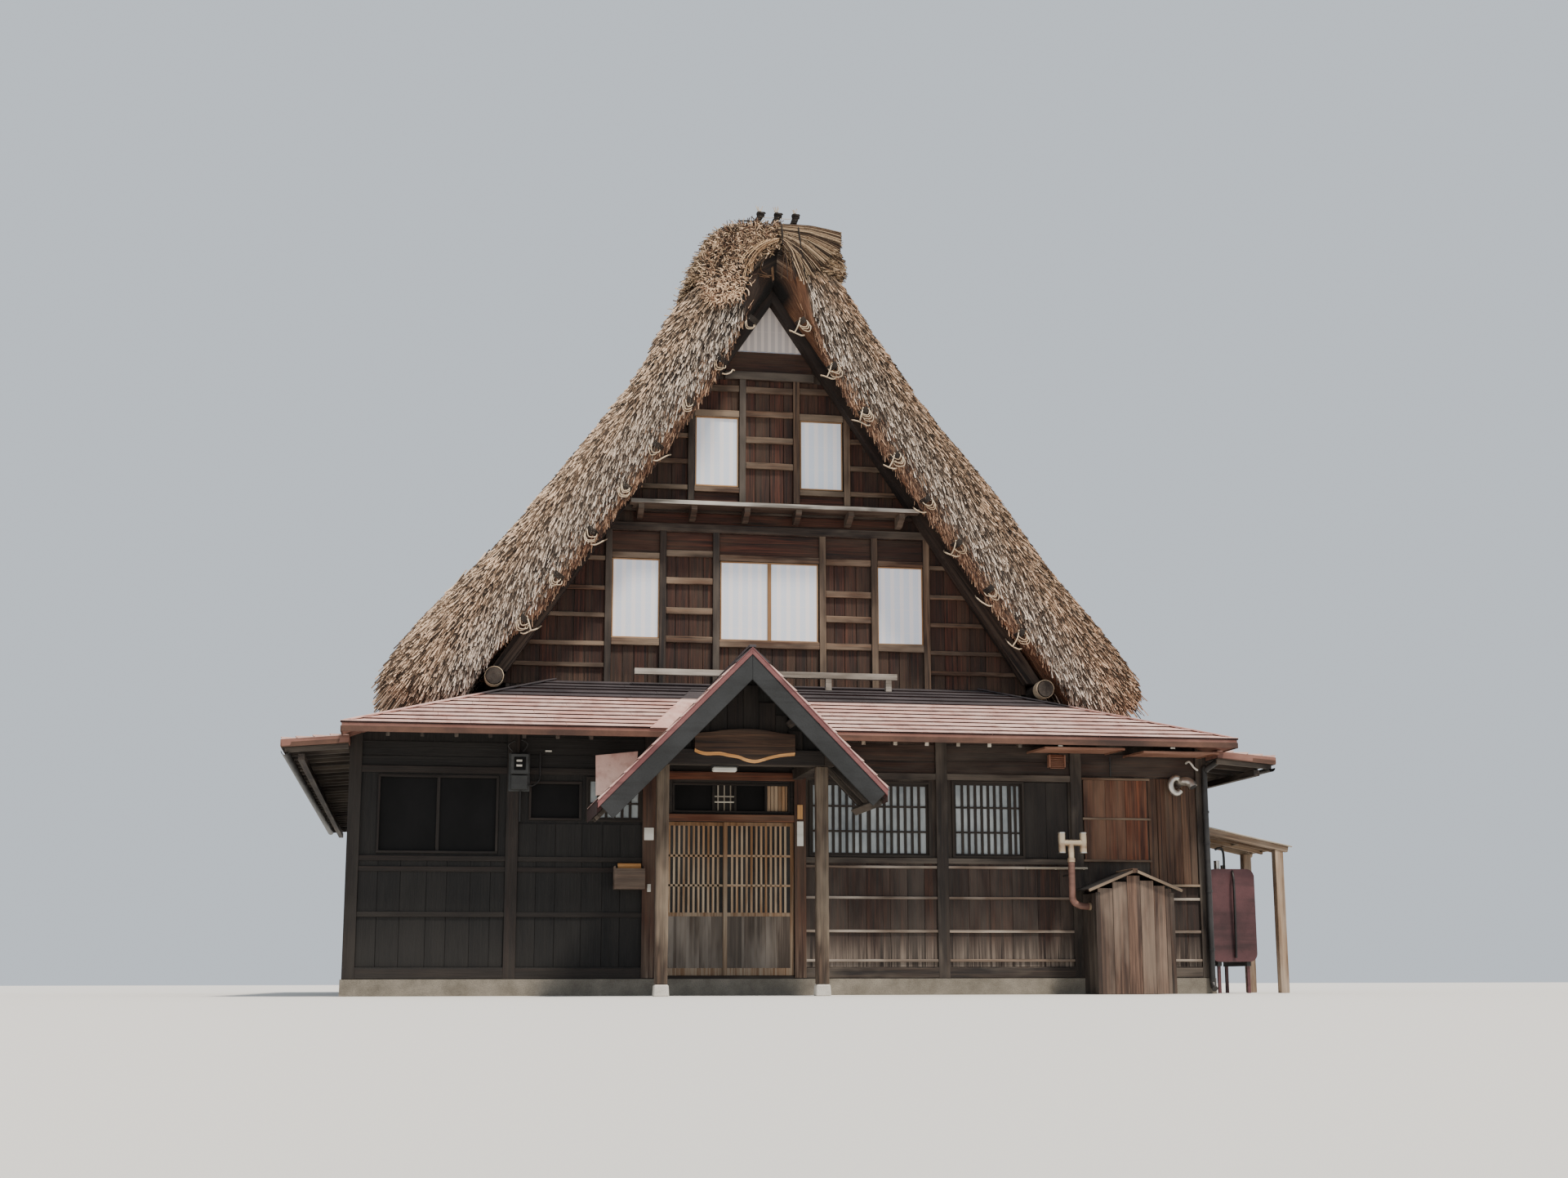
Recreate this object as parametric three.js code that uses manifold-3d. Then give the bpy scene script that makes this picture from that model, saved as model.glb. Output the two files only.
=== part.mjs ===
// A thatched minka farmhouse in the steep "praying hands" style, gable end to the front.
// Millimetres, +Z up. The front faces -Y. The origin is on the ground, on the gable's centre line
// and in the plane of the front wall's posts.

import * as THREE from 'three';
import { mergeVertices } from 'three/addons/utils/BufferGeometryUtils.js';
import Module from 'manifold-3d';

const wasm = await Module();
wasm.setup();

// Driving dimensions
const GAP = 0.3;
const HALF_WIDTH = 5550;
const DEPTH = 12740;

// Ground storey
const PLINTH_TOP = 200;
const PLINTH_REACH = 20;
const FLOOR_TOP = 240;
const WALL_THICKNESS = 120;
const BOARD_SETBACK = 40;
const POST = 150;
const SILL_TOP = 345;
const FRONT_POSTS_LEFT = [-5475, -3550, -1830];
const FRONT_POSTS_RIGHT = [80, 1940, 3750, 5475];
const SIDE_POST_PITCH = 1820;
const SIDE_POST_COUNT = 6;
const GLASS = 12;
const LINTEL = { low: 2150, high: 2240 };
const TRANSOM = { left: -1550, right: -40, low: 2260, high: 2640, lap: 40 };
const THRESHOLD_TOP = 235;

// Entrance doors, one leaf behind the other
const DOOR_CLEARANCE = 6;
const DOOR_THICKNESS = 33;
const DOOR_OVERLAP = 40;
const DOOR_STILE = 45;
const DOOR_MID_RAIL = 970;
const DOOR_FRONT_TRACK = 22;
const DOOR_TRACK_GAP = 8;

// Eave roofs round the ground storey
const EAVE_OVERHANG = 900;
const EAVE_HALF_WIDTH = 5630;
const EAVE_TOP = 3200;
const EAVE_THICKNESS = 90;
const EAVE_PITCH = 0.355;
const EAVE_SIDE_INNER = 3760;
const SIDE_ROOF = { reach: 6360, top: 3040, thickness: 80, pitch: 0.085, front: -420 };

// Gable
const GABLE_FACE = 1800;
const GABLE_POST_DEPTH = 60;
const GABLE_BOARDS = 60;
const GABLE_POST = 90;
const GABLE_FOOT_HALF = 3600;
const GABLE_FOOT_TOP = 4340;
const UPPER_FLOOR = { low: 2990, high: 3100 };
const ATTIC_FLOOR = { low: 6350, high: 6450, half: 2320 };
const LOWER_WINDOWS = { low: 4780, high: 5890 };
const UPPER_WINDOWS = { low: 6960, high: 7960 };
const PEAK_WINDOW = { low: 8945, high: 9717, half: 502 };
const LEDGE = { half: 1930, reach: 350, low: 6590, high: 6650, lip: 135, left: -1985, right: 2070 };
const BRACKET_XS = [-1830, -1100, -360, 360, 1100, 1830];

// Thatch: a band laid on the rafters at this slope, measured along it (u) and across it (v)
const THATCH_ANGLE = THREE.MathUtils.degToRad(54.8);
const THATCH_APEX = 9800;
const THATCH_DEPTH = 970;
const THATCH_FRONT = 1150;
const THATCH_TOP_Z = 10300;
const THATCH_FOOT = [[6950, 0], [7250, 30], [7520, 220], [7690, 500], [7730, 780], [7640, 970], [7440, 1060]];
const THATCH_FACES = {
  left: [
    [7000, 1060], [6400, 1010], [5800, 950], [5100, 880], [4400, 815], [3700, 765],
    [3000, 765], [2400, 790], [1800, 800], [1400, 885], [1100, 930], [800, 880], [464, 860],
  ],
  right: [
    [7000, 1060], [6400, 1030], [5800, 1000], [5100, 960], [4400, 930], [3700, 885],
    [3000, 850], [2400, 820], [1700, 810], [1400, 810], [1100, 820], [800, 840], [464, 860],
  ],
};
const THATCH_SWELL = { height: 28, along: 1610, down: 2900, from: 1300, full: 2000, step: 400 };
const VERGE_ROUNDING = [[0, 300], [60, 170], [180, 70], [400, 0]];
const VERGE_INNER_SHARE = 0.2;
const VERGE_ARCH = [
  [40, 1.4], [250, 1.03], [600, 0.4], [1200, -0.3], [2000, -0.6], [3000, -0.65], [5900, -0.6], [6350, 0],
];
const CAP_FRONT = 1120;
const CAP_OUTLINE = [
  [905, 9962], [955, 10200], [855, 10420], [905, 10550], [500, 10590], [0, 10640], [-340, 10660],
  [-600, 10620], [-720, 10575], [-895, 10475], [-1000, 10270], [-1070, 10170], [-1125, 9970],
  [-1155, 9770], [-985, 9940],
];
const CAP_TIES = { xs: [-230, 20, 280], y: 1300, low: 10500, high: 10830, tip: 10950, radius: 45, tipRadius: 14 };
const RAFTER = { width: 190, front: 1590, innerApex: 9610, slope: 1.49 };
const EAVE_LOG = { x: 3775, z: 4130, radius: 110, front: 1250 };

// Porch
const PORCH_RIDGE = { x: -905, z: 4010 };
const PORCH_SLOPE = 1.02;
const PORCH_LEFT_RUN = 1790;
const PORCH_RIGHT_RUN = 1610;
const PORCH_FRONT = -2300;
const PORCH_BACK = 1500;
const PORCH_ROOF_DEPTH = 143;
const PORCH_BARGE_DEPTH = 240;
const PORCH_BARGE_THICKNESS = 40;
const PORCH_POSTS = { left: -1870, right: 40, y: -1600, size: 150 };
const PORCH_BEAM = { low: 2690, high: 2875, half: 1090, sideHigh: 2815 };
const NAME_BOARD = { left: -1505, right: -300, low: 2710, high: 3110, thickness: 55 };

// Materials
const finishes = {
  stone: { color: 0x8d8a84, roughness: 0.9 },
  darkBoards: { color: 0x2b211b, roughness: 0.85 },
  redBoards: { color: 0x4a3027, roughness: 0.85 },
  agedTimber: { color: 0x4d4238, roughness: 0.85 },
  thatch: { color: 0x8b7f6e, roughness: 1.0 },
  straw: { color: 0xa08560, roughness: 1.0 },
  roofMetal: { color: 0xb18f84, roughness: 0.5, metalness: 0.3 },
  paper: { color: 0xd9e2ea, roughness: 0.9 },
  darkGlass: { color: 0x20252a, roughness: 0.2 },
  doorWood: { color: 0x8a623c, roughness: 0.7 },
  floorWood: { color: 0x5d4a38, roughness: 0.8 },
  steel: { color: 0x9c9a90, roughness: 0.4, metalness: 0.8 },
  tankPaint: { color: 0x5a3136, roughness: 0.5 },
};
const materials = {};
for (const [name, look] of Object.entries(finishes)) {
  materials[name] = new THREE.MeshStandardMaterial({ metalness: 0, ...look });
}

// Shape helpers
function box(x0, x1, y0, y1, z0, z1) {
  const geometry = new THREE.BoxGeometry(x1 - x0, y1 - y0, z1 - z0);
  return geometry.translate((x0 + x1) / 2, (y0 + y1) / 2, (z0 + z1) / 2);
}

function outline(points) {
  return new THREE.Shape(points.map(([x, y]) => new THREE.Vector2(x, y)));
}

// An outline in X and Z, as thick as the stretch from y0 to y1.
function prismAlongY(points, y0, y1) {
  const geometry = new THREE.ExtrudeGeometry(outline(points), { depth: y1 - y0, bevelEnabled: false });
  return geometry.rotateX(Math.PI / 2).translate(0, y1, 0);
}

// An outline in Y and Z, as thick as the stretch from x0 to x1.
function prismAlongX(points, x0, x1) {
  const geometry = new THREE.ExtrudeGeometry(outline(points), { depth: x1 - x0, bevelEnabled: false });
  return geometry.rotateX(Math.PI / 2).rotateZ(Math.PI / 2).translate(x0, 0, 0);
}

// A slab of even upright thickness over an outline in X and Y, with its top on the surface top(x, y).
function slopedSlab(points, top, thickness) {
  const geometry = new THREE.ExtrudeGeometry(outline(points), { depth: thickness, bevelEnabled: false });
  const position = geometry.attributes.position;
  for (let i = 0; i < position.count; i += 1) {
    const rise = top(position.getX(i), position.getY(i)) - thickness;
    position.setZ(i, position.getZ(i) + rise);
  }
  return geometry;
}

// A closed skin over rings of points in planes across Y, front ring first. Every ring has the same
// count of points and runs anticlockwise as seen from the front.
function loft(rings) {
  const count = rings[0].length;
  const vertices = rings.flat();
  const triangles = [];
  for (let r = 0; r + 1 < rings.length; r += 1) {
    for (let i = 0; i < count; i += 1) {
      const a = r * count + i;
      const b = r * count + ((i + 1) % count);
      triangles.push(a, b + count, b, a, a + count, b + count);
    }
  }
  const endFace = (ring) => THREE.ShapeUtils.triangulateShape(ring.map(([x, , z]) => new THREE.Vector2(x, z)), []);
  const last = (rings.length - 1) * count;
  for (const [a, b, c] of endFace(rings[0])) triangles.push(a, b, c);
  for (const [a, b, c] of endFace(rings.at(-1))) triangles.push(last + c, last + b, last + a);
  const geometry = new THREE.BufferGeometry();
  geometry.setAttribute('position', new THREE.Float32BufferAttribute(vertices.flat(), 3));
  geometry.setIndex(triangles);
  return geometry;
}

function toManifold(geometry) {
  const bare = geometry.clone();
  bare.deleteAttribute('normal');
  bare.deleteAttribute('uv');
  const merged = mergeVertices(bare, 0.001);
  const vertProperties = new Float32Array(merged.attributes.position.array);
  const triVerts = new Uint32Array(merged.index.array);
  return new wasm.Manifold(new wasm.Mesh({ numProp: 3, vertProperties, triVerts }));
}

function fromManifold(manifold) {
  const mesh = manifold.getMesh();
  const geometry = new THREE.BufferGeometry();
  geometry.setAttribute('position', new THREE.Float32BufferAttribute(mesh.vertProperties, 3));
  geometry.setIndex(Array.from(mesh.triVerts));
  return geometry;
}

function join(...geometries) {
  return fromManifold(geometries.map(toManifold).reduce((whole, piece) => whole.add(piece)));
}

function cut(geometry, ...tools) {
  return fromManifold(tools.map(toManifold).reduce((rest, tool) => rest.subtract(tool), toManifold(geometry)));
}

const house = new THREE.Group();

function addPiece(name, geometry, material, parent = house) {
  const mesh = new THREE.Mesh(geometry, materials[material]);
  mesh.name = name;
  parent.add(mesh);
  return mesh;
}

// A group that holds copies for the back of the house, turned to face the other way.
const backHalf = new THREE.Group();
backHalf.rotation.z = Math.PI;
backHalf.position.y = DEPTH;
house.add(backHalf);

// Heights of the eave roofs
const frontSlope = (x, y) => EAVE_TOP + EAVE_PITCH * (y + EAVE_OVERHANG);
const sideSlope = (x) => EAVE_TOP + EAVE_PITCH * (EAVE_HALF_WIDTH - Math.abs(x));
const wallTop = frontSlope(0, 0) - EAVE_THICKNESS - GAP;
const sideWallTop = sideSlope(HALF_WIDTH) - EAVE_THICKNESS - GAP;
const eaveRun = GABLE_FACE - GAP + EAVE_OVERHANG;
const hipTopX = EAVE_HALF_WIDTH - eaveRun;

// Plinth and floors
addPiece('foundation', box(
  -HALF_WIDTH - PLINTH_REACH, HALF_WIDTH + PLINTH_REACH, -PLINTH_REACH, DEPTH + PLINTH_REACH, 0, PLINTH_TOP,
), 'stone');

const roomHalf = HALF_WIDTH - WALL_THICKNESS - GAP;
const roomFront = WALL_THICKNESS + GAP;
addPiece('ground_floor', box(
  -roomHalf, roomHalf, roomFront, DEPTH - roomFront, PLINTH_TOP + GAP, FLOOR_TOP,
), 'floorWood');
addPiece('upper_floor', box(
  -roomHalf, roomHalf, roomFront, DEPTH - roomFront, UPPER_FLOOR.low, UPPER_FLOOR.high,
), 'floorWood');

const gableBack = GABLE_FACE + GABLE_POST_DEPTH + GABLE_BOARDS;
addPiece('attic_floor', box(
  -ATTIC_FLOOR.half, ATTIC_FLOOR.half, gableBack + GAP, DEPTH - gableBack - GAP, ATTIC_FLOOR.low, ATTIC_FLOOR.high,
), 'floorWood');

// A ground storey wall in its own frame: x along it, y inwards from the faces of its posts.
function boardWall({ from, to, low, posts, windows, profile }) {
  const boards = prismAlongY(profile, BOARD_SETBACK, WALL_THICKNESS);
  const sill = box(from, to, 0, WALL_THICKNESS, low, SILL_TOP);
  const pieces = [boards, sill];
  for (const x of posts) {
    const top = Math.min(wallTop, profile.heightAt(x));
    pieces.push(box(x - POST / 2, x + POST / 2, 0, WALL_THICKNESS, low, top));
  }
  const holes = windows.map(([x0, x1, z0, z1]) => box(x0, x1, -POST, WALL_THICKNESS + POST, z0, z1));
  const whole = join(...pieces);
  return holes.length > 0 ? cut(whole, ...holes) : whole;
}

// The upright outline of a wall under the front slope, which drops where the hip comes down.
function frontProfile(from, to, low) {
  const hipStart = EAVE_HALF_WIDTH - EAVE_OVERHANG;
  const dropAt = (x) => sideSlope(x) - EAVE_THICKNESS - GAP;
  const points = [[from, low], [to, low]];
  if (to > hipStart) {
    points.push([to, dropAt(to)], [hipStart, wallTop]);
  } else {
    points.push([to, wallTop]);
  }
  if (from < -hipStart) {
    points.push([-hipStart, wallTop], [from, dropAt(from)]);
  } else {
    points.push([from, wallTop]);
  }
  points.heightAt = (x) => dropAt(Math.abs(x) + POST / 2);
  return points;
}

function sideProfile(from, to, low) {
  const points = [[from, low], [to, low], [to, sideWallTop], [from, sideWallTop]];
  points.heightAt = () => sideWallTop;
  return points;
}

const wallLow = PLINTH_TOP + GAP;
const doorLeft = FRONT_POSTS_LEFT.at(-1) + POST / 2;
const doorRight = FRONT_POSTS_RIGHT[0] - POST / 2;

addPiece('front_wall_left', boardWall({
  from: -HALF_WIDTH,
  to: doorLeft,
  low: wallLow,
  posts: FRONT_POSTS_LEFT,
  windows: [[-5200, -3720, 1720, 2690], [-3350, -2690, 2140, 2630], [-2640, -1925, 2130, 2690]],
  profile: frontProfile(-HALF_WIDTH, doorLeft, wallLow),
}), 'darkBoards');
addPiece('front_wall_right', boardWall({
  from: doorRight,
  to: HALF_WIDTH,
  low: wallLow,
  posts: FRONT_POSTS_RIGHT,
  windows: [[200, 1800, 1720, 2690], [2080, 3650, 1720, 2715]],
  profile: frontProfile(doorRight, HALF_WIDTH, wallLow),
}), 'darkBoards');

const overDoorLeft = doorLeft + GAP;
const overDoorRight = doorRight - GAP;
addPiece('front_wall_over_door', cut(
  box(overDoorLeft, overDoorRight, BOARD_SETBACK, WALL_THICKNESS, LINTEL.high + GAP, wallTop),
  box(TRANSOM.left, TRANSOM.right, 0, WALL_THICKNESS * 2, TRANSOM.low, TRANSOM.high),
), 'darkBoards');
addPiece('transom_window', box(
  TRANSOM.left - TRANSOM.lap, TRANSOM.right + TRANSOM.lap, WALL_THICKNESS + GAP, WALL_THICKNESS + GLASS,
  TRANSOM.low - TRANSOM.lap, TRANSOM.high + TRANSOM.lap,
), 'darkGlass');
addPiece('door_lintel', box(
  overDoorLeft, overDoorRight, 0, WALL_THICKNESS, LINTEL.low, LINTEL.high,
), 'darkBoards');
addPiece('door_threshold', box(
  overDoorLeft, overDoorRight, 0, WALL_THICKNESS, PLINTH_TOP + GAP, THRESHOLD_TOP,
), 'agedTimber');

const backPosts = [...FRONT_POSTS_LEFT, 0, ...FRONT_POSTS_LEFT.map((x) => -x)];
const backWindows = [[-3300, -2000, 1720, 2690], [2000, 3300, 1720, 2690]];
addPiece('back_wall', boardWall({
  from: -HALF_WIDTH,
  to: HALF_WIDTH,
  low: wallLow,
  posts: backPosts,
  windows: backWindows,
  profile: frontProfile(-HALF_WIDTH, HALF_WIDTH, wallLow),
}), 'darkBoards', backHalf);

// The side walls stand between the front wall and the back wall.
const sideFrom = WALL_THICKNESS + GAP;
const sideTo = DEPTH - WALL_THICKNESS - GAP;
const sidePosts = [];
for (let i = 1; i <= SIDE_POST_COUNT; i += 1) {
  sidePosts.push(i * SIDE_POST_PITCH);
}
const sideWindows = [[3800, 5300, 1720, 2690], [7450, 8950, 1720, 2690]];
const sideWall = boardWall({
  from: sideFrom,
  to: sideTo,
  low: wallLow,
  posts: sidePosts,
  windows: sideWindows,
  profile: sideProfile(sideFrom, sideTo, wallLow),
});
const rightSide = new THREE.Group();
rightSide.rotation.z = Math.PI / 2;
rightSide.position.x = HALF_WIDTH;
const leftSide = new THREE.Group();
leftSide.rotation.z = -Math.PI / 2;
leftSide.position.set(-HALF_WIDTH, DEPTH, 0);
house.add(rightSide, leftSide);
addPiece('right_wall', sideWall, 'darkBoards', rightSide);
addPiece('left_wall', sideWall.clone(), 'darkBoards', leftSide);

// One pane behind each wall closes that wall's windows.
function paneBehind(windows, margin = 40) {
  const x0 = Math.min(...windows.map((w) => w[0])) - margin;
  const x1 = Math.max(...windows.map((w) => w[1])) + margin;
  const z0 = Math.min(...windows.map((w) => w[2])) - margin;
  const z1 = Math.max(...windows.map((w) => w[3])) + margin;
  return box(x0, x1, WALL_THICKNESS + GAP, WALL_THICKNESS + GLASS, z0, z1);
}
addPiece('front_windows_left', paneBehind([[-5200, -1925, 1720, 2690]]), 'darkGlass');
addPiece('front_windows_right', paneBehind([[200, 3650, 1720, 2715]]), 'darkGlass');
addPiece('right_windows', paneBehind(sideWindows), 'darkGlass', rightSide);
addPiece('left_windows', paneBehind(sideWindows), 'darkGlass', leftSide);
addPiece('back_windows', paneBehind(backWindows), 'darkGlass', backHalf);

// Entrance doors. Each leaf is a frame round a glazed upper part and a boarded lower part.
const doorWidth = (doorRight - doorLeft - 2 * DOOR_CLEARANCE + DOOR_OVERLAP) / 2;
const doorLow = THRESHOLD_TOP + DOOR_CLEARANCE;
const doorHigh = LINTEL.low - DOOR_CLEARANCE;

function doorLeaf(x0, y0) {
  const x1 = x0 + doorWidth;
  const y1 = y0 + DOOR_THICKNESS;
  const recess = DOOR_THICKNESS / 3;
  const paneLow = DOOR_MID_RAIL + DOOR_STILE;
  const leaf = box(x0, x1, y0, y1, doorLow, doorHigh);
  const inset = (front, back, low, high) => box(
    x0 + DOOR_STILE, x1 - DOOR_STILE, front, back, low, high,
  );
  return cut(
    leaf,
    inset(y0 - recess, y0 + recess, paneLow, doorHigh - DOOR_STILE),
    inset(y1 - recess, y1 + recess, paneLow, doorHigh - DOOR_STILE),
    inset(y0 - recess, y0 + recess / 2, doorLow + DOOR_STILE * 2, DOOR_MID_RAIL),
  );
}
const backTrack = DOOR_FRONT_TRACK + DOOR_THICKNESS + DOOR_TRACK_GAP;
addPiece('door_left', doorLeaf(doorLeft + DOOR_CLEARANCE, backTrack), 'doorWood');
addPiece('door_right', doorLeaf(doorRight - DOOR_CLEARANCE - doorWidth, DOOR_FRONT_TRACK), 'doorWood');

// Eave roofs. The porch roof comes through the front one, which is cut along it.
const porchSurface = (x) => PORCH_RIDGE.z - PORCH_SLOPE * Math.abs(x - PORCH_RIDGE.x);
const porchPrismHalf = 2400;
const porchPrism = prismAlongY([
  [PORCH_RIDGE.x - porchPrismHalf, porchSurface(PORCH_RIDGE.x - porchPrismHalf) + GAP * 2],
  [PORCH_RIDGE.x + porchPrismHalf, porchSurface(PORCH_RIDGE.x + porchPrismHalf) + GAP * 2],
  [PORCH_RIDGE.x, PORCH_RIDGE.z + GAP * 2],
], PORCH_FRONT, DEPTH / 2);

const eaveFront = -EAVE_OVERHANG;
const eaveInner = GABLE_FACE - GAP;
addPiece('pent_roof_front_left', cut(slopedSlab([
  [-EAVE_HALF_WIDTH, eaveFront],
  [PORCH_RIDGE.x, eaveFront],
  [PORCH_RIDGE.x, eaveInner],
  [-hipTopX, eaveInner],
], frontSlope, EAVE_THICKNESS), porchPrism), 'roofMetal');
addPiece('pent_roof_front_right', cut(slopedSlab([
  [PORCH_RIDGE.x + GAP, eaveFront],
  [EAVE_HALF_WIDTH, eaveFront],
  [hipTopX, eaveInner],
  [PORCH_RIDGE.x + GAP, eaveInner],
], frontSlope, EAVE_THICKNESS), porchPrism), 'roofMetal');
addPiece('pent_roof_back', slopedSlab([
  [-EAVE_HALF_WIDTH, eaveFront],
  [EAVE_HALF_WIDTH, eaveFront],
  [hipTopX, eaveInner],
  [-hipTopX, eaveInner],
], frontSlope, EAVE_THICKNESS), 'roofMetal', backHalf);

// A side eave roof meets the front and back ones along the hips, one gap away from them.
function sideEave(side) {
  const points = [
    [EAVE_HALF_WIDTH, eaveFront + GAP * 2],
    [EAVE_HALF_WIDTH, DEPTH - eaveFront - GAP * 2],
    [hipTopX, DEPTH - eaveInner - GAP * 2],
    [EAVE_SIDE_INNER, DEPTH - eaveInner - GAP * 2],
    [EAVE_SIDE_INNER, eaveInner + GAP * 2],
    [hipTopX, eaveInner + GAP * 2],
  ].map(([x, y]) => [side * x, y]);
  return slopedSlab(side > 0 ? points : points.reverse(), sideSlope, EAVE_THICKNESS);
}
addPiece('pent_roof_left', sideEave(-1), 'roofMetal');
addPiece('pent_roof_right', sideEave(1), 'roofMetal');

// A second, flatter roof reaches out below each side eave.
function sideRoof(side) {
  const inner = HALF_WIDTH + GAP;
  const points = [
    [inner, SIDE_ROOF.front],
    [SIDE_ROOF.reach, SIDE_ROOF.front],
    [SIDE_ROOF.reach, DEPTH - SIDE_ROOF.front],
    [inner, DEPTH - SIDE_ROOF.front],
  ].map(([x, y]) => [side * x, y]);
  const top = (x) => SIDE_ROOF.top + SIDE_ROOF.pitch * (SIDE_ROOF.reach - Math.abs(x));
  return slopedSlab(side > 0 ? points : points.reverse(), top, SIDE_ROOF.thickness);
}
addPiece('side_roof_left', sideRoof(-1), 'roofMetal');
addPiece('side_roof_right', sideRoof(1), 'roofMetal');

// Gable walls, built once for the front and once, turned round, for the back.
const thatchLine = (x) => THATCH_APEX - Math.tan(THATCH_ANGLE) * Math.abs(x);
const insideThatch = (z) => (THATCH_APEX - z) / Math.tan(THATCH_ANGLE) - GAP * 2;

function gableWall() {
  const foot = UPPER_FLOOR.high + GAP;
  const shoulder = insideThatch(GABLE_FOOT_TOP);
  const face = prismAlongY([
    [-GABLE_FOOT_HALF, foot],
    [GABLE_FOOT_HALF, foot],
    [GABLE_FOOT_HALF, GABLE_FOOT_TOP],
    [shoulder, GABLE_FOOT_TOP],
    [0, thatchLine(0) - GAP * 2],
    [-shoulder, GABLE_FOOT_TOP],
    [-GABLE_FOOT_HALF, GABLE_FOOT_TOP],
  ], GABLE_FACE + GABLE_POST_DEPTH, gableBack);
  const post = (x, low, high) => box(
    x - GABLE_POST / 2, x + GABLE_POST / 2, GABLE_FACE, gableBack, low, high,
  );
  const beam = (half, low, high) => box(-half, half, GABLE_FACE, gableBack, low, high);
  const pieces = [face, beam(2300, 6280, 6400), beam(2060, 6560, 6740), beam(640, 8520, 8640)];
  for (const x of [750, 1490, 2240]) {
    pieces.push(post(-x, foot, 6300), post(x, foot, 6300));
  }
  for (const x of [385, 1110]) {
    const high = Math.min(8560, thatchLine(x + GABLE_POST) - GABLE_POST);
    pieces.push(post(-x, 6700, high), post(x, 6700, high));
  }
  const through = (x0, x1, { low, high }) => box(x0, x1, 0, GABLE_FACE * 2, low, high);
  const peak = prismAlongY([
    [-PEAK_WINDOW.half, PEAK_WINDOW.low],
    [PEAK_WINDOW.half, PEAK_WINDOW.low],
    [0, PEAK_WINDOW.high],
  ], 0, GABLE_FACE * 2);
  return cut(
    join(...pieces),
    through(-2190, -1535, LOWER_WINDOWS),
    through(-690, 690, LOWER_WINDOWS),
    through(1535, 2190, LOWER_WINDOWS),
    through(-1050, -440, UPPER_WINDOWS),
    through(440, 1050, UPPER_WINDOWS),
    peak,
  );
}

const shojiBack = gableBack + GLASS;
const lowerShoji = box(-2195, 2195, gableBack + GAP, shojiBack, LOWER_WINDOWS.low - 40, LOWER_WINDOWS.high + 40);
const upperShoji = prismAlongY([
  [-1090, UPPER_WINDOWS.low - 40],
  [1090, UPPER_WINDOWS.low - 40],
  [1090, UPPER_WINDOWS.high + 40],
  [30, 9750],
  [-30, 9750],
  [-1090, UPPER_WINDOWS.high + 40],
], gableBack + GAP, shojiBack);

// The ledge between the gable's storeys, a shelf on brackets.
function gableLedge() {
  const face = GABLE_FACE - GAP;
  const edge = face - LEDGE.reach;
  const pieces = [
    box(-LEDGE.half, LEDGE.half, edge, face, LEDGE.low, LEDGE.high),
    box(LEDGE.left, LEDGE.right, edge, edge + LEDGE.lip, LEDGE.low, LEDGE.high),
  ];
  for (const x of BRACKET_XS) {
    const arm = prismAlongX([
      [face - LEDGE.reach + 40, LEDGE.low + 1],
      [face - LEDGE.reach + 40, LEDGE.low - 60],
      [face - 110, LEDGE.low - 160],
      [face, LEDGE.low - 160],
      [face, LEDGE.low + 1],
    ], x - 40, x + 40);
    pieces.push(arm);
  }
  return join(...pieces);
}

// A raking timber under the edge of the thatch, its head at the apex and its foot on the eave log. It
// is a little steeper than the thatch, so its upper half is trimmed to the thatch and its foot is free.
function rakingTimber(side) {
  const { width, innerApex, slope } = RAFTER;
  const foot = EAVE_LOG.z + EAVE_LOG.radius + GAP;
  const outerApex = innerApex + width * Math.hypot(1, slope);
  const thatchApex = THATCH_APEX - GAP * 4;
  const thatchSlopeRatio = Math.tan(THATCH_ANGLE);
  const leaves = (outerApex - thatchApex) / (slope - thatchSlopeRatio);
  const points = [
    [side * ((outerApex - foot) / slope), foot],
    [side * ((innerApex - foot) / slope), foot],
    [side * GAP, innerApex],
    [side * GAP, thatchApex],
    [side * leaves, outerApex - slope * leaves],
  ];
  return prismAlongY(side > 0 ? points.reverse() : points, RAFTER.front, GABLE_FACE - GAP);
}

for (const [end, parent] of [['front', house], ['back', backHalf]]) {
  addPiece(`gable_wall_${end}`, gableWall(), 'redBoards', parent);
  addPiece(`shoji_${end}_lower`, lowerShoji.clone(), 'paper', parent);
  addPiece(`shoji_${end}_upper`, upperShoji.clone(), 'paper', parent);
  addPiece(`gable_ledge_${end}`, gableLedge(), 'agedTimber', parent);
  addPiece(`rafter_${end}_left`, rakingTimber(-1), 'agedTimber', parent);
  addPiece(`rafter_${end}_right`, rakingTimber(1), 'agedTimber', parent);
}

// The thatch's face swells and dips gently along the roof, but not under the ridge cap.
function thatchSwell(u, y) {
  const { height, along, down, from, full } = THATCH_SWELL;
  const share = THREE.MathUtils.clamp((u - from) / (full - from), 0, 1);
  return height * share * Math.sin(2 * Math.PI * (y / along + u / down));
}

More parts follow.
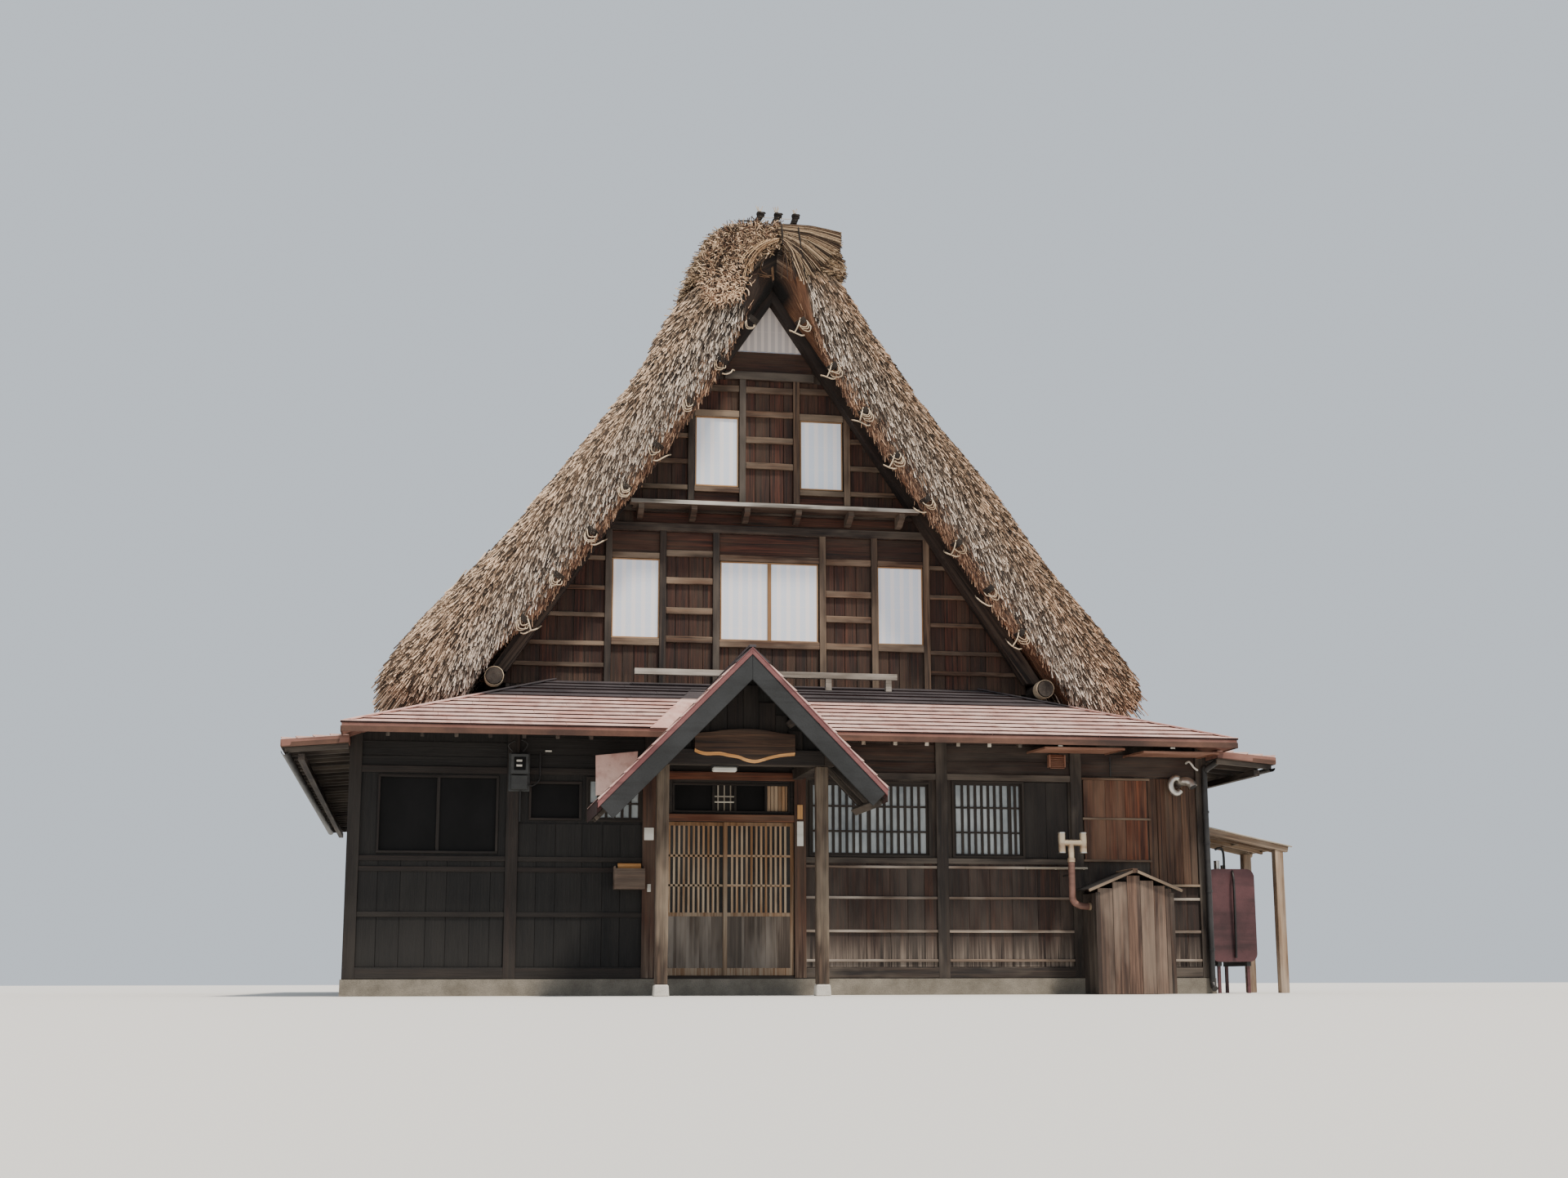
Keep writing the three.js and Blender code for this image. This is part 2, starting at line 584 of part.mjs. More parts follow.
// Thatch. Each slope is one thick band, drawn in at both ends so that its verge is round. The inner
// edge of the verge arches up under the ridge and hangs down along the slope.
function thatchRing(side, y, inset) {
  const face = side < 0 ? THATCH_FACES.left : THATCH_FACES.right;
  const cos = Math.cos(THATCH_ANGLE);
  const sin = Math.sin(THATCH_ANGLE);
  const innerInset = inset * VERGE_INNER_SHARE;
  const squeeze = (THATCH_DEPTH - innerInset - inset) / THATCH_DEPTH;
  const place = (u, across) => [side * (u * cos + across * sin), y, THATCH_APEX - u * sin + across * cos];
  const squeezed = (v) => innerInset + v * squeeze;
  return [
    [side * GAP, y, THATCH_APEX + inset * VERGE_ARCH[0][1]],
    ...VERGE_ARCH.map(([u, share]) => place(u, inset * share)),
    ...THATCH_FOOT.map(([u, v]) => place(u - inset, squeezed(v))),
    ...face.map(([u, v]) => place(u - inset * (u / face[0][0]), squeezed(v + thatchSwell(u, y)))),
    [side * GAP, y, THATCH_TOP_Z],
  ];
}

function roundedAlongY(ringAt, front, back, step = back - front) {
  const [reach] = VERGE_ROUNDING.at(-1);
  const near = VERGE_ROUNDING.map(([depth, inset]) => ringAt(front + depth, inset));
  const far = VERGE_ROUNDING.map(([depth, inset]) => ringAt(back - depth, inset)).reverse();
  const count = Math.round((back - front - 2 * reach) / step);
  const middle = [];
  for (let i = 1; i < count; i += 1) {
    middle.push(ringAt(front + reach + (i * (back - front - 2 * reach)) / count, 0));
  }
  return [...near, ...middle, ...far];
}

function thatchSlope(side) {
  const ringAt = (y, inset) => thatchRing(side, y, inset);
  const rings = roundedAlongY(ringAt, THATCH_FRONT, DEPTH - THATCH_FRONT, THATCH_SWELL.step);
  return loft(side > 0 ? rings : rings.map((ring) => ring.slice().reverse()));
}
addPiece('thatch_left', thatchSlope(-1), 'thatch');
addPiece('thatch_right', thatchSlope(1), 'thatch');

// The ridge cap, straw laid across the ridge, cut off square on the right and hanging over on the left.
function capRing(y, inset) {
  const [[lastX]] = CAP_OUTLINE;
  const outlineAt = ([x, z]) => {
    const share = THREE.MathUtils.clamp((z - 9962) / 600, 0, 1);
    return [x * (1 - inset / (2 * lastX)), y, z - share * (inset / 2)];
  };
  return [[0, y, THATCH_TOP_Z + GAP * 2], ...CAP_OUTLINE.map(outlineAt)];
}

// Straw ties that stand on the cap near both ends.
function capTie(x, y) {
  const upright = (radius, low, high) => {
    const geometry = new THREE.CylinderGeometry(radius, radius, high - low, 8);
    return geometry.rotateX(Math.PI / 2).translate(x, y, (low + high) / 2);
  };
  return [
    upright(CAP_TIES.radius, CAP_TIES.low, CAP_TIES.high),
    upright(CAP_TIES.tipRadius, CAP_TIES.high - 20, CAP_TIES.tip),
  ];
}
const capTies = CAP_TIES.xs.flatMap((x) => [...capTie(x, CAP_TIES.y), ...capTie(-x, DEPTH - CAP_TIES.y)]);
addPiece('ridge_cap', join(loft(roundedAlongY(capRing, CAP_FRONT, DEPTH - CAP_FRONT)), ...capTies), 'straw');

// The lowest purlin of each slope, a round log on a plate that stands on the side eave's upper edge.
function eaveLog(side) {
  const log = new THREE.CylinderGeometry(EAVE_LOG.radius, EAVE_LOG.radius, DEPTH - 2 * EAVE_LOG.front, 14);
  log.translate(side * EAVE_LOG.x, DEPTH / 2, EAVE_LOG.z);
  const plateX0 = side * EAVE_LOG.x - 45;
  const plateX1 = side * EAVE_LOG.x + 95;
  const outer = Math.min(Math.abs(plateX0), Math.abs(plateX1));
  const plate = box(
    plateX0, plateX1, gableBack + GAP, DEPTH - gableBack - GAP, sideSlope(outer) + GAP, EAVE_LOG.z,
  );
  return join(log, plate);
}
addPiece('eave_log_left', eaveLog(-1), 'agedTimber');
addPiece('eave_log_right', eaveLog(1), 'agedTimber');

// The weathered rail in front of the gable's foot, on stubs that stand on the front eave roof.
const railY = 1460;
const rail = [box(-1900, 1720, railY, railY + 90, 4230, 4310)];
for (const x of [-700, 760, 1600]) {
  const low = frontSlope(x, railY + 85) + GAP;
  rail.push(box(x - 40, x + 40, railY + 5, railY + 85, low, 4240));
}
addPiece('gable_rail', join(...rail), 'agedTimber');

// Porch
const postHalf = PORCH_POSTS.size / 2;
for (const side of ['left', 'right']) {
  const x = PORCH_POSTS[side];
  addPiece(`porch_post_${side}`, box(
    x - postHalf, x + postHalf, PORCH_POSTS.y - postHalf, PORCH_POSTS.y + postHalf, 0, PORCH_BEAM.low - GAP,
  ), 'agedTimber');
}

const beamFront = PORCH_POSTS.y - postHalf;
const beamBack = PORCH_POSTS.y + postHalf;
const porchSideBeam = (x) => box(x - 60, x + 60, beamFront, -GAP, PORCH_BEAM.low + 1, PORCH_BEAM.sideHigh);
const porchUnder = PORCH_RIDGE.z - PORCH_ROOF_DEPTH - GAP * 2;
const gableHalf = (porchUnder - PORCH_BEAM.high - GAP) / PORCH_SLOPE;
const beamEnd = porchUnder - PORCH_SLOPE * PORCH_BEAM.half - 2;
addPiece('porch_beams', join(
  prismAlongY([
    [-PORCH_BEAM.half, PORCH_BEAM.low],
    [PORCH_BEAM.half, PORCH_BEAM.low],
    [PORCH_BEAM.half, beamEnd],
    [gableHalf - 2, PORCH_BEAM.high],
    [2 - gableHalf, PORCH_BEAM.high],
    [-PORCH_BEAM.half, beamEnd],
  ], beamFront, beamBack).translate(PORCH_RIDGE.x, 0, 0),
  porchSideBeam(PORCH_POSTS.left),
  porchSideBeam(PORCH_POSTS.right),
), 'agedTimber');

addPiece('porch_gable', prismAlongY([
  [PORCH_RIDGE.x - gableHalf, PORCH_BEAM.high + GAP],
  [PORCH_RIDGE.x + gableHalf, PORCH_BEAM.high + GAP],
  [PORCH_RIDGE.x, porchUnder],
], PORCH_POSTS.y - 20, PORCH_POSTS.y + 20), 'darkBoards');

// Each porch slope stops at the front eave roof's edge below that roof, and lies on it behind the wall.
const underEaveRoof = prismAlongX([
  [-EAVE_OVERHANG, 0],
  [PORCH_BACK + 100, 0],
  [PORCH_BACK + 100, frontSlope(0, PORCH_BACK + 100) + GAP],
  [-GAP, frontSlope(0, 0) + GAP],
  [-GAP, frontSlope(0, 0) - EAVE_THICKNESS - GAP],
  [-EAVE_OVERHANG, frontSlope(0, -EAVE_OVERHANG) - EAVE_THICKNESS - GAP],
], -4000, 3000);

function porchSlope(side, run) {
  const x0 = PORCH_RIDGE.x + side * GAP;
  const x1 = PORCH_RIDGE.x + side * run;
  const points = [
    [x0, porchSurface(x0) - PORCH_ROOF_DEPTH],
    [x1, porchSurface(x1) - PORCH_ROOF_DEPTH],
    [x1, porchSurface(x1)],
    [x0, porchSurface(x0)],
  ];
  return cut(prismAlongY(side > 0 ? points : points.reverse(), PORCH_FRONT, PORCH_BACK), underEaveRoof);
}
addPiece('porch_roof_left', porchSlope(-1, PORCH_LEFT_RUN), 'roofMetal');
addPiece('porch_roof_right', porchSlope(1, PORCH_RIGHT_RUN), 'roofMetal');

function bargeBoard(side, run) {
  const x0 = PORCH_RIDGE.x + side * GAP;
  const x1 = PORCH_RIDGE.x + side * (run - 90);
  const top = PORCH_ROOF_DEPTH + GAP * 2;
  const points = [
    [x0, porchSurface(x0) - top - PORCH_BARGE_DEPTH],
    [x1, porchSurface(x1) - top - PORCH_BARGE_DEPTH],
    [x1, porchSurface(x1) - top],
    [x0, porchSurface(x0) - top],
  ];
  return prismAlongY(side > 0 ? points : points.reverse(), PORCH_FRONT, PORCH_FRONT + PORCH_BARGE_THICKNESS);
}
addPiece('porch_barge_left', bargeBoard(-1, PORCH_LEFT_RUN), 'darkBoards');
addPiece('porch_barge_right', bargeBoard(1, PORCH_RIGHT_RUN), 'darkBoards');

addPiece('name_board', box(
  NAME_BOARD.left, NAME_BOARD.right, beamFront - GAP - NAME_BOARD.thickness, beamFront - GAP,
  NAME_BOARD.low, NAME_BOARD.high,
), 'agedTimber');

// Fixtures on the right of the front wall
function pipe(radius, length, axis, x, y, z) {
  const geometry = new THREE.CylinderGeometry(radius, radius, length, 16);
  if (axis === 'x') geometry.rotateZ(Math.PI / 2);
  if (axis === 'z') geometry.rotateX(Math.PI / 2);
  return geometry.translate(x, y, z);
}
const cabinet = { left: 3790, right: 4770, eaves: 1300, ridge: 1565, front: -620, reach: 130 };
const flue = { x: 3550, y: -330, low: 1055, elbow: 1100, cross: 1905, ends: [3430, 3714], radius: 43 };
const flueReach = BOARD_SETBACK - GAP - flue.y;
const flueToCabinet = cabinet.left - GAP - flue.x;
const flueSpan = flue.ends[1] - flue.ends[0];
addPiece('flue_pipe', join(
  pipe(flue.radius, flue.cross - flue.low, 'z', flue.x, flue.y, (flue.cross + flue.low) / 2),
  pipe(flue.radius - 2, flueSpan, 'x', flue.ends[0] + flueSpan / 2, flue.y, flue.cross),
  pipe(flue.radius + 4, 262, 'z', flue.ends[0], flue.y, flue.cross + 1),
  pipe(flue.radius + 4, 262, 'z', flue.ends[1], flue.y, flue.cross + 1),
  pipe(flue.radius + 7, 46, 'z', flue.x, flue.y, 1683),
  pipe(flue.radius, flueToCabinet, 'x', flue.x + flueToCabinet / 2, flue.y, flue.elbow),
  pipe(12, flueReach, 'y', flue.x, flue.y + flueReach / 2, 1500),
), 'steel');

const cabinetMid = (cabinet.left + cabinet.right) / 2;
addPiece('gas_cabinet', join(
  prismAlongY([
    [cabinet.left, 0],
    [cabinet.right, 0],
    [cabinet.right, cabinet.eaves],
    [cabinetMid, cabinet.ridge - 40],
    [cabinet.left, cabinet.eaves],
  ], cabinet.front, -PLINTH_REACH - GAP),
  prismAlongY([
    [cabinet.left - cabinet.reach, cabinet.eaves - 30],
    [cabinetMid, cabinet.ridge - 50],
    [cabinet.right + cabinet.reach, cabinet.eaves - 30],
    [cabinet.right + cabinet.reach, cabinet.eaves + 10],
    [cabinetMid, cabinet.ridge],
    [cabinet.left - cabinet.reach, cabinet.eaves + 10],
  ], cabinet.front - 50, -PLINTH_REACH - GAP),
), 'darkBoards');

// Shelter and tank against the right wall
const shelter = { front: 850, back: 2150, reach: 7100, high: 2315, low: 1993, postX: 6920, post: 120 };
const shelterInner = HALF_WIDTH + GAP;
const shelterTop = (x) => {
  const share = (x - shelterInner) / (shelter.reach - shelterInner);
  return shelter.high + share * (shelter.low - shelter.high);
};
const shelterPost = (y) => box(
  shelter.postX - shelter.post / 2, shelter.postX + shelter.post / 2, y - shelter.post / 2, y + shelter.post / 2,
  0, shelterTop(shelter.postX) - 45,
);
const shelterBeam = prismAlongY([
  [shelterInner, shelterTop(shelterInner) - 110],
  [shelter.reach - 60, shelterTop(shelter.reach - 60) - 110],
  [shelter.reach - 60, shelterTop(shelter.reach - 60) - 30],
  [shelterInner, shelterTop(shelterInner) - 30],
], shelter.front + 30, shelter.front + 120);
addPiece('lean_to', join(
  slopedSlab([
    [shelterInner, shelter.front],
    [shelter.reach, shelter.front],
    [shelter.reach, shelter.back],
    [shelterInner, shelter.back],
  ], shelterTop, 60),
  shelterBeam,
  shelterPost(shelter.front + 100),
  shelterPost(shelter.back - 100),
), 'agedTimber');

const tank = { left: 5960, right: 6620, front: 1080, back: 1960, low: 420, high: 1670 };
const tankLeg = (x, y) => box(x - 20, x + 20, y - 20, y + 20, 0, tank.low + 60);
const tankCorner = 110;
const tankShape = new THREE.Shape();
const tankMid = (tank.left + tank.right) / 2;
const tankHalf = (tank.right - tank.left) / 2;
tankShape.absarc(tankMid + tankHalf - tankCorner, tank.high - tankCorner, tankCorner, 0, Math.PI / 2, false);
tankShape.absarc(tankMid - tankHalf + tankCorner, tank.high - tankCorner, tankCorner, Math.PI / 2, Math.PI, false);
tankShape.absarc(tankMid - tankHalf + tankCorner, tank.low + tankCorner, tankCorner, Math.PI, Math.PI * 1.5, false);
tankShape.absarc(tankMid + tankHalf - tankCorner, tank.low + tankCorner, tankCorner, Math.PI * 1.5, Math.PI * 2, false);
const tankBody = new THREE.ExtrudeGeometry(tankShape, {
  depth: tank.back - tank.front,
  bevelEnabled: false,
  curveSegments: 6,
}).rotateX(Math.PI / 2).translate(0, tank.back, 0);
addPiece('oil_tank', join(
  tankBody,
  tankLeg(tank.left + 120, tank.front + 60),
  tankLeg(tank.right - 120, tank.front + 60),
  tankLeg(tank.left + 120, tank.back - 60),
  tankLeg(tank.right - 120, tank.back - 60),
), 'tankPaint');

export default house;
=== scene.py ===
# %% [markdown]
# # A thatched farmhouse, dressed from its solids
# The solids of the house come in already measured, in metres, with the front facing -Y and the
# floor at Z = 0. Blender's work is what the eye reads on them: straw, weathered boards, paper
# screens, roof metal and the light. Nothing that comes in is moved.

# %% Load the solids
import math
import random

import bmesh
import bpy
import numpy as np
from mathutils import Matrix, Quaternion, Vector, noise


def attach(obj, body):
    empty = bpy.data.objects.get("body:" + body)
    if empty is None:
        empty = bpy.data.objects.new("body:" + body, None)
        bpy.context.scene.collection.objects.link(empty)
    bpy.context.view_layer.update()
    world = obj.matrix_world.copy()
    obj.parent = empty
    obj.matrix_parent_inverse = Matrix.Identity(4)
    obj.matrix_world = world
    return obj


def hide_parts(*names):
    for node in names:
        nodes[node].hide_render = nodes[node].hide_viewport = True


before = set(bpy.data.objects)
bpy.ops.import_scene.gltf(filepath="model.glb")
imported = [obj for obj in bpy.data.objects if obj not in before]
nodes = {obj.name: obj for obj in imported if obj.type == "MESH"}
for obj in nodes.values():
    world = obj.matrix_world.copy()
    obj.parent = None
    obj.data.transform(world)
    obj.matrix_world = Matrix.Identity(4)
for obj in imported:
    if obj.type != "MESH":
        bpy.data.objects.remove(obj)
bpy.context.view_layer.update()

# %% [markdown]
# ## The camera
# A photograph of a building fixes its camera: level edges that run away from us meet on the
# horizon, and known sizes give the distance. The place below was solved that way. The lens is
# written from its focal length in pixels, because that is what such a solution gives.

# %% Place the camera
SENSOR_WIDTH = 36.0
FRAME_WIDTH = 1920
FOCAL_PIXELS = 2471
CAMERA_PLACE = (-4.66, -25.30, 0.15)
TILT_UP = math.radians(11.04)
TURN_RIGHT = math.radians(10.17)
ROLL = math.radians(-0.12)

ahead = Vector((
    math.sin(TURN_RIGHT) * math.cos(TILT_UP),
    math.cos(TURN_RIGHT) * math.cos(TILT_UP),
    math.sin(TILT_UP),
))
camera = bpy.data.objects.new("camera", bpy.data.cameras.new("camera"))
bpy.context.scene.collection.objects.link(camera)
camera.data.sensor_fit = "HORIZONTAL"
camera.data.sensor_width = SENSOR_WIDTH
camera.data.lens = SENSOR_WIDTH * FOCAL_PIXELS / FRAME_WIDTH
camera.data.clip_end = 500
camera.location = CAMERA_PLACE
turn = ahead.to_track_quat("-Z", "Y") @ Quaternion((0, 0, 1), ROLL)
camera.rotation_euler = turn.to_euler()
bpy.context.scene.camera = camera
print("lens", round(camera.data.lens, 1), "mm")

# %% [markdown]
# ## Writing shaders as sums
# A shader is a graph, but most of it is arithmetic. The small class below wraps one output of a
# node, so that 1 - mask or noise * 0.3 adds the Math node by itself. Every other node comes from
# one method, which takes the kind of node, its settings and what feeds it.

# %% A socket that knows arithmetic
class Value:
    def __init__(self, graph, socket):
        self.graph = graph
        self.socket = socket

    def math(self, operation, *others, clamp=False):
        return self.graph.node(
            "ShaderNodeMath", [self, *others], operation=operation, use_clamp=clamp)

    def __add__(self, other):
        return self.math("ADD", other)

    def __sub__(self, other):
        return self.math("SUBTRACT", other)

    def __mul__(self, other):
        return self.math("MULTIPLY", other)

    def __rsub__(self, other):
        return self.graph.node("ShaderNodeMath", [other, self], operation="SUBTRACT")

    __radd__ = __add__
    __rmul__ = __mul__

    def clamped(self, low=0.0, high=1.0):
        """The value spread so that low becomes 0 and high becomes 1."""
        return ((self - low) * (1 / (high - low))).math("ADD", 0.0, clamp=True)


# %% A graph under construction
COLOUR_MIX = {"factor": 0, "a": 6, "b": 7, "result": 2}


def rgb(code):
    """A colour from its hexadecimal code, as the light values that shaders use."""
    parts = [int(code[i:i + 2], 16) / 255 for i in (0, 2, 4)]
    return tuple((p / 12.92 if p < 0.04045 else ((p + 0.055) / 1.055) ** 2.4) for p in parts) + (1,)


class Graph:
    def __init__(self, tree):
        self.tree = tree

    def feed(self, socket, value):
        if isinstance(value, Value):
            self.tree.links.new(value.socket, socket)
        else:
            socket.default_value = value

    def node(self, kind, inputs=(), output=0, stops=None, **settings):
        made = self.tree.nodes.new(kind)
        for name, setting in settings.items():
            setattr(made, name, setting)
        if stops:
            elements = made.color_ramp.elements
            while len(elements) < len(stops):
                elements.new(0.5)
            for element, (place, colour) in zip(elements, stops):
                element.position = place
                element.color = colour
        pairs = inputs.items() if isinstance(inputs, dict) else enumerate(inputs)
        for key, value in pairs:
            self.feed(made.inputs[key], value)
        return Value(self, made.outputs[output] if len(made.outputs) else None)


# %% A finish: one material and the graph behind it
class Finish(Graph):
    def __init__(self, name):
        self.material = bpy.data.materials.new(name)
        self.material.use_nodes = True
        super().__init__(self.material.node_tree)
        self.shader = self.tree.nodes["Principled BSDF"]

    def coordinates(self, source, turn=(0, 0, 0), stretch=(1, 1, 1)):
        """Object coordinates, or a vector that the mesh carries, turned and then stretched."""
        if source == "object":
            start = self.node("ShaderNodeTexCoord", output="Object")
        else:
            start = self.node("ShaderNodeAttribute", output="Vector", attribute_name=source)
        if any(turn):
            start = self.node("ShaderNodeMapping", {"Vector": start, "Rotation": turn})
        return self.node("ShaderNodeMapping", {"Vector": start, "Scale": stretch})

    def noise(self, vector, scale=1.0, detail=4.0, rough=0.55, bend=0.0):
        return self.node("ShaderNodeTexNoise", {
            "Vector": vector, "Scale": scale, "Detail": detail, "Roughness": rough,
            "Distortion": bend,
        })

    def spots(self, scale, detail, rough=0.55):
        """Noise that is the same in all directions."""
        return self.noise(self.coordinates("object"), scale, detail, rough)

    def axis(self, name, source="object"):
        return self.node("ShaderNodeSeparateXYZ", [self.coordinates(source)], output=name)

    def carried(self, name):
        return self.node("ShaderNodeAttribute", output="Fac", attribute_name=name)

    def mix(self, factor, a, b, blend="MIX"):
        return self.node("ShaderNodeMix", {
            COLOUR_MIX["factor"]: factor, COLOUR_MIX["a"]: a, COLOUR_MIX["b"]: b,
        }, output=COLOUR_MIX["result"], data_type="RGBA", blend_type=blend)

    def ramp(self, value, *stops):
        return self.node("ShaderNodeValToRGB", [value], stops=stops)

    def done(self, colour, roughness, height=None, relief=0.01, metal=0.0, fixed=()):
        self.feed(self.shader.inputs["Base Color"], colour)
        self.feed(self.shader.inputs["Roughness"], roughness)
        self.feed(self.shader.inputs["Metallic"], metal)
        for name, value in dict(fixed).items():
            self.shader.inputs[name].default_value = value
        if height is not None:
            bump = self.node("ShaderNodeBump", {"Height": height, "Distance": relief})
            self.feed(self.shader.inputs["Normal"], bump)
        print(f"finish {self.material.name}: {len(self.tree.nodes)} nodes")
        return self.material


# %% [markdown]
# ## Floor and light
# The house stands on a plain pale floor under soft light: one broad sun from the front for the
# shadows under the eaves, and a pale sky all round that fills them. The floor reaches far enough
# for its edge to meet the sky at the horizon.

# %% Lay the floor and hang the lights
FLOOR_HALF, FLOOR_LEVEL = 220.0, -0.002
SUN_FROM = Vector((0.26, -0.42, 1.0))
SUN_STRENGTH = 5.1
SUN_WIDTH = math.radians(7)
SKY_STRENGTH = 0.93


def plain_mesh(name, vertices, faces, edges=()):
    mesh = bpy.data.meshes.new(name)
    mesh.from_pydata([tuple(v) for v in vertices], edges, faces)
    mesh.update()
    made = bpy.data.objects.new(name, mesh)
    bpy.context.scene.collection.objects.link(made)
    return made


floor = plain_mesh("floor", [
    (x * FLOOR_HALF, y * FLOOR_HALF, FLOOR_LEVEL) for x, y in ((-1, -1), (1, -1), (1, 1), (-1, 1))
], [(0, 1, 2, 3)])
floor.data.materials.append(Finish("pale_floor").done(rgb("d9d7d2"), 0.9))

sun = bpy.data.objects.new("sun", bpy.data.lights.new("sun", "SUN"))
bpy.context.scene.collection.objects.link(sun)
sun.data.energy = SUN_STRENGTH
sun.data.angle = SUN_WIDTH
sun.data.color = rgb("fff4e6")[:3]
sun.rotation_euler = SUN_FROM.to_track_quat("Z", "Y").to_euler()

world = bpy.data.worlds.new("sky")
world.use_nodes = True
background = world.node_tree.nodes["Background"]
background.inputs["Color"].default_value = rgb("dfe8f2")
background.inputs["Strength"].default_value = SKY_STRENGTH
bpy.context.scene.world = world
print("floor, sun and sky")

# %% [markdown]
# ## Old wood
# Cedar boards weather in three ways: the soft wood between the growth lines wears away and leaves
# ribs, soot and stain darken them, and rain bleaches what it reaches to silver. One recipe covers
# them all. Long thin noise makes the ribs, a slower noise makes the stains, and a third, stronger
# near the foot of a wall, brings in the grey. Loose boards carry their own coordinates, so that
# the grain follows each board; solids use the object's.

# %% The wood recipe
def palette(codes):
    """Colours from hexadecimal codes with spaces between them."""
    return [rgb(code) for code in codes.split()]


def stretched(along, across, axis):
    """A scale that is small along the grain's axis and large across it."""
    return tuple(along if letter == axis else across for letter in "xyz")


def wood(name, colours, weather, grain="carried", turn=(0, 0, 0), low=None, boards=None,
         roughness=0.72, relief=0.006):
    """colours are the dark, the light and the grey; weather is how far the grey has come.
    grain is "carried" for loose boards, or the axis that it follows on a solid.
    low is the height under which the boards turn grey; boards is a width in metres."""
    finish = Finish(name)
    dark, light, grey = palette(colours)
    source, axis = ("grain", "x") if grain == "carried" else ("object", grain)

    def grown(along, across, detail, bend=0.0):
        vector = finish.coordinates(source, turn, stretched(along, across, axis))
        return finish.noise(vector, 1.0, detail, 0.6, bend)

    fibres = grown(2.2, 75, 5, 0.4)
    ribs = grown(0.7, 26, 3, 0.8)
    stains = grown(0.8, 3.0, 3)
    shade = finish.mix(ribs.clamped(0.35, 0.68), dark, light)
    shade = finish.mix(fibres.clamped(0.35, 0.62) * 0.55, shade, dark)
    if grain == "carried":
        tone = finish.carried("tone")
    elif boards:
        place = finish.axis("X" if grain != "x" else "Z")
        step = (place * (1 / boards)).math("FLOOR")
        tone = finish.node("ShaderNodeTexWhiteNoise", {"W": step}, noise_dimensions="1D")
    else:
        tone = stains
    shade = finish.mix(tone * 0.65, shade, finish.mix(0.5, dark, rgb("0b0807")))
    bleach = stains.clamped(0.40, 0.66) * weather + (tone - 0.5) * (weather * 0.4)
    if low:
        depth = 1 - finish.axis("Z").clamped(*low)
        bleach = bleach + depth * ribs.clamped(0.40, 0.62) * 0.8
    shade = finish.mix(bleach.math("ADD", 0.0, clamp=True), shade, grey)
    return finish.done(shade, roughness + fibres * 0.2, fibres * 0.5 + ribs, relief)


# %% Woods of the loose boards
wall_wood = wood("wall_boards", "180d09 452718 8c8074", 0.13, low=(0.30, 0.72))
shade_wood = wood("shaded_boards", "120d0b 2a1e18 4a443d", 0.2)
# Painted shade: the boards left of the door are a near-black copy of the wall boards.
shaded_left_wood = wood("left_wall_boards", "080707 171412 312d29", 0.2)
gable_wood = wood("gable_boards", "170a06 613322 62503f", 0.28, low=(3.9, 4.3))
frame_wood = wood("framing", "171110 43362c 73695e", 0.5)
lit_wood = wood("lit_framing", "2e2119 80644e a08d78", 0.4)
batten_wood = wood("battens", "2c1d15 7a5942 a3917c", 0.5)
wall_batten_wood = wood("wall_battens", "4a3c32 968271 cbc0b3", 0.6)
# The ledge's lip is bleached grey wood, made paler still as painted sunlight on its lit edge.
bleached_sunlit_lip_wood = wood("ledge_lip", "4d4a45 a39e95 d2cec6", 0.8)
pale_wood = wood("bleached_rail", "6b6154 a99f8f cfc8ba", 0.8)
red_wood = wood("red_panel", "2c1208 864a2d a07f66", 0.25)
corner_wood = wood("corner_boards", "2a180f 6e4a33 86705c", 0.25)
lattice_wood = wood("lattice", "17110e 33281f 4e463c", 0.2)
screen_wood = wood("screen_frames", "8a6440 c39a6e c9ae8a", 0.3)
jamb_wood = wood("door_jambs", "2c150c 6b3f27 6f6153", 0.25, low=(0.2, 0.9))
door_golden = wood("door_lattice", "85603f bb9672 b5a48e", 0.5, low=(1.2, 2.1))
door_grey = wood("door_panels", "3a3029 786a5d 8f867c", 0.6)
shed_wood = wood("shed_boards", "33221a 7d6150 9d8c7c", 0.35)
# Painted shade: the cabinet's sides are a darker copy of its boards.
shaded_cabinet_side_wood = wood("shed_sides", "1f1510 4c382c 80766a", 0.3)
shelter_wood = wood("shelter_timber", "66503d b0967c cfc3b3", 0.4)
post_boards = wood("porch_timber", "20160f 6d5746 a89883", 0.45, relief=0.016)
name_wood = wood("name_board", "20130c 5d3f2b 705c49", 0.2)
live_edge = wood("live_edge", "a8733f e0ac70 d8b586", 0.25)

# %% Woods of the solids
THATCH_ANGLE = math.radians(54.8)
solid_wood_z = wood("upright_solids", "17100d 3b2a20 6d6459", 0.35, "z", boards=0.24)
solid_wood_x = wood("level_solids_x", "17100d 3d2d23 6d6459", 0.35, "x")
solid_wood_y = wood("level_solids_y", "17100d 3d2d23 6d6459", 0.35, "y")
# Painted shade: a near-black copy for the solids left of the door, over it and in the porch's gable.
shaded_left_solid = wood("left_solids", "080707 1b1714 312d29", 0.15, "z", boards=0.24)
gable_solid = wood("gable_solids", "1b0f0a 4a2a1c 6b6055", 0.35, "z", boards=0.2, low=(3.9, 5.0))
ledge_wood = wood("ledge_solids", "241a14 6b5546 8f8375", 0.5, "x")
rail_wood = wood("gable_rail_wood", "5f574e a89e92 ccc4b9", 0.6, "x")
boards_floor = wood("floor_boards", "3a2b20 6c5440 80705d", 0.2, "y", boards=0.15, roughness=0.5)
door_solid = wood("door_solids", "6a4a30 a67c55 91826f", 0.4, "z", low=(0.6, 1.9))
# The raking timbers are dark old wood, painted darker still for the shade under the thatch.
shaded_rake_left, shaded_rake_right = (
    wood(name, "0c0807 33221b 5d5045", 0.2, "x", (0, turn, 0), low=(4.2, 6.6))
    for name, turn in (("raking_left", THATCH_ANGLE), ("raking_right", -THATCH_ANGLE)))
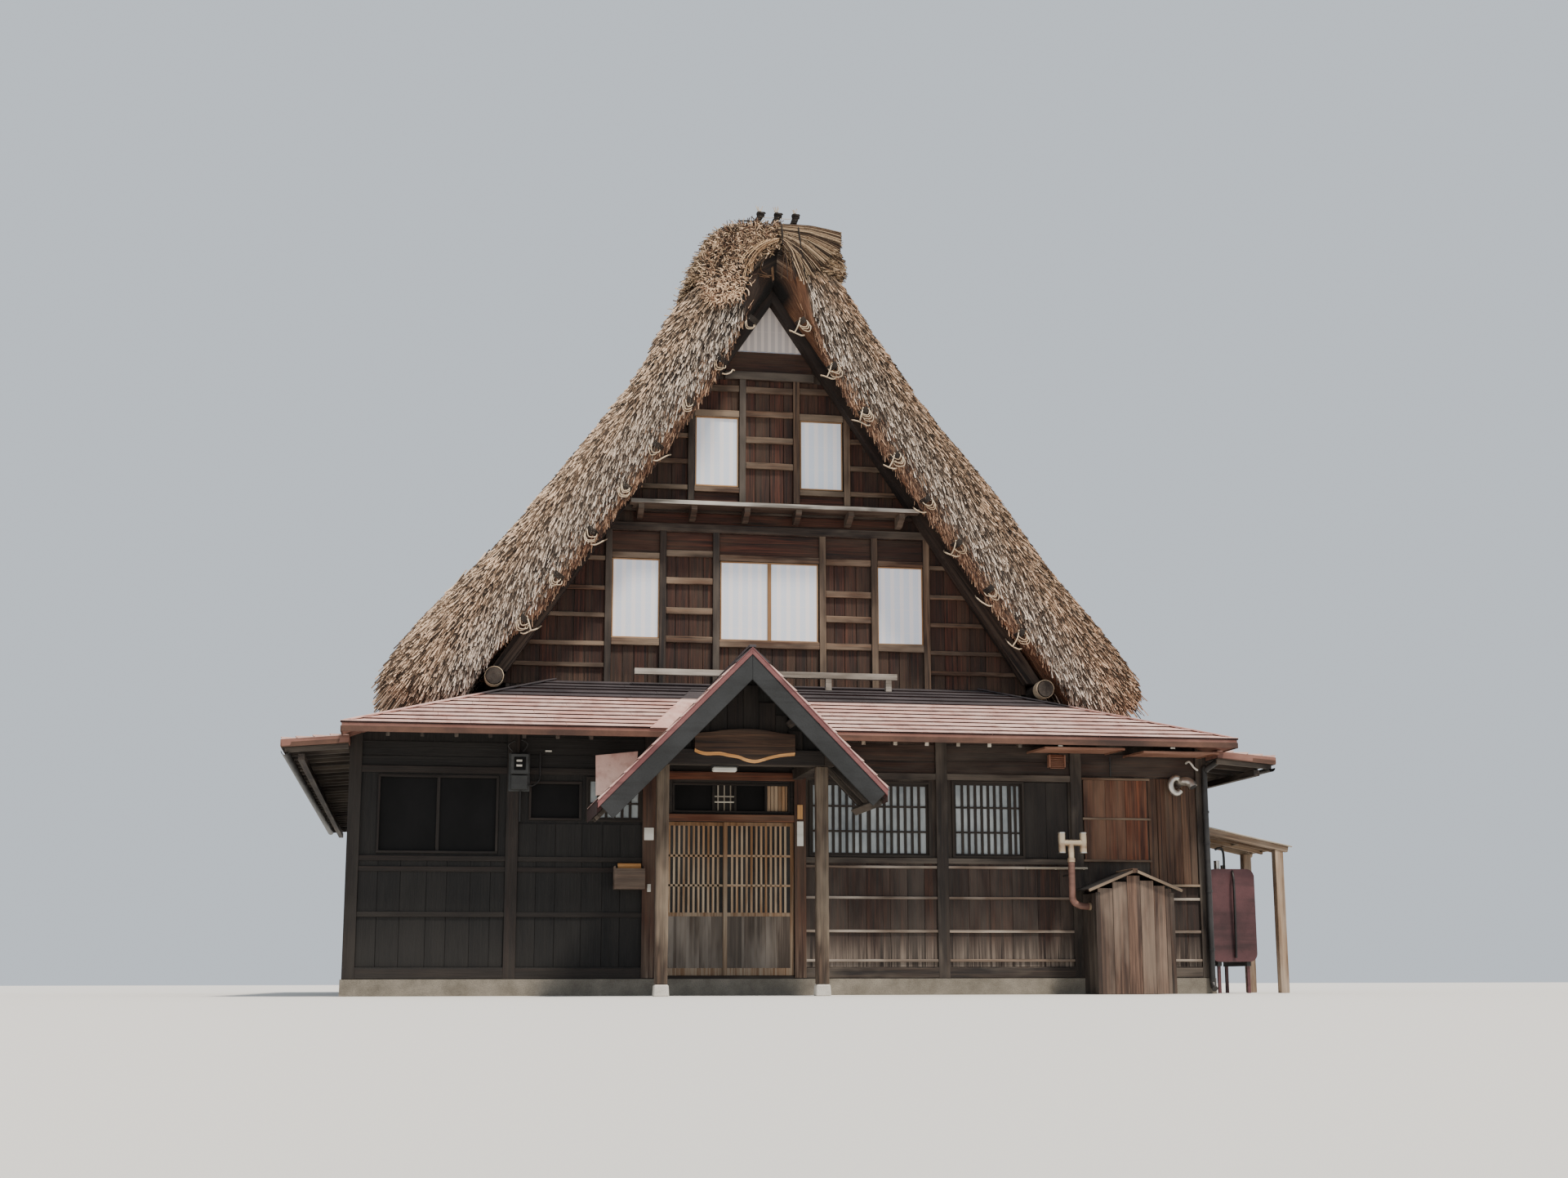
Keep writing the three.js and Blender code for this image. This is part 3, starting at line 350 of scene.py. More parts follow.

# %% [markdown]
# ## Straw, metal, paper, glass and stone
# These finishes have no grain. Straw gets its colour from a number that each strand carries. The
# roof metal is old paint: pink where the sun has bleached it, brown where it runs with dirt, and
# dark above a set height, a painted shadow. The paper shows the bars behind it as faint stripes
# and glows faintly, a painted light. The glass is frosted, so it is pale and soft.

# %% Straw
def straw(name, colours, warm=None):
    """warm tints the straw on the outer side of a slope, which the sun has kept dry."""
    finish = Finish(name)
    dark, mid, light = palette(colours)
    tone = finish.carried("tone")
    blotch, fine = finish.spots(0.9, 3), finish.spots(38, 3)
    colour = finish.ramp(tone * 0.9 + fine * 0.35 - 0.15, (0.24, dark), (0.50, mid), (0.78, light))
    colour = finish.mix(blotch.clamped(0.35, 0.7) * 0.25, colour, mid)
    if warm:
        outer = finish.axis("Z", "fall").clamped(0.15, 0.75)
        colour = finish.mix(outer * 0.8, colour, warm, "MULTIPLY")
    return finish.done(colour, 0.85, fine, 0.004)


thatch_straw = straw("thatch_straw", "17110e 857668 f8ebdc", rgb("ffe6cb"))
brown_straw = straw("brown_straw", "24140e 644431 b8967a")
cap_straw = straw("cap_straw", "1f1511 705843 dcc2a0")
curled_straw = straw("curled_straw", "1e130e 8a6850 f6d5b0")
golden_straw = straw("golden_straw", "2a1b13 8e6c4d e6c69e")


def thatch_bed(name, colours):
    """The mass of the thatch under its loose strands; the vector "fall" runs down the slope."""
    finish = Finish(name)
    dark, mid, light = palette(colours)
    strands = finish.noise(finish.coordinates("fall", stretch=(3.0, 60, 60)), 1, 6, 0.65, 0.5)
    patches = finish.noise(finish.coordinates("fall", stretch=(0.5, 1.2, 1.2)), 1, 4)
    colour = finish.ramp(strands, (0.30, dark), (0.52, mid), (0.72, light))
    colour = finish.mix(patches.clamped(0.38, 0.68) * 0.5, colour, dark)
    under = finish.carried("under")
    reddish = finish.ramp(strands, *zip((0.30, 0.55, 0.75), palette("3a231a 80583f b98f68")))
    colour = finish.mix(under * 0.9, colour, reddish)
    # Painted shade: where the bed carries "deep", it turns near black.
    colour = finish.mix(finish.carried("deep"), colour, rgb("060403"))
    return finish.done(colour, 0.92, strands, 0.03)


bed_straw = thatch_bed("thatch_bed", "1a1410 5a4c41 a3937f")
cap_bed = thatch_bed("cap_bed", "2a201a 705c48 b59b7a")


# %% Roof metal, steel and paint
def painted_metal(name, colours, rough=0.5, metal=0.15, streaks="x", upper=None):
    """The last argument holds a height, a height a little above it, and the colour of a painted shadow
    from there on.
    """
    finish = Finish(name)
    base, worn, dirt = palette(colours)
    patches = finish.spots(1.7, 5, 0.6)
    runs = finish.noise(finish.coordinates("object", stretch=stretched(0.8, 9, streaks)), 1, 4)
    grit = finish.spots(45, 3)
    colour = finish.mix(patches.clamped(0.35, 0.7), base, worn)
    colour = finish.mix(runs.clamped(0.50, 0.75) * 0.7, colour, dirt)
    if upper:
        # Painted shadow: above the given height the metal turns dark bluish grey.
        shaded = finish.mix(patches.clamped(0.35, 0.7), upper[2], rgb("2b282b"))
        colour = finish.mix(finish.axis("Z").clamped(*upper[:2]), colour, shaded)
    return finish.done(colour, rough + grit * 0.25, grit, 0.002, metal)


# Painted shadow: the roof metal is dark above 3.8 m, the shade over the top courses of the eave roofs.
roof_metal = painted_metal("roof_metal", "c79d92 e0c3b9 a2766b", streaks="y",
                           upper=(3.78, 3.82, rgb("4a4447")))
edge_metal = painted_metal("roof_edge", "66393a 875a58 422727")
pent_edge = painted_metal("pent_edge", "70493f 90695c 412a24")
# Painted shade: a dark finish for the folds under each course and the underside of the porch roof.
fold_shade_paint = painted_metal("under_folds", "2a1614 3a201d 170c0b", 0.8, 0.0)
barge_paint = painted_metal("barge_boards", "1c1e1f 2f3133 100f0f", 0.6)
fascia_paint = painted_metal("fascia", "3f2920 69493a 211611", 0.6)
hood_paint = painted_metal("hoods", "7a5240 9c7460 4d3329", 0.55)
gutter_paint = painted_metal("gutters", "1a1919 323131 0c0c0c", 0.4)
flue_metal = painted_metal("flue_metal", "b9a386 d8c8ae 7a5138", 0.35, 0.6)
flue_brown = painted_metal("flue_brown", "6b4a42 8d6c60 3d2822", 0.45, 0.3)
shelter_sheet = painted_metal("shelter_sheet", "a59a8b cdc5b8 6f6355", 0.6, 0.0)
bright_steel = painted_metal("bright_steel", "b9b6ae d6d3cc 7b7268", 0.22, 0.9)
tank_finish = painted_metal("tank_paint", "3d2225 613c3f 1e1112", 0.4, 0.1)
white_plate = painted_metal("white_plates", "dcdad3 c6c3ba 8d897f", 0.5, 0.0)
meter_paint = painted_metal("meter_paint", "303232 484a4b 1c1d1d", 0.5, 0.1)
rope_fibre = painted_metal("rope_fibre", "b09c82 dccbb0 6a5a48", 0.8, 0.0)
dark_rope = painted_metal("dark_rope", "1d1815 37302a 0e0b0a", 0.85, 0.0)


# %% Paper
SHEET_HEIGHT = 0.33


def paper(name, colours, pitch, painted_glow):
    """Stripes at the given pitch, where the bars behind the paper show through."""
    finish = Finish(name)
    sheet, bar = palette(colours)
    across = (finish.axis("X") * (1 / pitch)).math("FRACT")
    band = (across - 0.5).math("ABSOLUTE").clamped(0.24, 0.34)
    level = ((finish.axis("Z") * (1 / SHEET_HEIGHT)).math("FRACT") - 0.5).math("ABSOLUTE")
    seam = level.clamped(0.475, 0.495)
    clouds, pulp = finish.spots(2.2, 4), finish.spots(60, 4)
    colour = finish.mix(band * 0.8, sheet, bar)
    colour = finish.mix(seam * 0.35, colour, bar)
    colour = finish.mix(clouds * 0.25, colour, rgb("c9c6cf"))
    # Painted light: the paper glows faintly in its own colour, though no lamp is behind it.
    finish.feed(finish.shader.inputs["Emission Color"], colour)
    return finish.done(colour, 0.85, pulp, 0.0006, fixed={"Emission Strength": painted_glow})


screen_paper = paper("screen_paper", "cdd6e2 e6e1e0", 0.135, 0.22)
# Painted shade: the peak's paper is a greyer, darker copy of the screen paper.
peak_paper = paper("peak_paper", "a79f9a cbc0b6", 0.1, 0.12)


# %% Glass and stone
def glass(name, colours, rough, shine=0.6):
    finish = Finish(name)
    clouds = finish.noise(finish.coordinates("object", stretch=(1, 1, 0.6)), 2.6, 5, 0.6)
    smears = finish.noise(finish.coordinates("object", stretch=(9, 9, 1)), 1, 3)
    colour = finish.mix(clouds.clamped(0.3, 0.7), *palette(colours))
    return finish.done(colour, smears * 0.12 + rough, smears, 0.001,
                       fixed={"Specular IOR Level": shine})


frosted_glass = glass("frosted_glass", "626a6e a9afb0", 0.30)
dim_glass = glass("dim_glass", "050505 100f10", 0.5, 0.15)
door_glass = glass("door_glass", "14110f 3a3836", 0.45, 0.2)


def stone(name, colours):
    finish = Finish(name)
    base, pale, dirt = palette(colours)
    lumps, grit = finish.spots(3.0, 6, 0.65), finish.spots(90, 4)
    colour = finish.mix(lumps.clamped(0.3, 0.7), base, pale)
    colour = finish.mix(grit.clamped(0.45, 0.7) * 0.4, colour, dirt)
    return finish.done(colour, 0.9, lumps + grit * 0.4, 0.012)


plinth_stone = stone("plinth_stone", "625c52 8b8478 403c36")
shoe_stone = stone("shoe_stone", "b6b2aa d4d0c8 837f76")
print(len(bpy.data.materials), "finishes")

# %% [markdown]
# ## Boards by the hundred
# Almost everything on this house is a board, a batten or a bar. Each could be a cube of its own,
# but then the grain would lie at random and the list of objects would never end. Instead a point
# is written down for each board, with its size, its turn and a tone. One Geometry Nodes tree puts
# a board on every point, keeps the place inside the board as the vector "grain", and bends each
# one a little, because no old board is straight.

# %% Tools for Geometry Nodes
def new_tree(name, *inputs):
    """An empty tree with a geometry going in and out, and a graph to build it with."""
    tree = bpy.data.node_groups.new(name, "GeometryNodeTree")
    tree.interface.new_socket("Geometry", in_out="INPUT", socket_type="NodeSocketGeometry")
    tree.interface.new_socket("Geometry", in_out="OUTPUT", socket_type="NodeSocketGeometry")
    for label, kind in inputs:
        tree.interface.new_socket(label, in_out="INPUT", socket_type="NodeSocket" + kind)
    graph = Graph(tree)
    start = tree.nodes.new("NodeGroupInput")
    values = {socket.name: Value(graph, socket) for socket in start.outputs if socket.name}
    return graph, values


def close_tree(graph, geometry, material):
    """Real geometry, in its material: an export drops instances."""
    real = graph.node("GeometryNodeRealizeInstances", [geometry])
    dressed = graph.node("GeometryNodeSetMaterial", {"Geometry": real, "Material": material})
    graph.node("NodeGroupOutput", [dressed])
    return graph.tree


def store(graph, geometry, name, value, domain="POINT", kind="FLOAT_VECTOR"):
    return graph.node("GeometryNodeStoreNamedAttribute", {
        "Geometry": geometry, "Name": name, "Value": value,
    }, data_type=kind, domain=domain)


def read(graph, name, kind="FLOAT_VECTOR"):
    return graph.node("GeometryNodeInputNamedAttribute", {"Name": name}, data_type=kind)


def vector(graph, operation, a, b):
    return graph.node("ShaderNodeVectorMath", [a, b], operation=operation)


def scaled(graph, value, factor):
    return graph.node("ShaderNodeVectorMath", {0: value, "Scale": factor}, operation="SCALE")


# %% What a tree grows
def grown(source, tree, **values):
    """What the tree makes from an object, as a plain mesh. The object itself is used up."""
    modifier = source.modifiers.new("tree", "NODES")
    modifier.node_group = tree
    for item in tree.interface.items_tree:
        if item.in_out == "INPUT" and item.name in values:
            modifier[item.identifier] = values[item.name]
    source.update_tag()
    depsgraph = bpy.context.evaluated_depsgraph_get()
    mesh = bpy.data.meshes.new_from_object(
        source.evaluated_get(depsgraph), preserve_all_data_layers=True, depsgraph=depsgraph)
    bpy.data.objects.remove(source)
    return mesh


# %% The board tree
def board_tree():
    graph, given = new_tree(
        "boards", ("Lengths", "Int"), ("Bend", "Float"), ("Material", "Material"))
    cube = graph.node("GeometryNodeMeshCube", {
        "Size": (1, 1, 1), "Vertices X": given["Lengths"], "Vertices Y": 2, "Vertices Z": 2,
    })
    cube = store(graph, cube, "local", graph.node("GeometryNodeInputPosition"))
    placed = graph.node("GeometryNodeInstanceOnPoints", {
        "Points": given["Geometry"], "Instance": cube, "Scale": read(graph, "size"),
        "Rotation": graph.node("FunctionNodeEulerToRotation", [read(graph, "turn")]),
    })
    real = graph.node("GeometryNodeRealizeInstances", [placed])
    inside = vector(graph, "MULTIPLY", read(graph, "local"), read(graph, "size"))
    shift = scaled(graph, (3.1, 7.7, 12.3), read(graph, "tone", "FLOAT"))
    real = store(graph, real, "grain", vector(graph, "ADD", inside, shift))
    wave = graph.node("ShaderNodeTexNoise", {
        "Vector": vector(graph, "MULTIPLY", read(graph, "grain"), (1.6, 0.2, 0.2)),
        "Detail": 1.0,
    }, output=1)
    wave = vector(graph, "SUBTRACT", wave, (0.5, 0.5, 0.5))
    bent = graph.node("GeometryNodeSetPosition", {
        "Geometry": real, "Offset": scaled(graph, wave, given["Bend"]),
    })
    return close_tree(graph, bent, given["Material"])


BOARD_TREE = board_tree()
print("board tree:", len(BOARD_TREE.nodes), "nodes")


# %% What a mesh carries, and the turn of a board
def carry(mesh, name, values, kind="FLOAT"):
    """Gives each point of a mesh a number or a vector that finishes and trees can read."""
    layer = mesh.attributes.new(name, kind, "POINT")
    field = "vector" if kind == "FLOAT_VECTOR" else "value"
    layer.data.foreach_set(field, np.array(values, float).ravel())


def turn_of(ahead_axis, up_axis):
    """The turn that lays a board's length along ahead_axis and its thickness along up_axis."""
    x = Vector(ahead_axis).normalized()
    z = Vector(up_axis)
    z = (z - x * z.dot(x)).normalized()
    y = z.cross(x)
    return Matrix((x, y, z)).transposed()


# %% A pile of boards that become one piece
class Boards:
    """Boards in a wall's own frame: x along the wall, y inwards, z up."""

    def __init__(self, seed, place=None):
        self.dice = random.Random(seed)
        self.place = place or Matrix.Identity(4)
        self.rows = []

    def lay(self, centre, size, turn, tone=None):
        turned = self.place.to_3x3() @ turn
        tone = self.dice.random() if tone is None else tone
        self.rows.append((self.place @ Vector(centre), size, turned.to_euler(), tone))

    def add(self, low, high, along=None, tone=None):
        """A board that fills a box, with its grain along an axis or its longest side."""
        spans = [b - a for a, b in zip(low, high)]
        first = spans.index(max(spans)) if along is None else "xyz".index(along)
        order = [first, (first + 1) % 3, (first + 2) % 3]
        turn = Matrix([[1.0 if order[c] == r else 0.0 for c in range(3)] for r in range(3)])
        centre = [(a + b) / 2 for a, b in zip(low, high)]
        self.lay(centre, [spans[i] for i in order], turn, tone)

    def beam(self, start, end, width, depth, up=(0, 0, 1)):
        """A beam from start to end; depth is its measure along up."""
        start, end = Vector(start), Vector(end)
        turn = turn_of(end - start, up)
        self.lay((start + end) / 2, ((end - start).length, width, depth), turn)

    def upright(self, x0, x1, z0, z1, face, width=0.22, thick=0.012, gap=0.003, top=None):
        """Boards side by side against face, of uneven width. top(x) may lower their heads."""
        x = x0
        while x < x1 - 0.01:
            wide = width * self.dice.uniform(0.8, 1.25)
            if x1 - x - wide < width * 0.4:
                wide = x1 - x
            head = z1
            if top:
                head = min(z1, top(x), top(x + wide))
            if head > z0 + 0.05:
                proud = thick + self.dice.uniform(0, 0.004)
                self.add((x + gap / 2, face - proud, z0), (x + wide - gap / 2, face, head), "z")
            x += wide

    def level(self, x0, x1, z0, z1, face, width=0.2, thick=0.012):
        """Planks one above the other against face."""
        count = max(1, round((z1 - z0) / width))
        step = (z1 - z0) / count
        for i in range(count):
            proud = thick + self.dice.uniform(0, 0.005)
            low = z0 + i * step
            self.add((x0, face - proud, low + 0.002), (x1, face, low + step - 0.002), "x")

    def mesh(self, material, bend, lengths):
        points = plain_mesh("points", [row[0] for row in self.rows], [])
        carry(points.data, "size", [row[1] for row in self.rows], "FLOAT_VECTOR")
        carry(points.data, "turn", [tuple(row[2]) for row in self.rows], "FLOAT_VECTOR")
        carry(points.data, "tone", [row[3] for row in self.rows])
        return grown(points, BOARD_TREE, Lengths=lengths, Bend=bend, Material=material)


# %% Putting a piece into the house
FLAT = {"bevel": 0, "bend": 0, "lengths": 2}


def install(name, mesh, slot, body="house", replaces=(), bevel=0.0, smooth=False):
    """Gives a finished mesh its name and the body that it moves with; the slot is not used."""
    mesh.name = name
    made = bpy.data.objects.new(name, mesh)
    bpy.context.scene.collection.objects.link(made)
    if bevel:
        rounding = made.modifiers.new("edges", "BEVEL")
        rounding.width = bevel
        rounding.segments = 1
        rounding.limit_method = "ANGLE"
        rounding.angle_limit = math.radians(50)
    if smooth:
        mesh.polygons.foreach_set("use_smooth", [True] * len(mesh.polygons))
    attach(made, body)
    if replaces:
        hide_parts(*replaces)
    print(f"{name}: {len(mesh.polygons)} faces")
    return made


def install_loose(name, made, slot, *materials, **look):
    """Installs the mesh of an object that was only needed to make it."""
    mesh = made.data
    bpy.data.objects.remove(made)
    for material in materials:
        mesh.materials.append(material)
    return install(name, mesh, slot, **look)


def build(name, boards, material, slot, body="house", bevel=0.003, bend=0.002, lengths=5,
          replaces=()):
    install(name, boards.mesh(material, bend, lengths), slot, body, replaces, bevel)


def build_boxes(name, seed, material, slot, *rows, **look):
    """A small piece; each row is a board's grain axis and the box that it fills."""
    pile = Boards(seed)
    for along, *box in rows:
        pile.add(box[:3], box[3:], along)
    build(name, pile, material, slot, **look)


# %% [markdown]
# ## Frames for the four sides
# A wall is easiest to think about from outside, with x running along it. A matrix for each side
# turns such a wall into its place, so the same lines dress the front, the back and both sides.

# %% Measures that the solids share
HALF_WIDTH = 5.55
DEPTH = 12.74
BOARD_FACE = 0.040
SILL_TOP = 0.345
PLINTH_TOP = 0.20
HEAD = 3.40
SIDE_HEAD = 3.12

SIDES = {
    "front": Matrix.Identity(4),
    "back": Matrix.Translation((0, DEPTH, 0)) @ Matrix.Rotation(math.pi, 4, "Z"),
    "right": Matrix.Translation((HALF_WIDTH, 0, 0)) @ Matrix.Rotation(math.pi / 2, 4, "Z"),
    "left": Matrix.Translation((-HALF_WIDTH, DEPTH, 0)) @ Matrix.Rotation(-math.pi / 2, 4, "Z"),
}
FRONT_POSTS = (-5.475, -3.55, -1.83, 0.08, 1.94, 3.75, 5.475)
BACK_POSTS = (-5.475, -3.55, -1.83, 0.0, 1.83, 3.55, 5.475)
SIDE_POSTS = tuple(1.82 * i for i in range(1, 7))
POST = 0.15
HALF_POST = POST / 2
print(len(SIDES), "sides")

# %% [markdown]
# ## Ground storey
# Between its posts the wall is upright boards held by thin level battens, whose top edges catch
# the light. The boards stand in the recess that the solid leaves between its posts, and each post
# gets a thin facing of its own so that its grain runs unbroken from the sill to the eave.

# %% Boards and battens of one wall
BATTEN_LEVELS = (1.60, 1.21, 0.79, 0.425)


def dress_wall(side, posts, bays, head, seed):
    """bays holds (x0, x1, z0, z1, kind) for every field of boards."""
    boards = Boards(seed, SIDES[side])
    facing = Boards(seed + 1, SIDES[side])
    battens = Boards(seed + 2, SIDES[side])
    for x in posts:
        top = head - 0.12 if abs(x) > 5.4 and side in ("front", "back") else head
        facing.add((x - HALF_POST, -0.006, PLINTH_TOP + 0.005), (x + HALF_POST, 0.001, top), "z")
    for x0, x1, z0, z1, kind in bays:
        if kind == "level":
            boards.level(x0, x1, z0, z1, BOARD_FACE, 0.22)
            continue
        boards.upright(x0, x1, z0, z1, BOARD_FACE, 0.27)
        for level in BATTEN_LEVELS:
            if z0 <= level - 0.02 and level + 0.02 <= z1 and kind == "battened":
                battens.add((x0, 0.004, level - 0.016), (x1, 0.028, level + 0.016), "x")
    return boards, facing, battens


# %% Front wall, right of the door
BOARDS_TOP = 1.66
bay_d, bay_e, _, bay_a, bay_b, bay_c = (
    (a + HALF_POST, b - HALF_POST) for a, b in zip(FRONT_POSTS, FRONT_POSTS[1:]))
right_bays = [
    (*bay_a, SILL_TOP, BOARDS_TOP, "battened"), (*bay_a, 2.74, HEAD, "level"),
    (*bay_b, SILL_TOP, BOARDS_TOP, "battened"), (*bay_b, 2.76, HEAD, "level"),
    (*bay_c, SILL_TOP, 1.36, "battened"), (*bay_c, 2.80, 3.10, "level"),
]
boards, facing, battens = dress_wall("front", FRONT_POSTS[3:], right_bays, HEAD, 11)
facing.add((bay_a[0], -0.004, 0.21), (bay_c[1], 0.001, 0.33), "x")
facing.add((bay_a[0], 0.0, 1.645), (bay_b[1], 0.042, 1.715), "x")
facing.add((bay_a[0], 0.0, 2.72), (bay_b[1], 0.042, 2.80), "x")
build("front_boards_right", boards, wall_wood, "dark_boards")
build("front_facings_right", facing, frame_wood, "dark_boards")
build("front_battens_right", battens, wall_batten_wood, "aged_timber", bend=0.006)

# %% The reddish panel and the brown boards at the corner
panel = Boards(17, SIDES["front"])
panel.upright(3.85, 4.72, 1.71, 2.75, BOARD_FACE - 0.014, 0.29, 0.012)
build("red_panel", panel, red_wood, "red_boards")
corner_boards = Boards(18, SIDES["front"])
corner_boards.upright(4.86, 5.395, 1.40, 2.78, BOARD_FACE - 0.008, 0.12, 0.012)
corner_boards.upright(4.74, 4.86, 1.40, 2.78, BOARD_FACE, 0.12, 0.01)
build("corner_boards", corner_boards, corner_wood, "red_boards")
trim = Boards(19, SIDES["front"])
for level in (1.70, 2.245, 2.765):
    trim.add((3.83, -0.006, level - 0.014), (4.76, 0.02, level + 0.014), "x")
trim.add((4.80, -0.02, 1.37), (5.40, 0.03, 1.40), "x")
build("panel_battens", trim, batten_wood, "aged_timber", bend=0.006)

# %% Front wall, left of the door
left_bays = [
    (*bay_d, SILL_TOP, BOARDS_TOP, "plain"), (*bay_d, 2.74, 3.10, "level"),
    (*bay_e, SILL_TOP, 2.10, "plain"), (*bay_e, 2.74, HEAD, "level"),
]
boards, facing, battens = dress_wall("front", FRONT_POSTS[:3], left_bays, HEAD, 21)
for x0, x1 in (bay_d, bay_e):
    for level in (0.98, 1.53, BOARDS_TOP):
        facing.add((x0, 0.006, level - 0.03), (x1, 0.03, level + 0.03), "x")
    facing.add((x0, -0.004, 0.21), (x1, 0.001, 0.33), "x")
    facing.add((x0, 0.0, 2.71), (x1, 0.03, 2.79), "x")
build("front_boards_left", boards, shaded_left_wood, "dark_boards")
build("front_facings_left", facing, shade_wood, "dark_boards")

# %% Side walls and back wall
SIDE_WINDOWS = ((3.80, 5.30), (7.45, 8.95))
BACK_WINDOWS = ((-3.30, -2.00), (2.00, 3.30))
WINDOW_LOW, WINDOW_HIGH = 1.72, 2.69


def around_windows(x0, x1, windows, head):
    """The fields of one bay: below, above and beside the windows that fall inside it."""
    inside = [w for w in windows if w[1] > x0 and w[0] < x1]
    if not inside:
        return [(x0, x1, SILL_TOP, head, "battened")]
    fields = [(x0, x1, SILL_TOP, BOARDS_TOP, "battened"), (x0, x1, 2.76, head, "level")]
    edges = [x0] + [e for w in inside for e in w] + [x1]
    for a, b in zip(edges[::2], edges[1::2]):
        if b - a > 0.05:
            fields.append((a, b, BOARDS_TOP, 2.76, "plain"))
    return fields


for side, wall_posts, windows, head in (
    ("right", SIDE_POSTS, SIDE_WINDOWS, SIDE_HEAD),
    ("left", SIDE_POSTS, SIDE_WINDOWS, SIDE_HEAD),
    ("back", BACK_POSTS, BACK_WINDOWS, 3.08),
):
    ends = [0.12, *wall_posts, DEPTH - 0.12] if side != "back" else list(wall_posts)
    fields = []
    for a, b in zip(ends, ends[1:]):
        x0 = a + (HALF_POST if a in wall_posts else 0)
        x1 = b - (HALF_POST if b in wall_posts else 0)
        fields += around_windows(x0, x1, windows, head)
    seed = 30 + 5 * len(side)
    boards, facing, battens = dress_wall(side, wall_posts, fields, head, seed)
    span = (0.13, DEPTH - 0.13) if side != "back" else (-5.5, 5.5)
    facing.add((span[0], -0.004, 0.21), (span[1], 0.001, 0.33), "x")
    build(f"{side}_boards", boards, wall_wood, "dark_boards")
    build(f"{side}_facings", facing, frame_wood, "dark_boards")
    build(f"{side}_battens", battens, batten_wood, "aged_timber", bend=0.006)

# %% [markdown]
# ## Windows with bars
# A lattice window is three layers: a frame in the hole, a frosted pane, and upright bars in front
# of it that are crossed by a few level ones. Each window has its own spacing, so the function below
# takes it and centres the bars in each sash.

# %% One lattice window
def frame_round(pile, x0, x1, z0, z1, y0, y1, wide):
    """Four members round an opening, on its inside."""
    pile.add((x0, y0, z0), (x1, y1, z0 + wide), "x")
    pile.add((x0, y0, z1 - wide), (x1, y1, z1), "x")
    pile.add((x0, y0, z0 + wide), (x0 + wide, y1, z1 - wide), "z")
    pile.add((x1 - wide, y0, z0 + wide), (x1, y1, z1 - wide), "z")


def bars_across(pile, x0, x1, z0, z1, y0, y1, bar, pitch):
    count = max(1, round((x1 - x0) / pitch) - 1)
    step = (x1 - x0) / (count + 1)
    for i in range(1, count + 1):
        x = x0 + i * step
        pile.add((x - bar / 2, y0, z0), (x + bar / 2, y1, z1), "z")


def lattice_window(pile, panes, x0, x1, z0, z1, sashes, pitch=0.088, cross=(2.05, 2.37)):
    """sashes are the places where one sash ends and the next begins."""
    frame_round(pile, x0 + 0.002, x1 - 0.002, z0 + 0.002, z1 - 0.002, 0.02, 0.115, 0.028)
    edges = [x0 + 0.03, *sashes, x1 - 0.03]
    for n, (a, b) in enumerate(zip(edges, edges[1:])):
        depth = 0.045 + 0.022 * (n % 2)
        low, high = z0 + 0.03, z1 - 0.03
        frame_round(pile, a + 0.001, b - 0.001, low, high, depth, depth + 0.02, 0.026)
        bars_across(pile, a + 0.026, b - 0.026, low + 0.026, high - 0.026,
                    depth + 0.001, depth + 0.016, 0.034, pitch)
        for level in cross:
            if low + 0.05 < level < high - 0.05:
                pile.add((a + 0.026, depth - 0.002, level - 0.012),
                         (b - 0.026, depth + 0.018, level + 0.012), "x")
        panes.add((a + 0.02, depth + 0.018, low + 0.02), (b - 0.02, depth + 0.023, high - 0.02), "z")


# %% The front windows
lattice = Boards(61, SIDES["front"])
panes = Boards(62, SIDES["front"])
lattice_window(lattice, panes, 0.20, 1.80, 1.72, 2.69, (0.99,))
lattice_window(lattice, panes, 2.08, 3.05, 1.72, 2.715, (2.86,), 0.092)
lattice_window(lattice, panes, -2.64, -1.925, 2.13, 2.69, (), 0.098, (2.36,))
build("front_lattice", lattice, lattice_wood, "dark_boards", bevel=0, bend=0.001, lengths=2)
build("front_panes", panes, frosted_glass, "window_glass", **FLAT)

dark_parts = Boards(63, SIDES["front"])
dark_panes = Boards(64, SIDES["front"])
dark_parts.upright(3.05, 3.645, 1.725, 2.71, 0.062, 0.3, 0.012)
frame_round(dark_parts, -3.348, -2.692, 2.142, 2.628, 0.02, 0.115, 0.03)
frame_round(dark_parts, -5.198, -3.722, 1.722, 2.688, 0.02, 0.115, 0.03)
dark_parts.add((-4.48, 0.05, 1.75), (-4.44, 0.08, 2.66), "z")
dark_panes.add((-5.17, 0.085, 1.75), (-3.75, 0.09, 2.66), "z")
dark_panes.add((-3.32, 0.085, 2.17), (-2.72, 0.09, 2.60), "z")
build("front_shutters", dark_parts, shade_wood, "dark_boards", bend=0.001)
build("front_dim_panes", dark_panes, dim_glass, "window_glass", **FLAT)

# %% Windows of the sides and the back
for side, windows in (("right", SIDE_WINDOWS), ("left", SIDE_WINDOWS), ("back", BACK_WINDOWS)):
    lattice = Boards(70 + len(side), SIDES[side])
    panes = Boards(80 + len(side), SIDES[side])
    for x0, x1 in windows:
        lattice_window(lattice, panes, x0, x1, WINDOW_LOW, WINDOW_HIGH, ((x0 + x1) / 2,), 0.09)
        lattice.add((x0 - 0.06, 0.0, 2.69), (x1 + 0.06, 0.04, 2.76), "x")
        lattice.add((x0 - 0.06, 0.0, 1.65), (x1 + 0.06, 0.045, 1.72), "x")
    build(f"{side}_lattice", lattice, lattice_wood, "dark_boards", bevel=0, bend=0.001, lengths=2)
    build(f"{side}_panes", panes, frosted_glass, "window_glass", **FLAT)

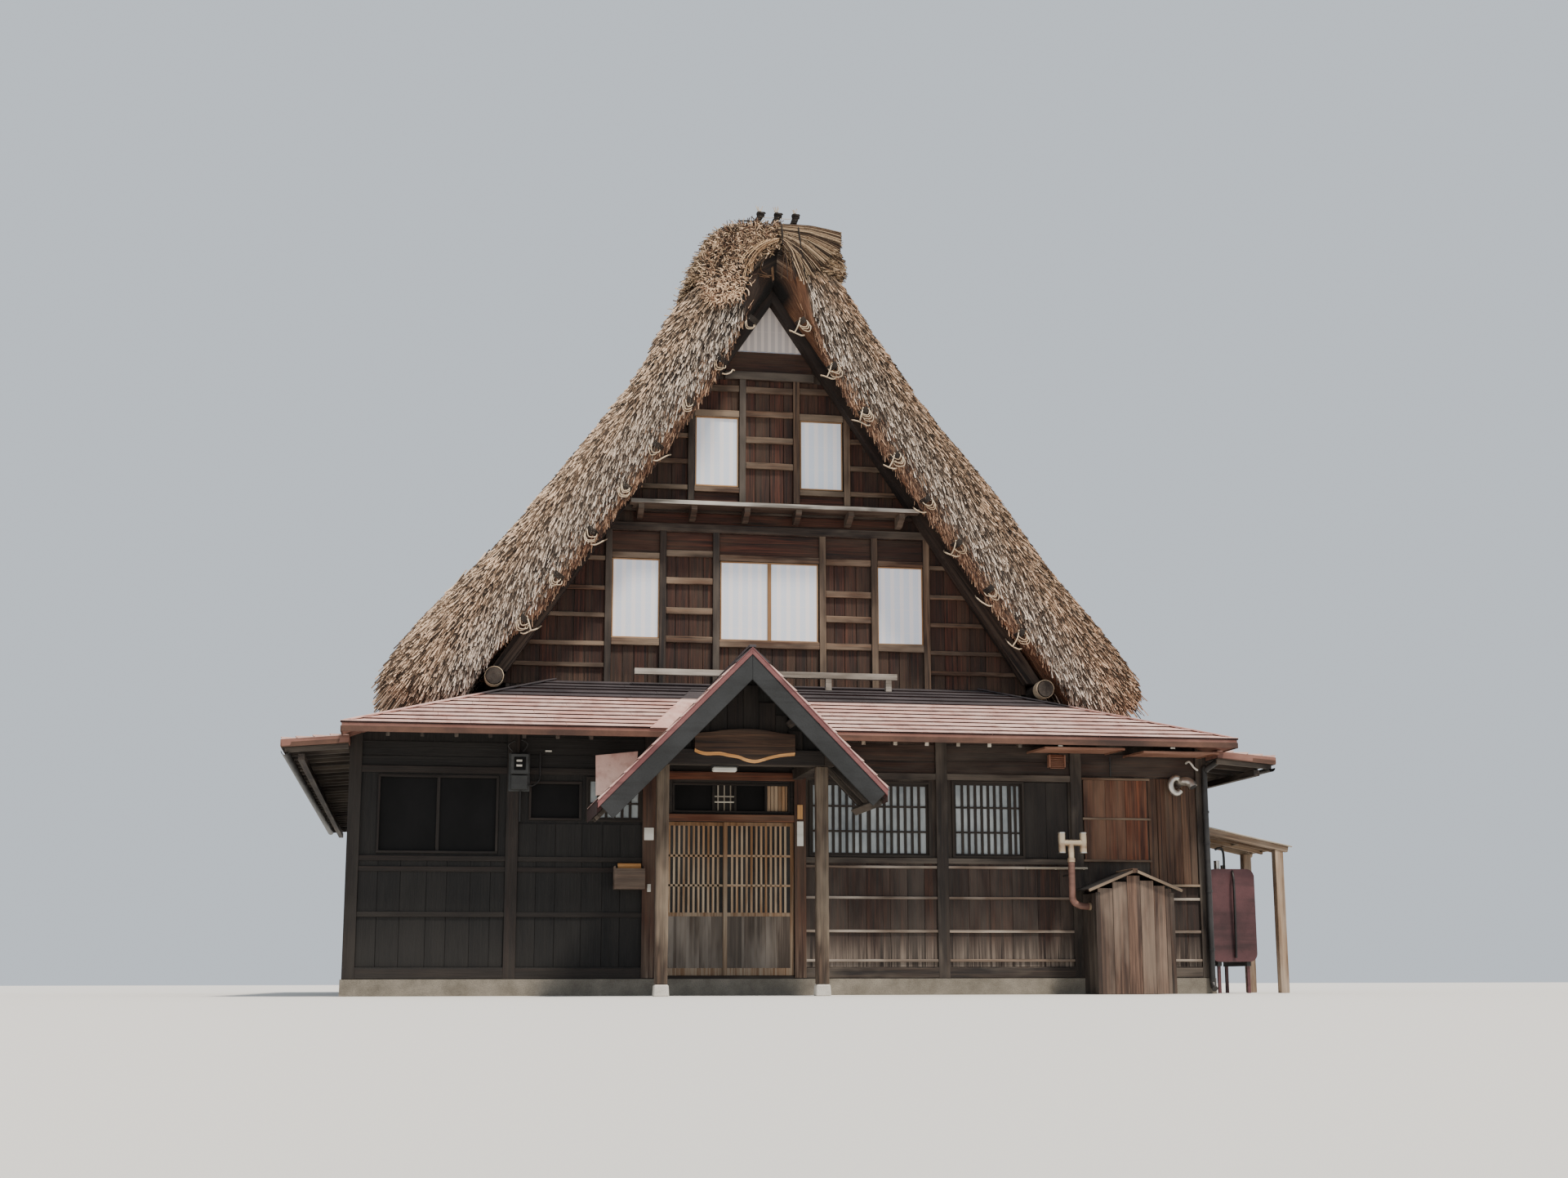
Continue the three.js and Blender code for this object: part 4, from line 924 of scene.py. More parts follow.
# %% Over the door: dark glass, a small lattice in the middle and a wooden panel
over = Boards(91)
over_wood = Boards(92)
over_panes = Boards(93)
slats = Boards(90)
frame_round(over, -1.548, -0.042, 2.262, 2.638, 0.03, 0.118, 0.026)
over_panes.add((-1.53, 0.088, 2.28), (-0.06, 0.093, 2.62), "x")
over.add((-1.01, 0.076, 2.288), (-0.76, 0.084, 2.612), "z")
for x in (-0.965, -0.885, -0.805):
    slats.add((x - 0.007, 0.062, 2.288), (x + 0.007, 0.076, 2.612), "z")
for z in (2.40, 2.47):
    slats.add((-1.01, 0.056, z - 0.008), (-0.76, 0.070, z + 0.008), "x")
for x in (-1.025, -0.745, -0.35):
    over.add((x - 0.015, 0.05, 2.288), (x + 0.015, 0.088, 2.612), "z")
over_wood.upright(-0.335, -0.068, 2.288, 2.612, 0.080, 0.045, 0.012, 0.006)
over.level(-1.75, -1.552, 2.243, 3.40, 0.04, 0.24)
over.level(-0.038, 0.0, 2.243, 3.40, 0.04, 0.24)
over.level(-1.55, -0.04, 2.644, 3.40, 0.04, 0.22)
build("over_door_slats", slats, pale_wood, "aged_timber", **FLAT)
build("over_door_frame", over, shade_wood, "dark_boards", bend=0.001)
build("over_door_panel", over_wood, door_golden, "door_wood", bend=0)
build("over_door_panes", over_panes, dim_glass, "window_glass", **FLAT)

build_boxes("lintel_facing", 94, red_wood, "dark_boards",
            ("x", -1.754, -0.012, 2.151, 0.004, 0.0, 2.239),
            ("x", -1.755, -0.03, 2.673, 0.005, 0.03, 2.773))
build_boxes("door_jambs", 95, jamb_wood, "dark_boards",
            ("z", -1.93, -0.022, 0.21, -1.762, -0.006, 2.72),
            ("z", 0.006, -0.022, 0.21, 0.152, -0.006, 2.72))

# %% [markdown]
# ## The sliding doors
# Each leaf has a golden lattice over glass above and boards below, grey where rain splashes them.
# The lattice lies inside the recess that the solid leaf leaves, so a leaf can slide past its
# neighbour. Every part of a leaf rides on that leaf's own body.

# %% Fill both leaves
LEAVES = {"door_left": (-1.749, 0.063), "door_right": (-0.895, 0.022)}
LEAF_WIDE, LEAF_THICK, STILE = 0.894, 0.033, 0.045
LATTICE_LOW, LATTICE_HIGH = 1.016, 2.098
for number, (leaf, (left, front)) in enumerate(LEAVES.items()):
    bars = Boards(100 + number)
    lower = Boards(110 + number)
    leaf_panes = Boards(120 + number)
    x0, x1 = left + STILE, left + LEAF_WIDE - STILE
    for near, far in ((front + 0.001, front + 0.009),
                      (front + LEAF_THICK - 0.009, front + LEAF_THICK - 0.001)):
        bars_across(bars, x0, x1, LATTICE_LOW, LATTICE_HIGH, near, far, 0.027, 0.064)
        for level in (1.352, 1.722):
            bars.add((x0, near, level - 0.013), (x1, far, level + 0.013), "x")
    leaf_panes.add((x0, front + 0.0095, LATTICE_LOW), (x1, front + 0.0108, LATTICE_HIGH), "z")
    leaf_panes.add((x0, front + 0.0222, LATTICE_LOW), (x1, front + 0.0235, LATTICE_HIGH), "z")
    lower.upright(x0, x1, 0.333, 0.968, front + 0.0054, 0.16, 0.002, 0.002)
    for i in (1, 2, 3):
        x = x0 + (x1 - x0) * i / 4
        lower.add((x - 0.017, front + 0.0002, 0.333), (x + 0.017, front + 0.005, 0.968), "z")
    build(f"{leaf}_lattice", bars, door_golden, "door_wood", leaf, **FLAT)
    build(f"{leaf}_boards", lower, door_grey, "door_wood", leaf, **FLAT)
    build(f"{leaf}_panes", leaf_panes, door_glass, "window_glass", leaf, **FLAT)

# %% [markdown]
# ## The gables
# A gable is a grid. Posts stand under the rafters, thin level battens run between them over
# upright boards, and planks close the strips above the windows. The wall is written once, seen
# from outside, and laid on the front and on the back.

# %% The gable's measures
THATCH_SLOPE = math.tan(THATCH_ANGLE)
THATCH_APEX = 9.8
GABLE_BOARD_FACE = 1.86
LOWER_POSTS = (-2.24, -1.49, -0.75, 0.75, 1.49, 2.24)
UPPER_POSTS = (-1.11, -0.385, 0.385, 1.11)
HALF_GABLE_POST = 0.045
LOWER_STOREY, UPPER_STOREY = (4.12, 6.28), (6.74, 8.52)
GABLE_WINDOWS = (
    (-2.19, -1.535, 4.78, 5.89), (-0.69, 0.69, 4.78, 5.89), (1.535, 2.19, 4.78, 5.89),
    (-1.05, -0.44, 6.96, 7.96), (0.44, 1.05, 6.96, 7.96),
)


def under_thatch(x):
    return THATCH_APEX - THATCH_SLOPE * abs(x) - 0.03


def batten_row(pile, x0, x1, levels, high=0.09):
    for level in levels:
        if under_thatch(max(abs(x0), abs(x1))) < level:
            reach = (THATCH_APEX - level - 0.06) / THATCH_SLOPE
            x0, x1 = max(x0, -reach), min(x1, reach)
        if x1 - x0 > 0.1:
            lift = pile.dice.uniform(-0.012, 0.012)
            pile.add((x0, 1.808, level + lift), (x1, 1.85, level + lift + high), "x")


print("the thatch falls", round(THATCH_SLOPE, 3), "m for each metre outward")


# %% The gable's ledge, posts and beams
def ledge_lip(side, seed):
    lip = Boards(seed + 5, SIDES[side])
    lip.add((-1.98, 1.438, 6.594), (2.065, 1.4485, 6.647), "x", 0.4)
    build(f"gable_{side}_ledge_lip", lip, bleached_sunlit_lip_wood, "aged_timber", bend=0.001)


def gable_frame(side, seed):
    posts, lit_posts = Boards(seed + 1, SIDES[side]), Boards(seed + 3, SIDES[side])
    for xs, low, high in ((LOWER_POSTS, 4.1, 6.29), (UPPER_POSTS, 6.74, 8.52)):
        for x in xs:
            top = min(high, under_thatch(abs(x) + HALF_GABLE_POST) - 0.05)
            pile = lit_posts if x > 0 else posts
            pile.add((x - HALF_GABLE_POST, 1.792, low), (x + HALF_GABLE_POST, 1.801, top), "z")
    for reach, low, high in ((2.30, 6.29, 6.40), (2.06, 6.56, 6.74), (0.64, 8.522, 8.64)):
        posts.add((-reach, 1.788, low), (reach, 1.801, high), "x")
    build(f"gable_{side}_facings", posts, frame_wood, "red_boards", bevel=0.006, bend=0.006)
    build(f"gable_{side}_lit_posts", lit_posts, lit_wood, "red_boards", bevel=0.006, bend=0.006)


# %% The gable's boards and battens
def both_ways(a, b):
    """The stretch from a to b left of the middle and right of it."""
    return ((-1, -b, -a), (1, a, b))


def dress_gable(side, seed):
    boards, battens = Boards(seed, SIDES[side]), Boards(seed + 2, SIDES[side])
    face = GABLE_BOARD_FACE
    low, high = LOWER_STOREY

    def round_window(x0, x1, head):
        boards.upright(x0, x1, low, 4.70, face, 0.16, gap=0.009)
        boards.level(x0, x1, head, high, face - 0.004, 0.3)
        battens.add((x0, 1.80, 4.68), (x1, 1.85, 4.78), "x")
        battens.add((x0, 1.806, 5.895), (x1, 1.85, head + 0.005), "x")

    for outer, inner, window in zip(
            both_ways(2.285, 3.95), both_ways(0.795, 1.445), both_ways(1.535, 2.195)):
        sign, x0, x1 = outer
        boards.upright(x0, x1, low, high, face, 0.19, gap=0.009, top=under_thatch)
        batten_row(battens, x0, x1, (4.36, 4.66, 5.06, 5.44, 5.86), 0.06)
        x0, x1 = inner[1:]
        boards.upright(x0, x1, low, 5.95, face, 0.16, gap=0.009)
        boards.level(x0, x1, 5.97, high, face - 0.004, 0.3)
        levels = (4.68, 5.08, 5.44, 5.89) if sign > 0 else (4.72, 5.14, 5.56, 5.94)
        batten_row(battens, x0, x1, levels)
        round_window(*window[1:], 5.97)
    round_window(-0.705, 0.705, 5.98)
    boards.level(-1.9, 1.9, 6.40, 6.56, face, 0.2)

    low, high = UPPER_STOREY
    boards.upright(-0.34, 0.34, low, high, face, 0.17, gap=0.009)
    batten_row(battens, -0.34, 0.34, (7.24, 7.60, 7.99, 8.33))
    for outer, window in zip(both_ways(1.155, 2.0), both_ways(0.43, 1.065)):
        boards.upright(*outer[1:], low, 8.2, face, 0.19, gap=0.009, top=under_thatch)
        batten_row(battens, *outer[1:], (6.88, 7.27, 7.64), 0.07)
        x0, x1 = window[1:]
        boards.upright(x0, x1, 8.05, high, face, 0.16, top=under_thatch)
        boards.level(x0, x1, low, 6.88, face, 0.2)
        batten_row(battens, x0, x1, (8.34,))
        battens.add((x0, 1.80, 6.87), (x1, 1.85, 6.95), "x")
        battens.add((x0, 1.806, 7.965), (x1, 1.85, 8.06), "x")
    boards.level(-0.62, 0.62, 8.645, 8.94, face - 0.02, 0.3)
    build(f"gable_{side}_boards", boards, gable_wood, "red_boards")
    gable_frame(side, seed)
    build(f"gable_{side}_battens", battens, batten_wood, "aged_timber", bevel=0.006, bend=0.010)


for side, seed in (("front", 140), ("back", 150)):
    ledge_lip(side, seed)
    dress_gable(side, seed)

# %% [markdown]
# ## Paper screens
# Each window is filled by a sliding screen: a thin frame of pale new wood with one sheet of paper
# stretched over it. The paper stands almost flush with the wall, so it takes the full daylight; it
# also glows faintly, a painted light. The paper of the peak's triangle is a darker copy, painted
# shade.

# %% Screens and the peak's triangle
PEAK = ((-0.500, 8.947), (0.500, 8.947), (0.0, 9.713))


def dress_screens(side, seed):
    place = SIDES[side]
    frames, sheets = Boards(seed, place), Boards(seed + 1, place)
    for x0, x1, z0, z1 in GABLE_WINDOWS:
        frame_round(frames, x0 + 0.001, x1 - 0.001, z0 + 0.001, z1 - 0.001, 1.826, 1.858, 0.017)
        sheets.add((x0 + 0.012, 1.838, z0 + 0.012), (x1 - 0.012, 1.843, z1 - 0.012), "z")
    frames.add((-0.026, 1.822, 4.79), (0.026, 1.858, 5.88), "z")
    build(f"screens_{side}_frames", frames, screen_wood, "shoji_paper", bevel=0, bend=0.001)
    triangle = [place @ Vector((x, y, z)) for y in (1.808, 1.813) for x, z in PEAK]
    peak = plain_mesh(
        "peak", triangle, [(0, 1, 2), (5, 4, 3), (0, 3, 4, 1), (1, 4, 5, 2), (2, 5, 3, 0)])
    install_loose(f"screens_{side}_peak", peak, "shoji_paper", peak_paper)
    install(f"screens_{side}_paper", sheets.mesh(screen_paper, 0, 2), "shoji_paper")


dress_screens("front", 160)
dress_screens("back", 164)

# %% [markdown]
# ## Thatch
# A thatched slope is a mass of reed nearly a metre thick, rounded over at the gable end. It is
# made in two layers. The bed is one closed mesh with the solid's own outline, made uneven by
# noise. The strands are many thousand short stalks that a Geometry Nodes tree spreads over the
# bed. Each lies along the vector "lay" that the bed carries: straight down the slope on the
# outside, and steeper towards the inner edge of the gable end, where the reed hangs free.

# %% The measures of one slope, the same as the solid's
THATCH_DEPTH = 0.97
THATCH_FRONT = 1.15
THATCH_TOP = 10.30
FOOT = ((6.95, 0.0), (7.25, 0.03), (7.52, 0.22), (7.69, 0.50), (7.73, 0.78), (7.64, 0.97), (7.44, 1.06))
FACES = {
    -1: ((7.0, 1.06), (6.4, 1.01), (5.8, 0.95), (5.1, 0.88), (4.4, 0.815), (3.7, 0.765), (3.0, 0.765),
         (2.4, 0.79), (1.8, 0.80), (1.4, 0.885), (1.1, 0.93), (0.8, 0.88), (0.464, 0.86)),
    1: ((7.0, 1.06), (6.4, 1.03), (5.8, 1.0), (5.1, 0.96), (4.4, 0.93), (3.7, 0.885), (3.0, 0.85),
        (2.4, 0.82), (1.7, 0.81), (1.4, 0.81), (1.1, 0.82), (0.8, 0.84), (0.464, 0.86)),
}
VERGE_ROUND, VERGE_LENGTH = 0.30, 0.40
INNER_SHARE = 0.2
ARCH = ((0.04, 1.4), (0.25, 1.03), (0.6, 0.4), (1.2, -0.3), (2.0, -0.6), (3.0, -0.65), (5.9, -0.6),
        (6.35, 0.0))
STRAND_EDGE = ((0.0, 0.45), (0.36, 0.30), (0.55, 0.21), (0.85, 0.10), (1.43, 0.02))
SHADED_EDGE = ((0.0, 0.45), (0.40, 0.30), (0.65, 0.10), (0.9, 0.02), (1.43, 0.0))
SUNK = 0.02


# %% The outline of one slope
def smooth_through(points, steps):
    """A curve through the points, with the given number of steps between each two."""
    ends = [points[0], *points, points[-1]]
    curve = []
    for a, b, c, d in zip(ends, ends[1:], ends[2:], ends[3:]):
        for s in range(steps):
            t = s / steps
            curve.append(tuple(0.5 * (2 * q + (r - p) * t + (2 * p - 5 * q + 4 * r - w) * t * t
                                      + (3 * q - p - 3 * r + w) * t ** 3)
                               for p, q, r, w in zip(a, b, c, d)))
    return curve + [tuple(points[-1])]


def slope_outline(face, step=0.22):
    """Points (u, v, kind) round one slope: u down it, v out from its inner face."""
    inner = [(u, 0.0, "inner") for u in (0.04, 0.12, *np.arange(0.25, FOOT[0][0], step))]
    foot = [(u, v, "foot") for u, v in smooth_through(FOOT, 3)]
    face_us, face_vs = zip(*reversed(face))
    outer = [(u, np.interp(u, face_us, face_vs), "outer") for u in np.arange(7.2, face_us[0], -step)]
    return inner + foot + outer + [(*face[-1], "outer")]


print(len(slope_outline(FACES[1])), "points round a slope")


# %% Where a point of the outline lies
def verge_inset(distance):
    """How far the outline is drawn in, at a distance from the gable end."""
    share = min(1.0, max(0.0, distance / VERGE_LENGTH))
    return VERGE_ROUND * (1 - math.sqrt(1 - (1 - share) ** 2))


def swell(u, y):
    """The gentle swells and dips of the thatch's face, the same as the solid's."""
    share = min(1.0, max(0.0, (u - 1.3) / 0.7))
    return 0.028 * share * math.sin(2 * math.pi * (y / 1.61 + u / 2.9))


def place_uv(side, u, v, kind, inset, y):
    """A point of the outline at a length y, drawn in by an inset and sunk for the strands."""
    if kind == "inner":
        across = inset * np.interp(u, *zip(*ARCH))
    else:
        v = v - SUNK if kind == "foot" else v - SUNK + swell(u, y)
        u = u - inset if kind == "foot" else u - inset * u / 7.0
        inner = inset * INNER_SHARE
        across = inner + max(0.0, v) * (THATCH_DEPTH - inner - inset) / THATCH_DEPTH
    x = u * math.cos(THATCH_ANGLE) + across * math.sin(THATCH_ANGLE)
    z = THATCH_APEX - u * math.sin(THATCH_ANGLE) + across * math.cos(THATCH_ANGLE)
    return side * x, z


# %% Lofting rings into a closed bed
def loft(name, rings):
    """A closed mesh over rings that lie one behind the other; both ends are closed."""
    count = len(rings[0])
    vertices = [p for ring in rings for p in ring]
    faces = []
    for r in range(len(rings) - 1):
        for i in range(count):
            j = (i + 1) % count
            a, b = r * count, (r + 1) * count
            faces.append((a + i, a + j, b + j, b + i))
    faces.append(tuple(range(count - 1, -1, -1)))
    last = (len(rings) - 1) * count
    faces.append(tuple(range(last, last + count)))
    return plain_mesh(name, vertices, faces)


def face_out(mesh, lofted=True):
    """Turns every face outwards; a loft's double points are merged and its ends divided."""
    work = bmesh.new()
    work.from_mesh(mesh)
    if lofted:
        bmesh.ops.remove_doubles(work, verts=work.verts, dist=1e-5)
    bmesh.ops.recalc_face_normals(work, faces=work.faces)
    if lofted:
        bmesh.ops.triangulate(work, faces=[f for f in work.faces if len(f.verts) > 4])
    work.to_mesh(mesh)
    work.free()
    mesh.update()


def roughen(mesh, amount, scale, still=lambda p: False):
    """Moves each vertex along its normal by smooth noise."""
    normals = [v.normal.copy() for v in mesh.vertices]
    for vertex, normal in zip(mesh.vertices, normals):
        if not still(vertex.co):
            vertex.co += normal * amount * noise.noise(vertex.co * scale)
    mesh.update()


# %% The straw tree
def straw_tree():
    graph, given = new_tree(
        "straw", ("Density", "Float"), ("Length", "Float"), ("Radius", "Float"),
        ("Lift", "Float"), ("Seed", "Int"), ("Material", "Material"))
    spread = graph.node("GeometryNodeDistributePointsOnFaces", {
        "Mesh": given["Geometry"], "Seed": given["Seed"],
        "Density": given["Density"] * read(graph, "cover", "FLOAT"),
    })
    normal = Value(graph, spread.socket.node.outputs["Normal"])

    def random_float(low, high, seed):
        return graph.node("FunctionNodeRandomValue", {2: low, 3: high, "Seed": seed}, output=1)

    strewn = graph.node("FunctionNodeRandomValue", {
        "Min": (-1, -1, -1), "Max": (1, 1, 1), "Seed": 3,
    }, data_type="FLOAT_VECTOR")
    spread = store(graph, spread, "outward", normal)
    lifted = scaled(graph, read(graph, "outward"), given["Lift"])
    aim = vector(graph, "ADD", read(graph, "lay"), lifted)
    aim = vector(graph, "ADD", aim, scaled(graph, strewn, read(graph, "loose", "FLOAT")))
    turn = graph.node("FunctionNodeAlignRotationToVector", {"Vector": aim}, axis="Z")
    stalk = graph.node("GeometryNodeMeshCylinder", {
        "Vertices": 3, "Radius": 1.0, "Depth": 1.0,
    })
    long = random_float(0.6, 1.4, 5) * given["Length"]
    thick = random_float(0.6, 1.3, 6) * given["Radius"]
    size = graph.node("ShaderNodeCombineXYZ", [thick, thick, long])
    placed = graph.node("GeometryNodeInstanceOnPoints", {
        "Points": spread, "Instance": stalk, "Rotation": turn, "Scale": size,
    })
    toned = store(graph, placed, "tone", random_float(0.0, 1.0, 7), "INSTANCE", "FLOAT")
    return close_tree(graph, toned, given["Material"])


STRAW_TREE = straw_tree()
print("straw tree:", len(STRAW_TREE.nodes), "nodes")


# %% Strewing straw over a bed
def strew(name, bed_mesh, keep, seed, material, slot, loose=0.12, **measures):
    """Strands over the part of a bed where keep(point, normal) is above zero."""
    base = bpy.data.objects.new("base", bed_mesh.copy())
    bpy.context.scene.collection.objects.link(base)
    cover = [keep(v.co, v.normal) for v in base.data.vertices]
    carry(base.data, "cover", cover)
    if "loose" not in base.data.attributes:
        carry(base.data, "loose", [loose] * len(cover))
    mesh = grown(base, STRAW_TREE, Seed=seed, Material=material, **measures)
    install(name, mesh, slot)


# %% The bed of one slope
END_STEPS = (0, 0.008, 0.03, 0.07, 0.12, 0.19, 0.28, 0.40)
END_PULLS = (0.9, 0.6, 0.35, 0.18, 0.08)


def slope_rings(side, outline):
    """Rings from front to back, and for each of their points the vector "fall"."""
    front = THATCH_FRONT + SUNK
    middle = list(np.arange(front + 0.6, DEPTH - front - 0.5, 0.23))
    ys = [front + s for s in END_STEPS] + middle + [DEPTH - front - s for s in reversed(END_STEPS)]
    stations = [(ys[0], p) for p in END_PULLS] + [(y, 0.0) for y in ys]
    stations += [(ys[-1], p) for p in reversed(END_PULLS)]
    marks = [(0, 0, "inner"), *outline, (0, THATCH_DEPTH, "outer")]
    rings, falls = [], []
    for y, pull in stations:
        inset = verge_inset(min(y, DEPTH - y) - front)
        ends = (THATCH_APEX + inset * ARCH[0][1], THATCH_TOP)
        edge = [place_uv(side, u, v, kind, inset, y) for u, v, kind in outline]
        edge = [(side * 0.0003, ends[0]), *edge, (side * 0.0003, ends[1])]
        ring = []
        for (x, z), (u, v, kind) in zip(edge, marks):
            u_mid = min(6.9, max(0.4, u))
            mid = place_uv(side, u_mid, 0.40, "foot", 0.0, y)
            ring.append((x + (mid[0] - x) * pull, y, z + (mid[1] - z) * pull))
            falls.append((u + (u_mid - u) * pull, y, v + (0.40 - v) * pull))
        rings.append(ring)
    return rings, falls


# %% What the bed carries: how straw lies, and where shade is painted
def slope_bed(side):
    rings, falls = slope_rings(side, slope_outline(FACES[side]))
    bed = loft("bed", rings)
    carry(bed.data, "fall", falls, "FLOAT_VECTOR")
    face_out(bed.data)
    slope = Vector((side * math.cos(THATCH_ANGLE), 0, -math.sin(THATCH_ANGLE)))
    lays, under, painted_shades = [], [], []
    for vertex in bed.data.vertices:
        u, y, v = bed.data.attributes["fall"].data[vertex.index].vector
        end = max(0.0, 1 - min(y - THATCH_FRONT, DEPTH - THATCH_FRONT - y) / 0.3)
        hang = end * (1 - v / THATCH_DEPTH) * 0.75
        lays.append((slope * (1 - hang) + Vector((0, 0, -1)) * hang).normalized())
        under.append(max(0.0, 1 - v / 0.16) if u > 0.0 else 0.0)
        y = vertex.co.y
        shown = -side if y > DEPTH / 2 else side
        y = min(y, DEPTH - y)
        # deep is painted shade: the bed turns near black in the hollow behind the gable's peak and, on the
        # slope that stands left when its gable is seen from outside, over a wider stretch of the inner
        # face.
        deep = min(1.0, max(0.0, (y - 1.20) / 0.12)) if v < 0.3 and u < 1.3 else 0.0
        if shown < 0:
            painted_shades.append(max(deep, 0.88 * min(1.0, max(0.0, (1.9 - u) / 0.5))) if v < 0.45 else 0.0)
        else:
            painted_shades.append(deep * min(1.0, max(0.0, (0.42 - u) / 0.12)))
    carry(bed.data, "lay", lays, "FLOAT_VECTOR")
    carry(bed.data, "under", under)
    carry(bed.data, "deep", painted_shades)
    roughen(bed.data, 0.022, 4.5, lambda p: abs(p.x) < 0.02)
    return bed


# %% Where the strands grow
def down_and_out(point):
    """How far down its slope a point lies, and how far out from the slope's inner face."""
    x, z = abs(point.x), point.z - THATCH_APEX
    cos, sin = math.cos(THATCH_ANGLE), math.sin(THATCH_ANGLE)
    return x * cos - z * sin, x * sin + z * cos


def on_verge(back):
    def keep(point, normal):
        u, v = down_and_out(point)
        shaded = (point.x < 0) != back
        if v < np.interp(u, *zip(*(SHADED_EDGE if shaded else STRAND_EDGE))):
            return 0.0
        facing = normal.y if back else -normal.y
        end = DEPTH - THATCH_FRONT - point.y if back else point.y - THATCH_FRONT
        if end > 0.9 or end < -0.2:
            return 0.0
        return max(0.0, min(1.0, facing * 1.6 + (0.55 if end < 0.45 and normal.z > -0.3 else 0)))
    return keep


def on_inner_edge(point, normal):
    u, v = down_and_out(point)
    end = min(point.y - THATCH_FRONT, DEPTH - THATCH_FRONT - point.y)
    if end > 0.12 or u < 0.5 or u > 6.5:
        return 0.0
    return 1.0 if v < 0.06 else 0.0


def on_slope(point, normal):
    end = min(point.y - THATCH_FRONT, DEPTH - THATCH_FRONT - point.y)
    if end < 0.3 or normal.z < -0.2 and abs(point.x) < 4.0:
        return 0.0
    return 1.0 if normal.z > 0.2 or point.z < 4.9 else 0.0


# %% Both slopes
for side, label in ((-1, "left"), (1, "right")):
    bed = slope_bed(side)
    strew(f"reed_{label}_inner", bed.data, on_inner_edge, 21 + side, brown_straw, "thatch", 0.3,
          Density=900, Length=0.15, Radius=0.0050, Lift=0.14)
    strew(f"reed_{label}_front", bed.data, on_verge(False), 31 + side, thatch_straw, "thatch", 0.17,
          Density=1500, Length=0.18, Radius=0.0058, Lift=0.18)
    strew(f"reed_{label}_back", bed.data, on_verge(True), 41 + side, thatch_straw, "thatch",
          Density=600, Length=0.24, Radius=0.0080, Lift=0.22)
    strew(f"reed_{label}_slope", bed.data, on_slope, 51 + side, thatch_straw, "thatch",
          Density=110, Length=0.42, Radius=0.0095, Lift=0.10)
    install_loose(f"thatch_bed_{label}", bed, "thatch", bed_straw,
                  replaces=(f"thatch_{label}",), smooth=True)

# %% [markdown]
# ## The ridge
# Along the ridge lies a last layer of long straw, bent over it and cut square along both sides.
# At the front it is loose and curls over the gable. Three dark knots hold it down there, with the
# ends of their ropes hanging.

# %% The outline of the ridge cap
CAP_FRONT = 1.12
CAP_OUTLINE = (
    (0.905, 9.962), (0.955, 10.20), (0.855, 10.42), (0.905, 10.55), (0.50, 10.59), (0.0, 10.64),
    (-0.34, 10.66), (-0.60, 10.62), (-0.72, 10.575), (-0.895, 10.475), (-1.0, 10.27), (-1.07, 10.17),
    (-1.125, 9.97), (-1.155, 9.77), (-0.985, 9.94), (0, THATCH_TOP + 0.0006))


def along(points, step):
    """Points along straight stretches, no further apart than the step."""
    made = []
    for a, b in zip(points, points[1:]):
        count = max(1, round(math.dist(a, b) / step))
        made += [tuple(p + (q - p) * i / count for p, q in zip(a, b)) for i in range(count)]
    return made


def cap_ring(y, inset):
    """The cap's outline at a length y, drawn in towards its end."""
    ring = []
    for x, z in along((CAP_OUTLINE[-1], *CAP_OUTLINE), 0.11):
        share = min(1.0, max(0.0, (z - 9.962) / 0.6))
        ring.append((x * (1 - inset / 1.83), y, z if z == CAP_OUTLINE[-1][1] else z - share * inset / 2))
    return ring


# %% The ridge cap
steps = (0, 0.01, *END_STEPS[2:])
length = DEPTH - 2 * CAP_FRONT
ys = [(s, s) for s in steps] + [(m, 0.4) for m in np.arange(0.7, length - 0.6, 0.3)]
ys += [(length - s, s) for s in reversed(steps)]
bed = loft("cap", [cap_ring(CAP_FRONT + y, verge_inset(s)) for y, s in ys])
face_out(bed.data)
falls, lays, looses = [], [], []
for vertex in bed.data.vertices:
    p, n = vertex.co, vertex.normal
    out = 1.0 if p.x > 0 else -1.0
    falls.append((p.x * 0.8 - p.z * 0.3 * out, p.y, p.z))
    if n.y < -0.6:
        fan = Vector((p.x, 0, p.z - 10.62))
        lays.append(fan.normalized())
        looses.append(0.25 if p.x > 0.05 else 0.9)
    elif abs(n.x) > 0.75:
        lays.append(Vector((out * 0.6, 0, -0.8)))
        looses.append(0.2 if p.y > 2.2 or p.x > 0 else 0.7)
    else:
        lays.append((Vector((out, 0, 0)) - n * n.x * out).normalized())
        looses.append(0.10 if p.y > 2.2 or p.x > 0 else 0.6)
carry(bed.data, "fall", falls, "FLOAT_VECTOR")
carry(bed.data, "lay", lays, "FLOAT_VECTOR")
carry(bed.data, "loose", looses)
for mark in ("under", "deep"):
    carry(bed.data, mark, [0.0] * len(falls))
roughen(bed.data, 0.03, 2.4)
for vertex in bed.data.vertices:
    vertex.co -= vertex.normal * 0.02
strew("cap_reed_front", bed.data, lambda p, n: 1.0 if p.y < 2.1 else 0.0, 61, cap_straw,
      "ridge_straw", Density=1500, Length=0.24, Radius=0.0062, Lift=0.12)
strew("cap_reed", bed.data, lambda p, n: 1.0 if p.y >= 2.0 and n.z > -0.5 else 0.0, 62, cap_straw,
      "ridge_straw", Density=300, Length=0.34, Radius=0.0075, Lift=0.06)
install_loose("cap_bed", bed, "ridge_straw", cap_bed, replaces=("ridge_cap",), smooth=True)

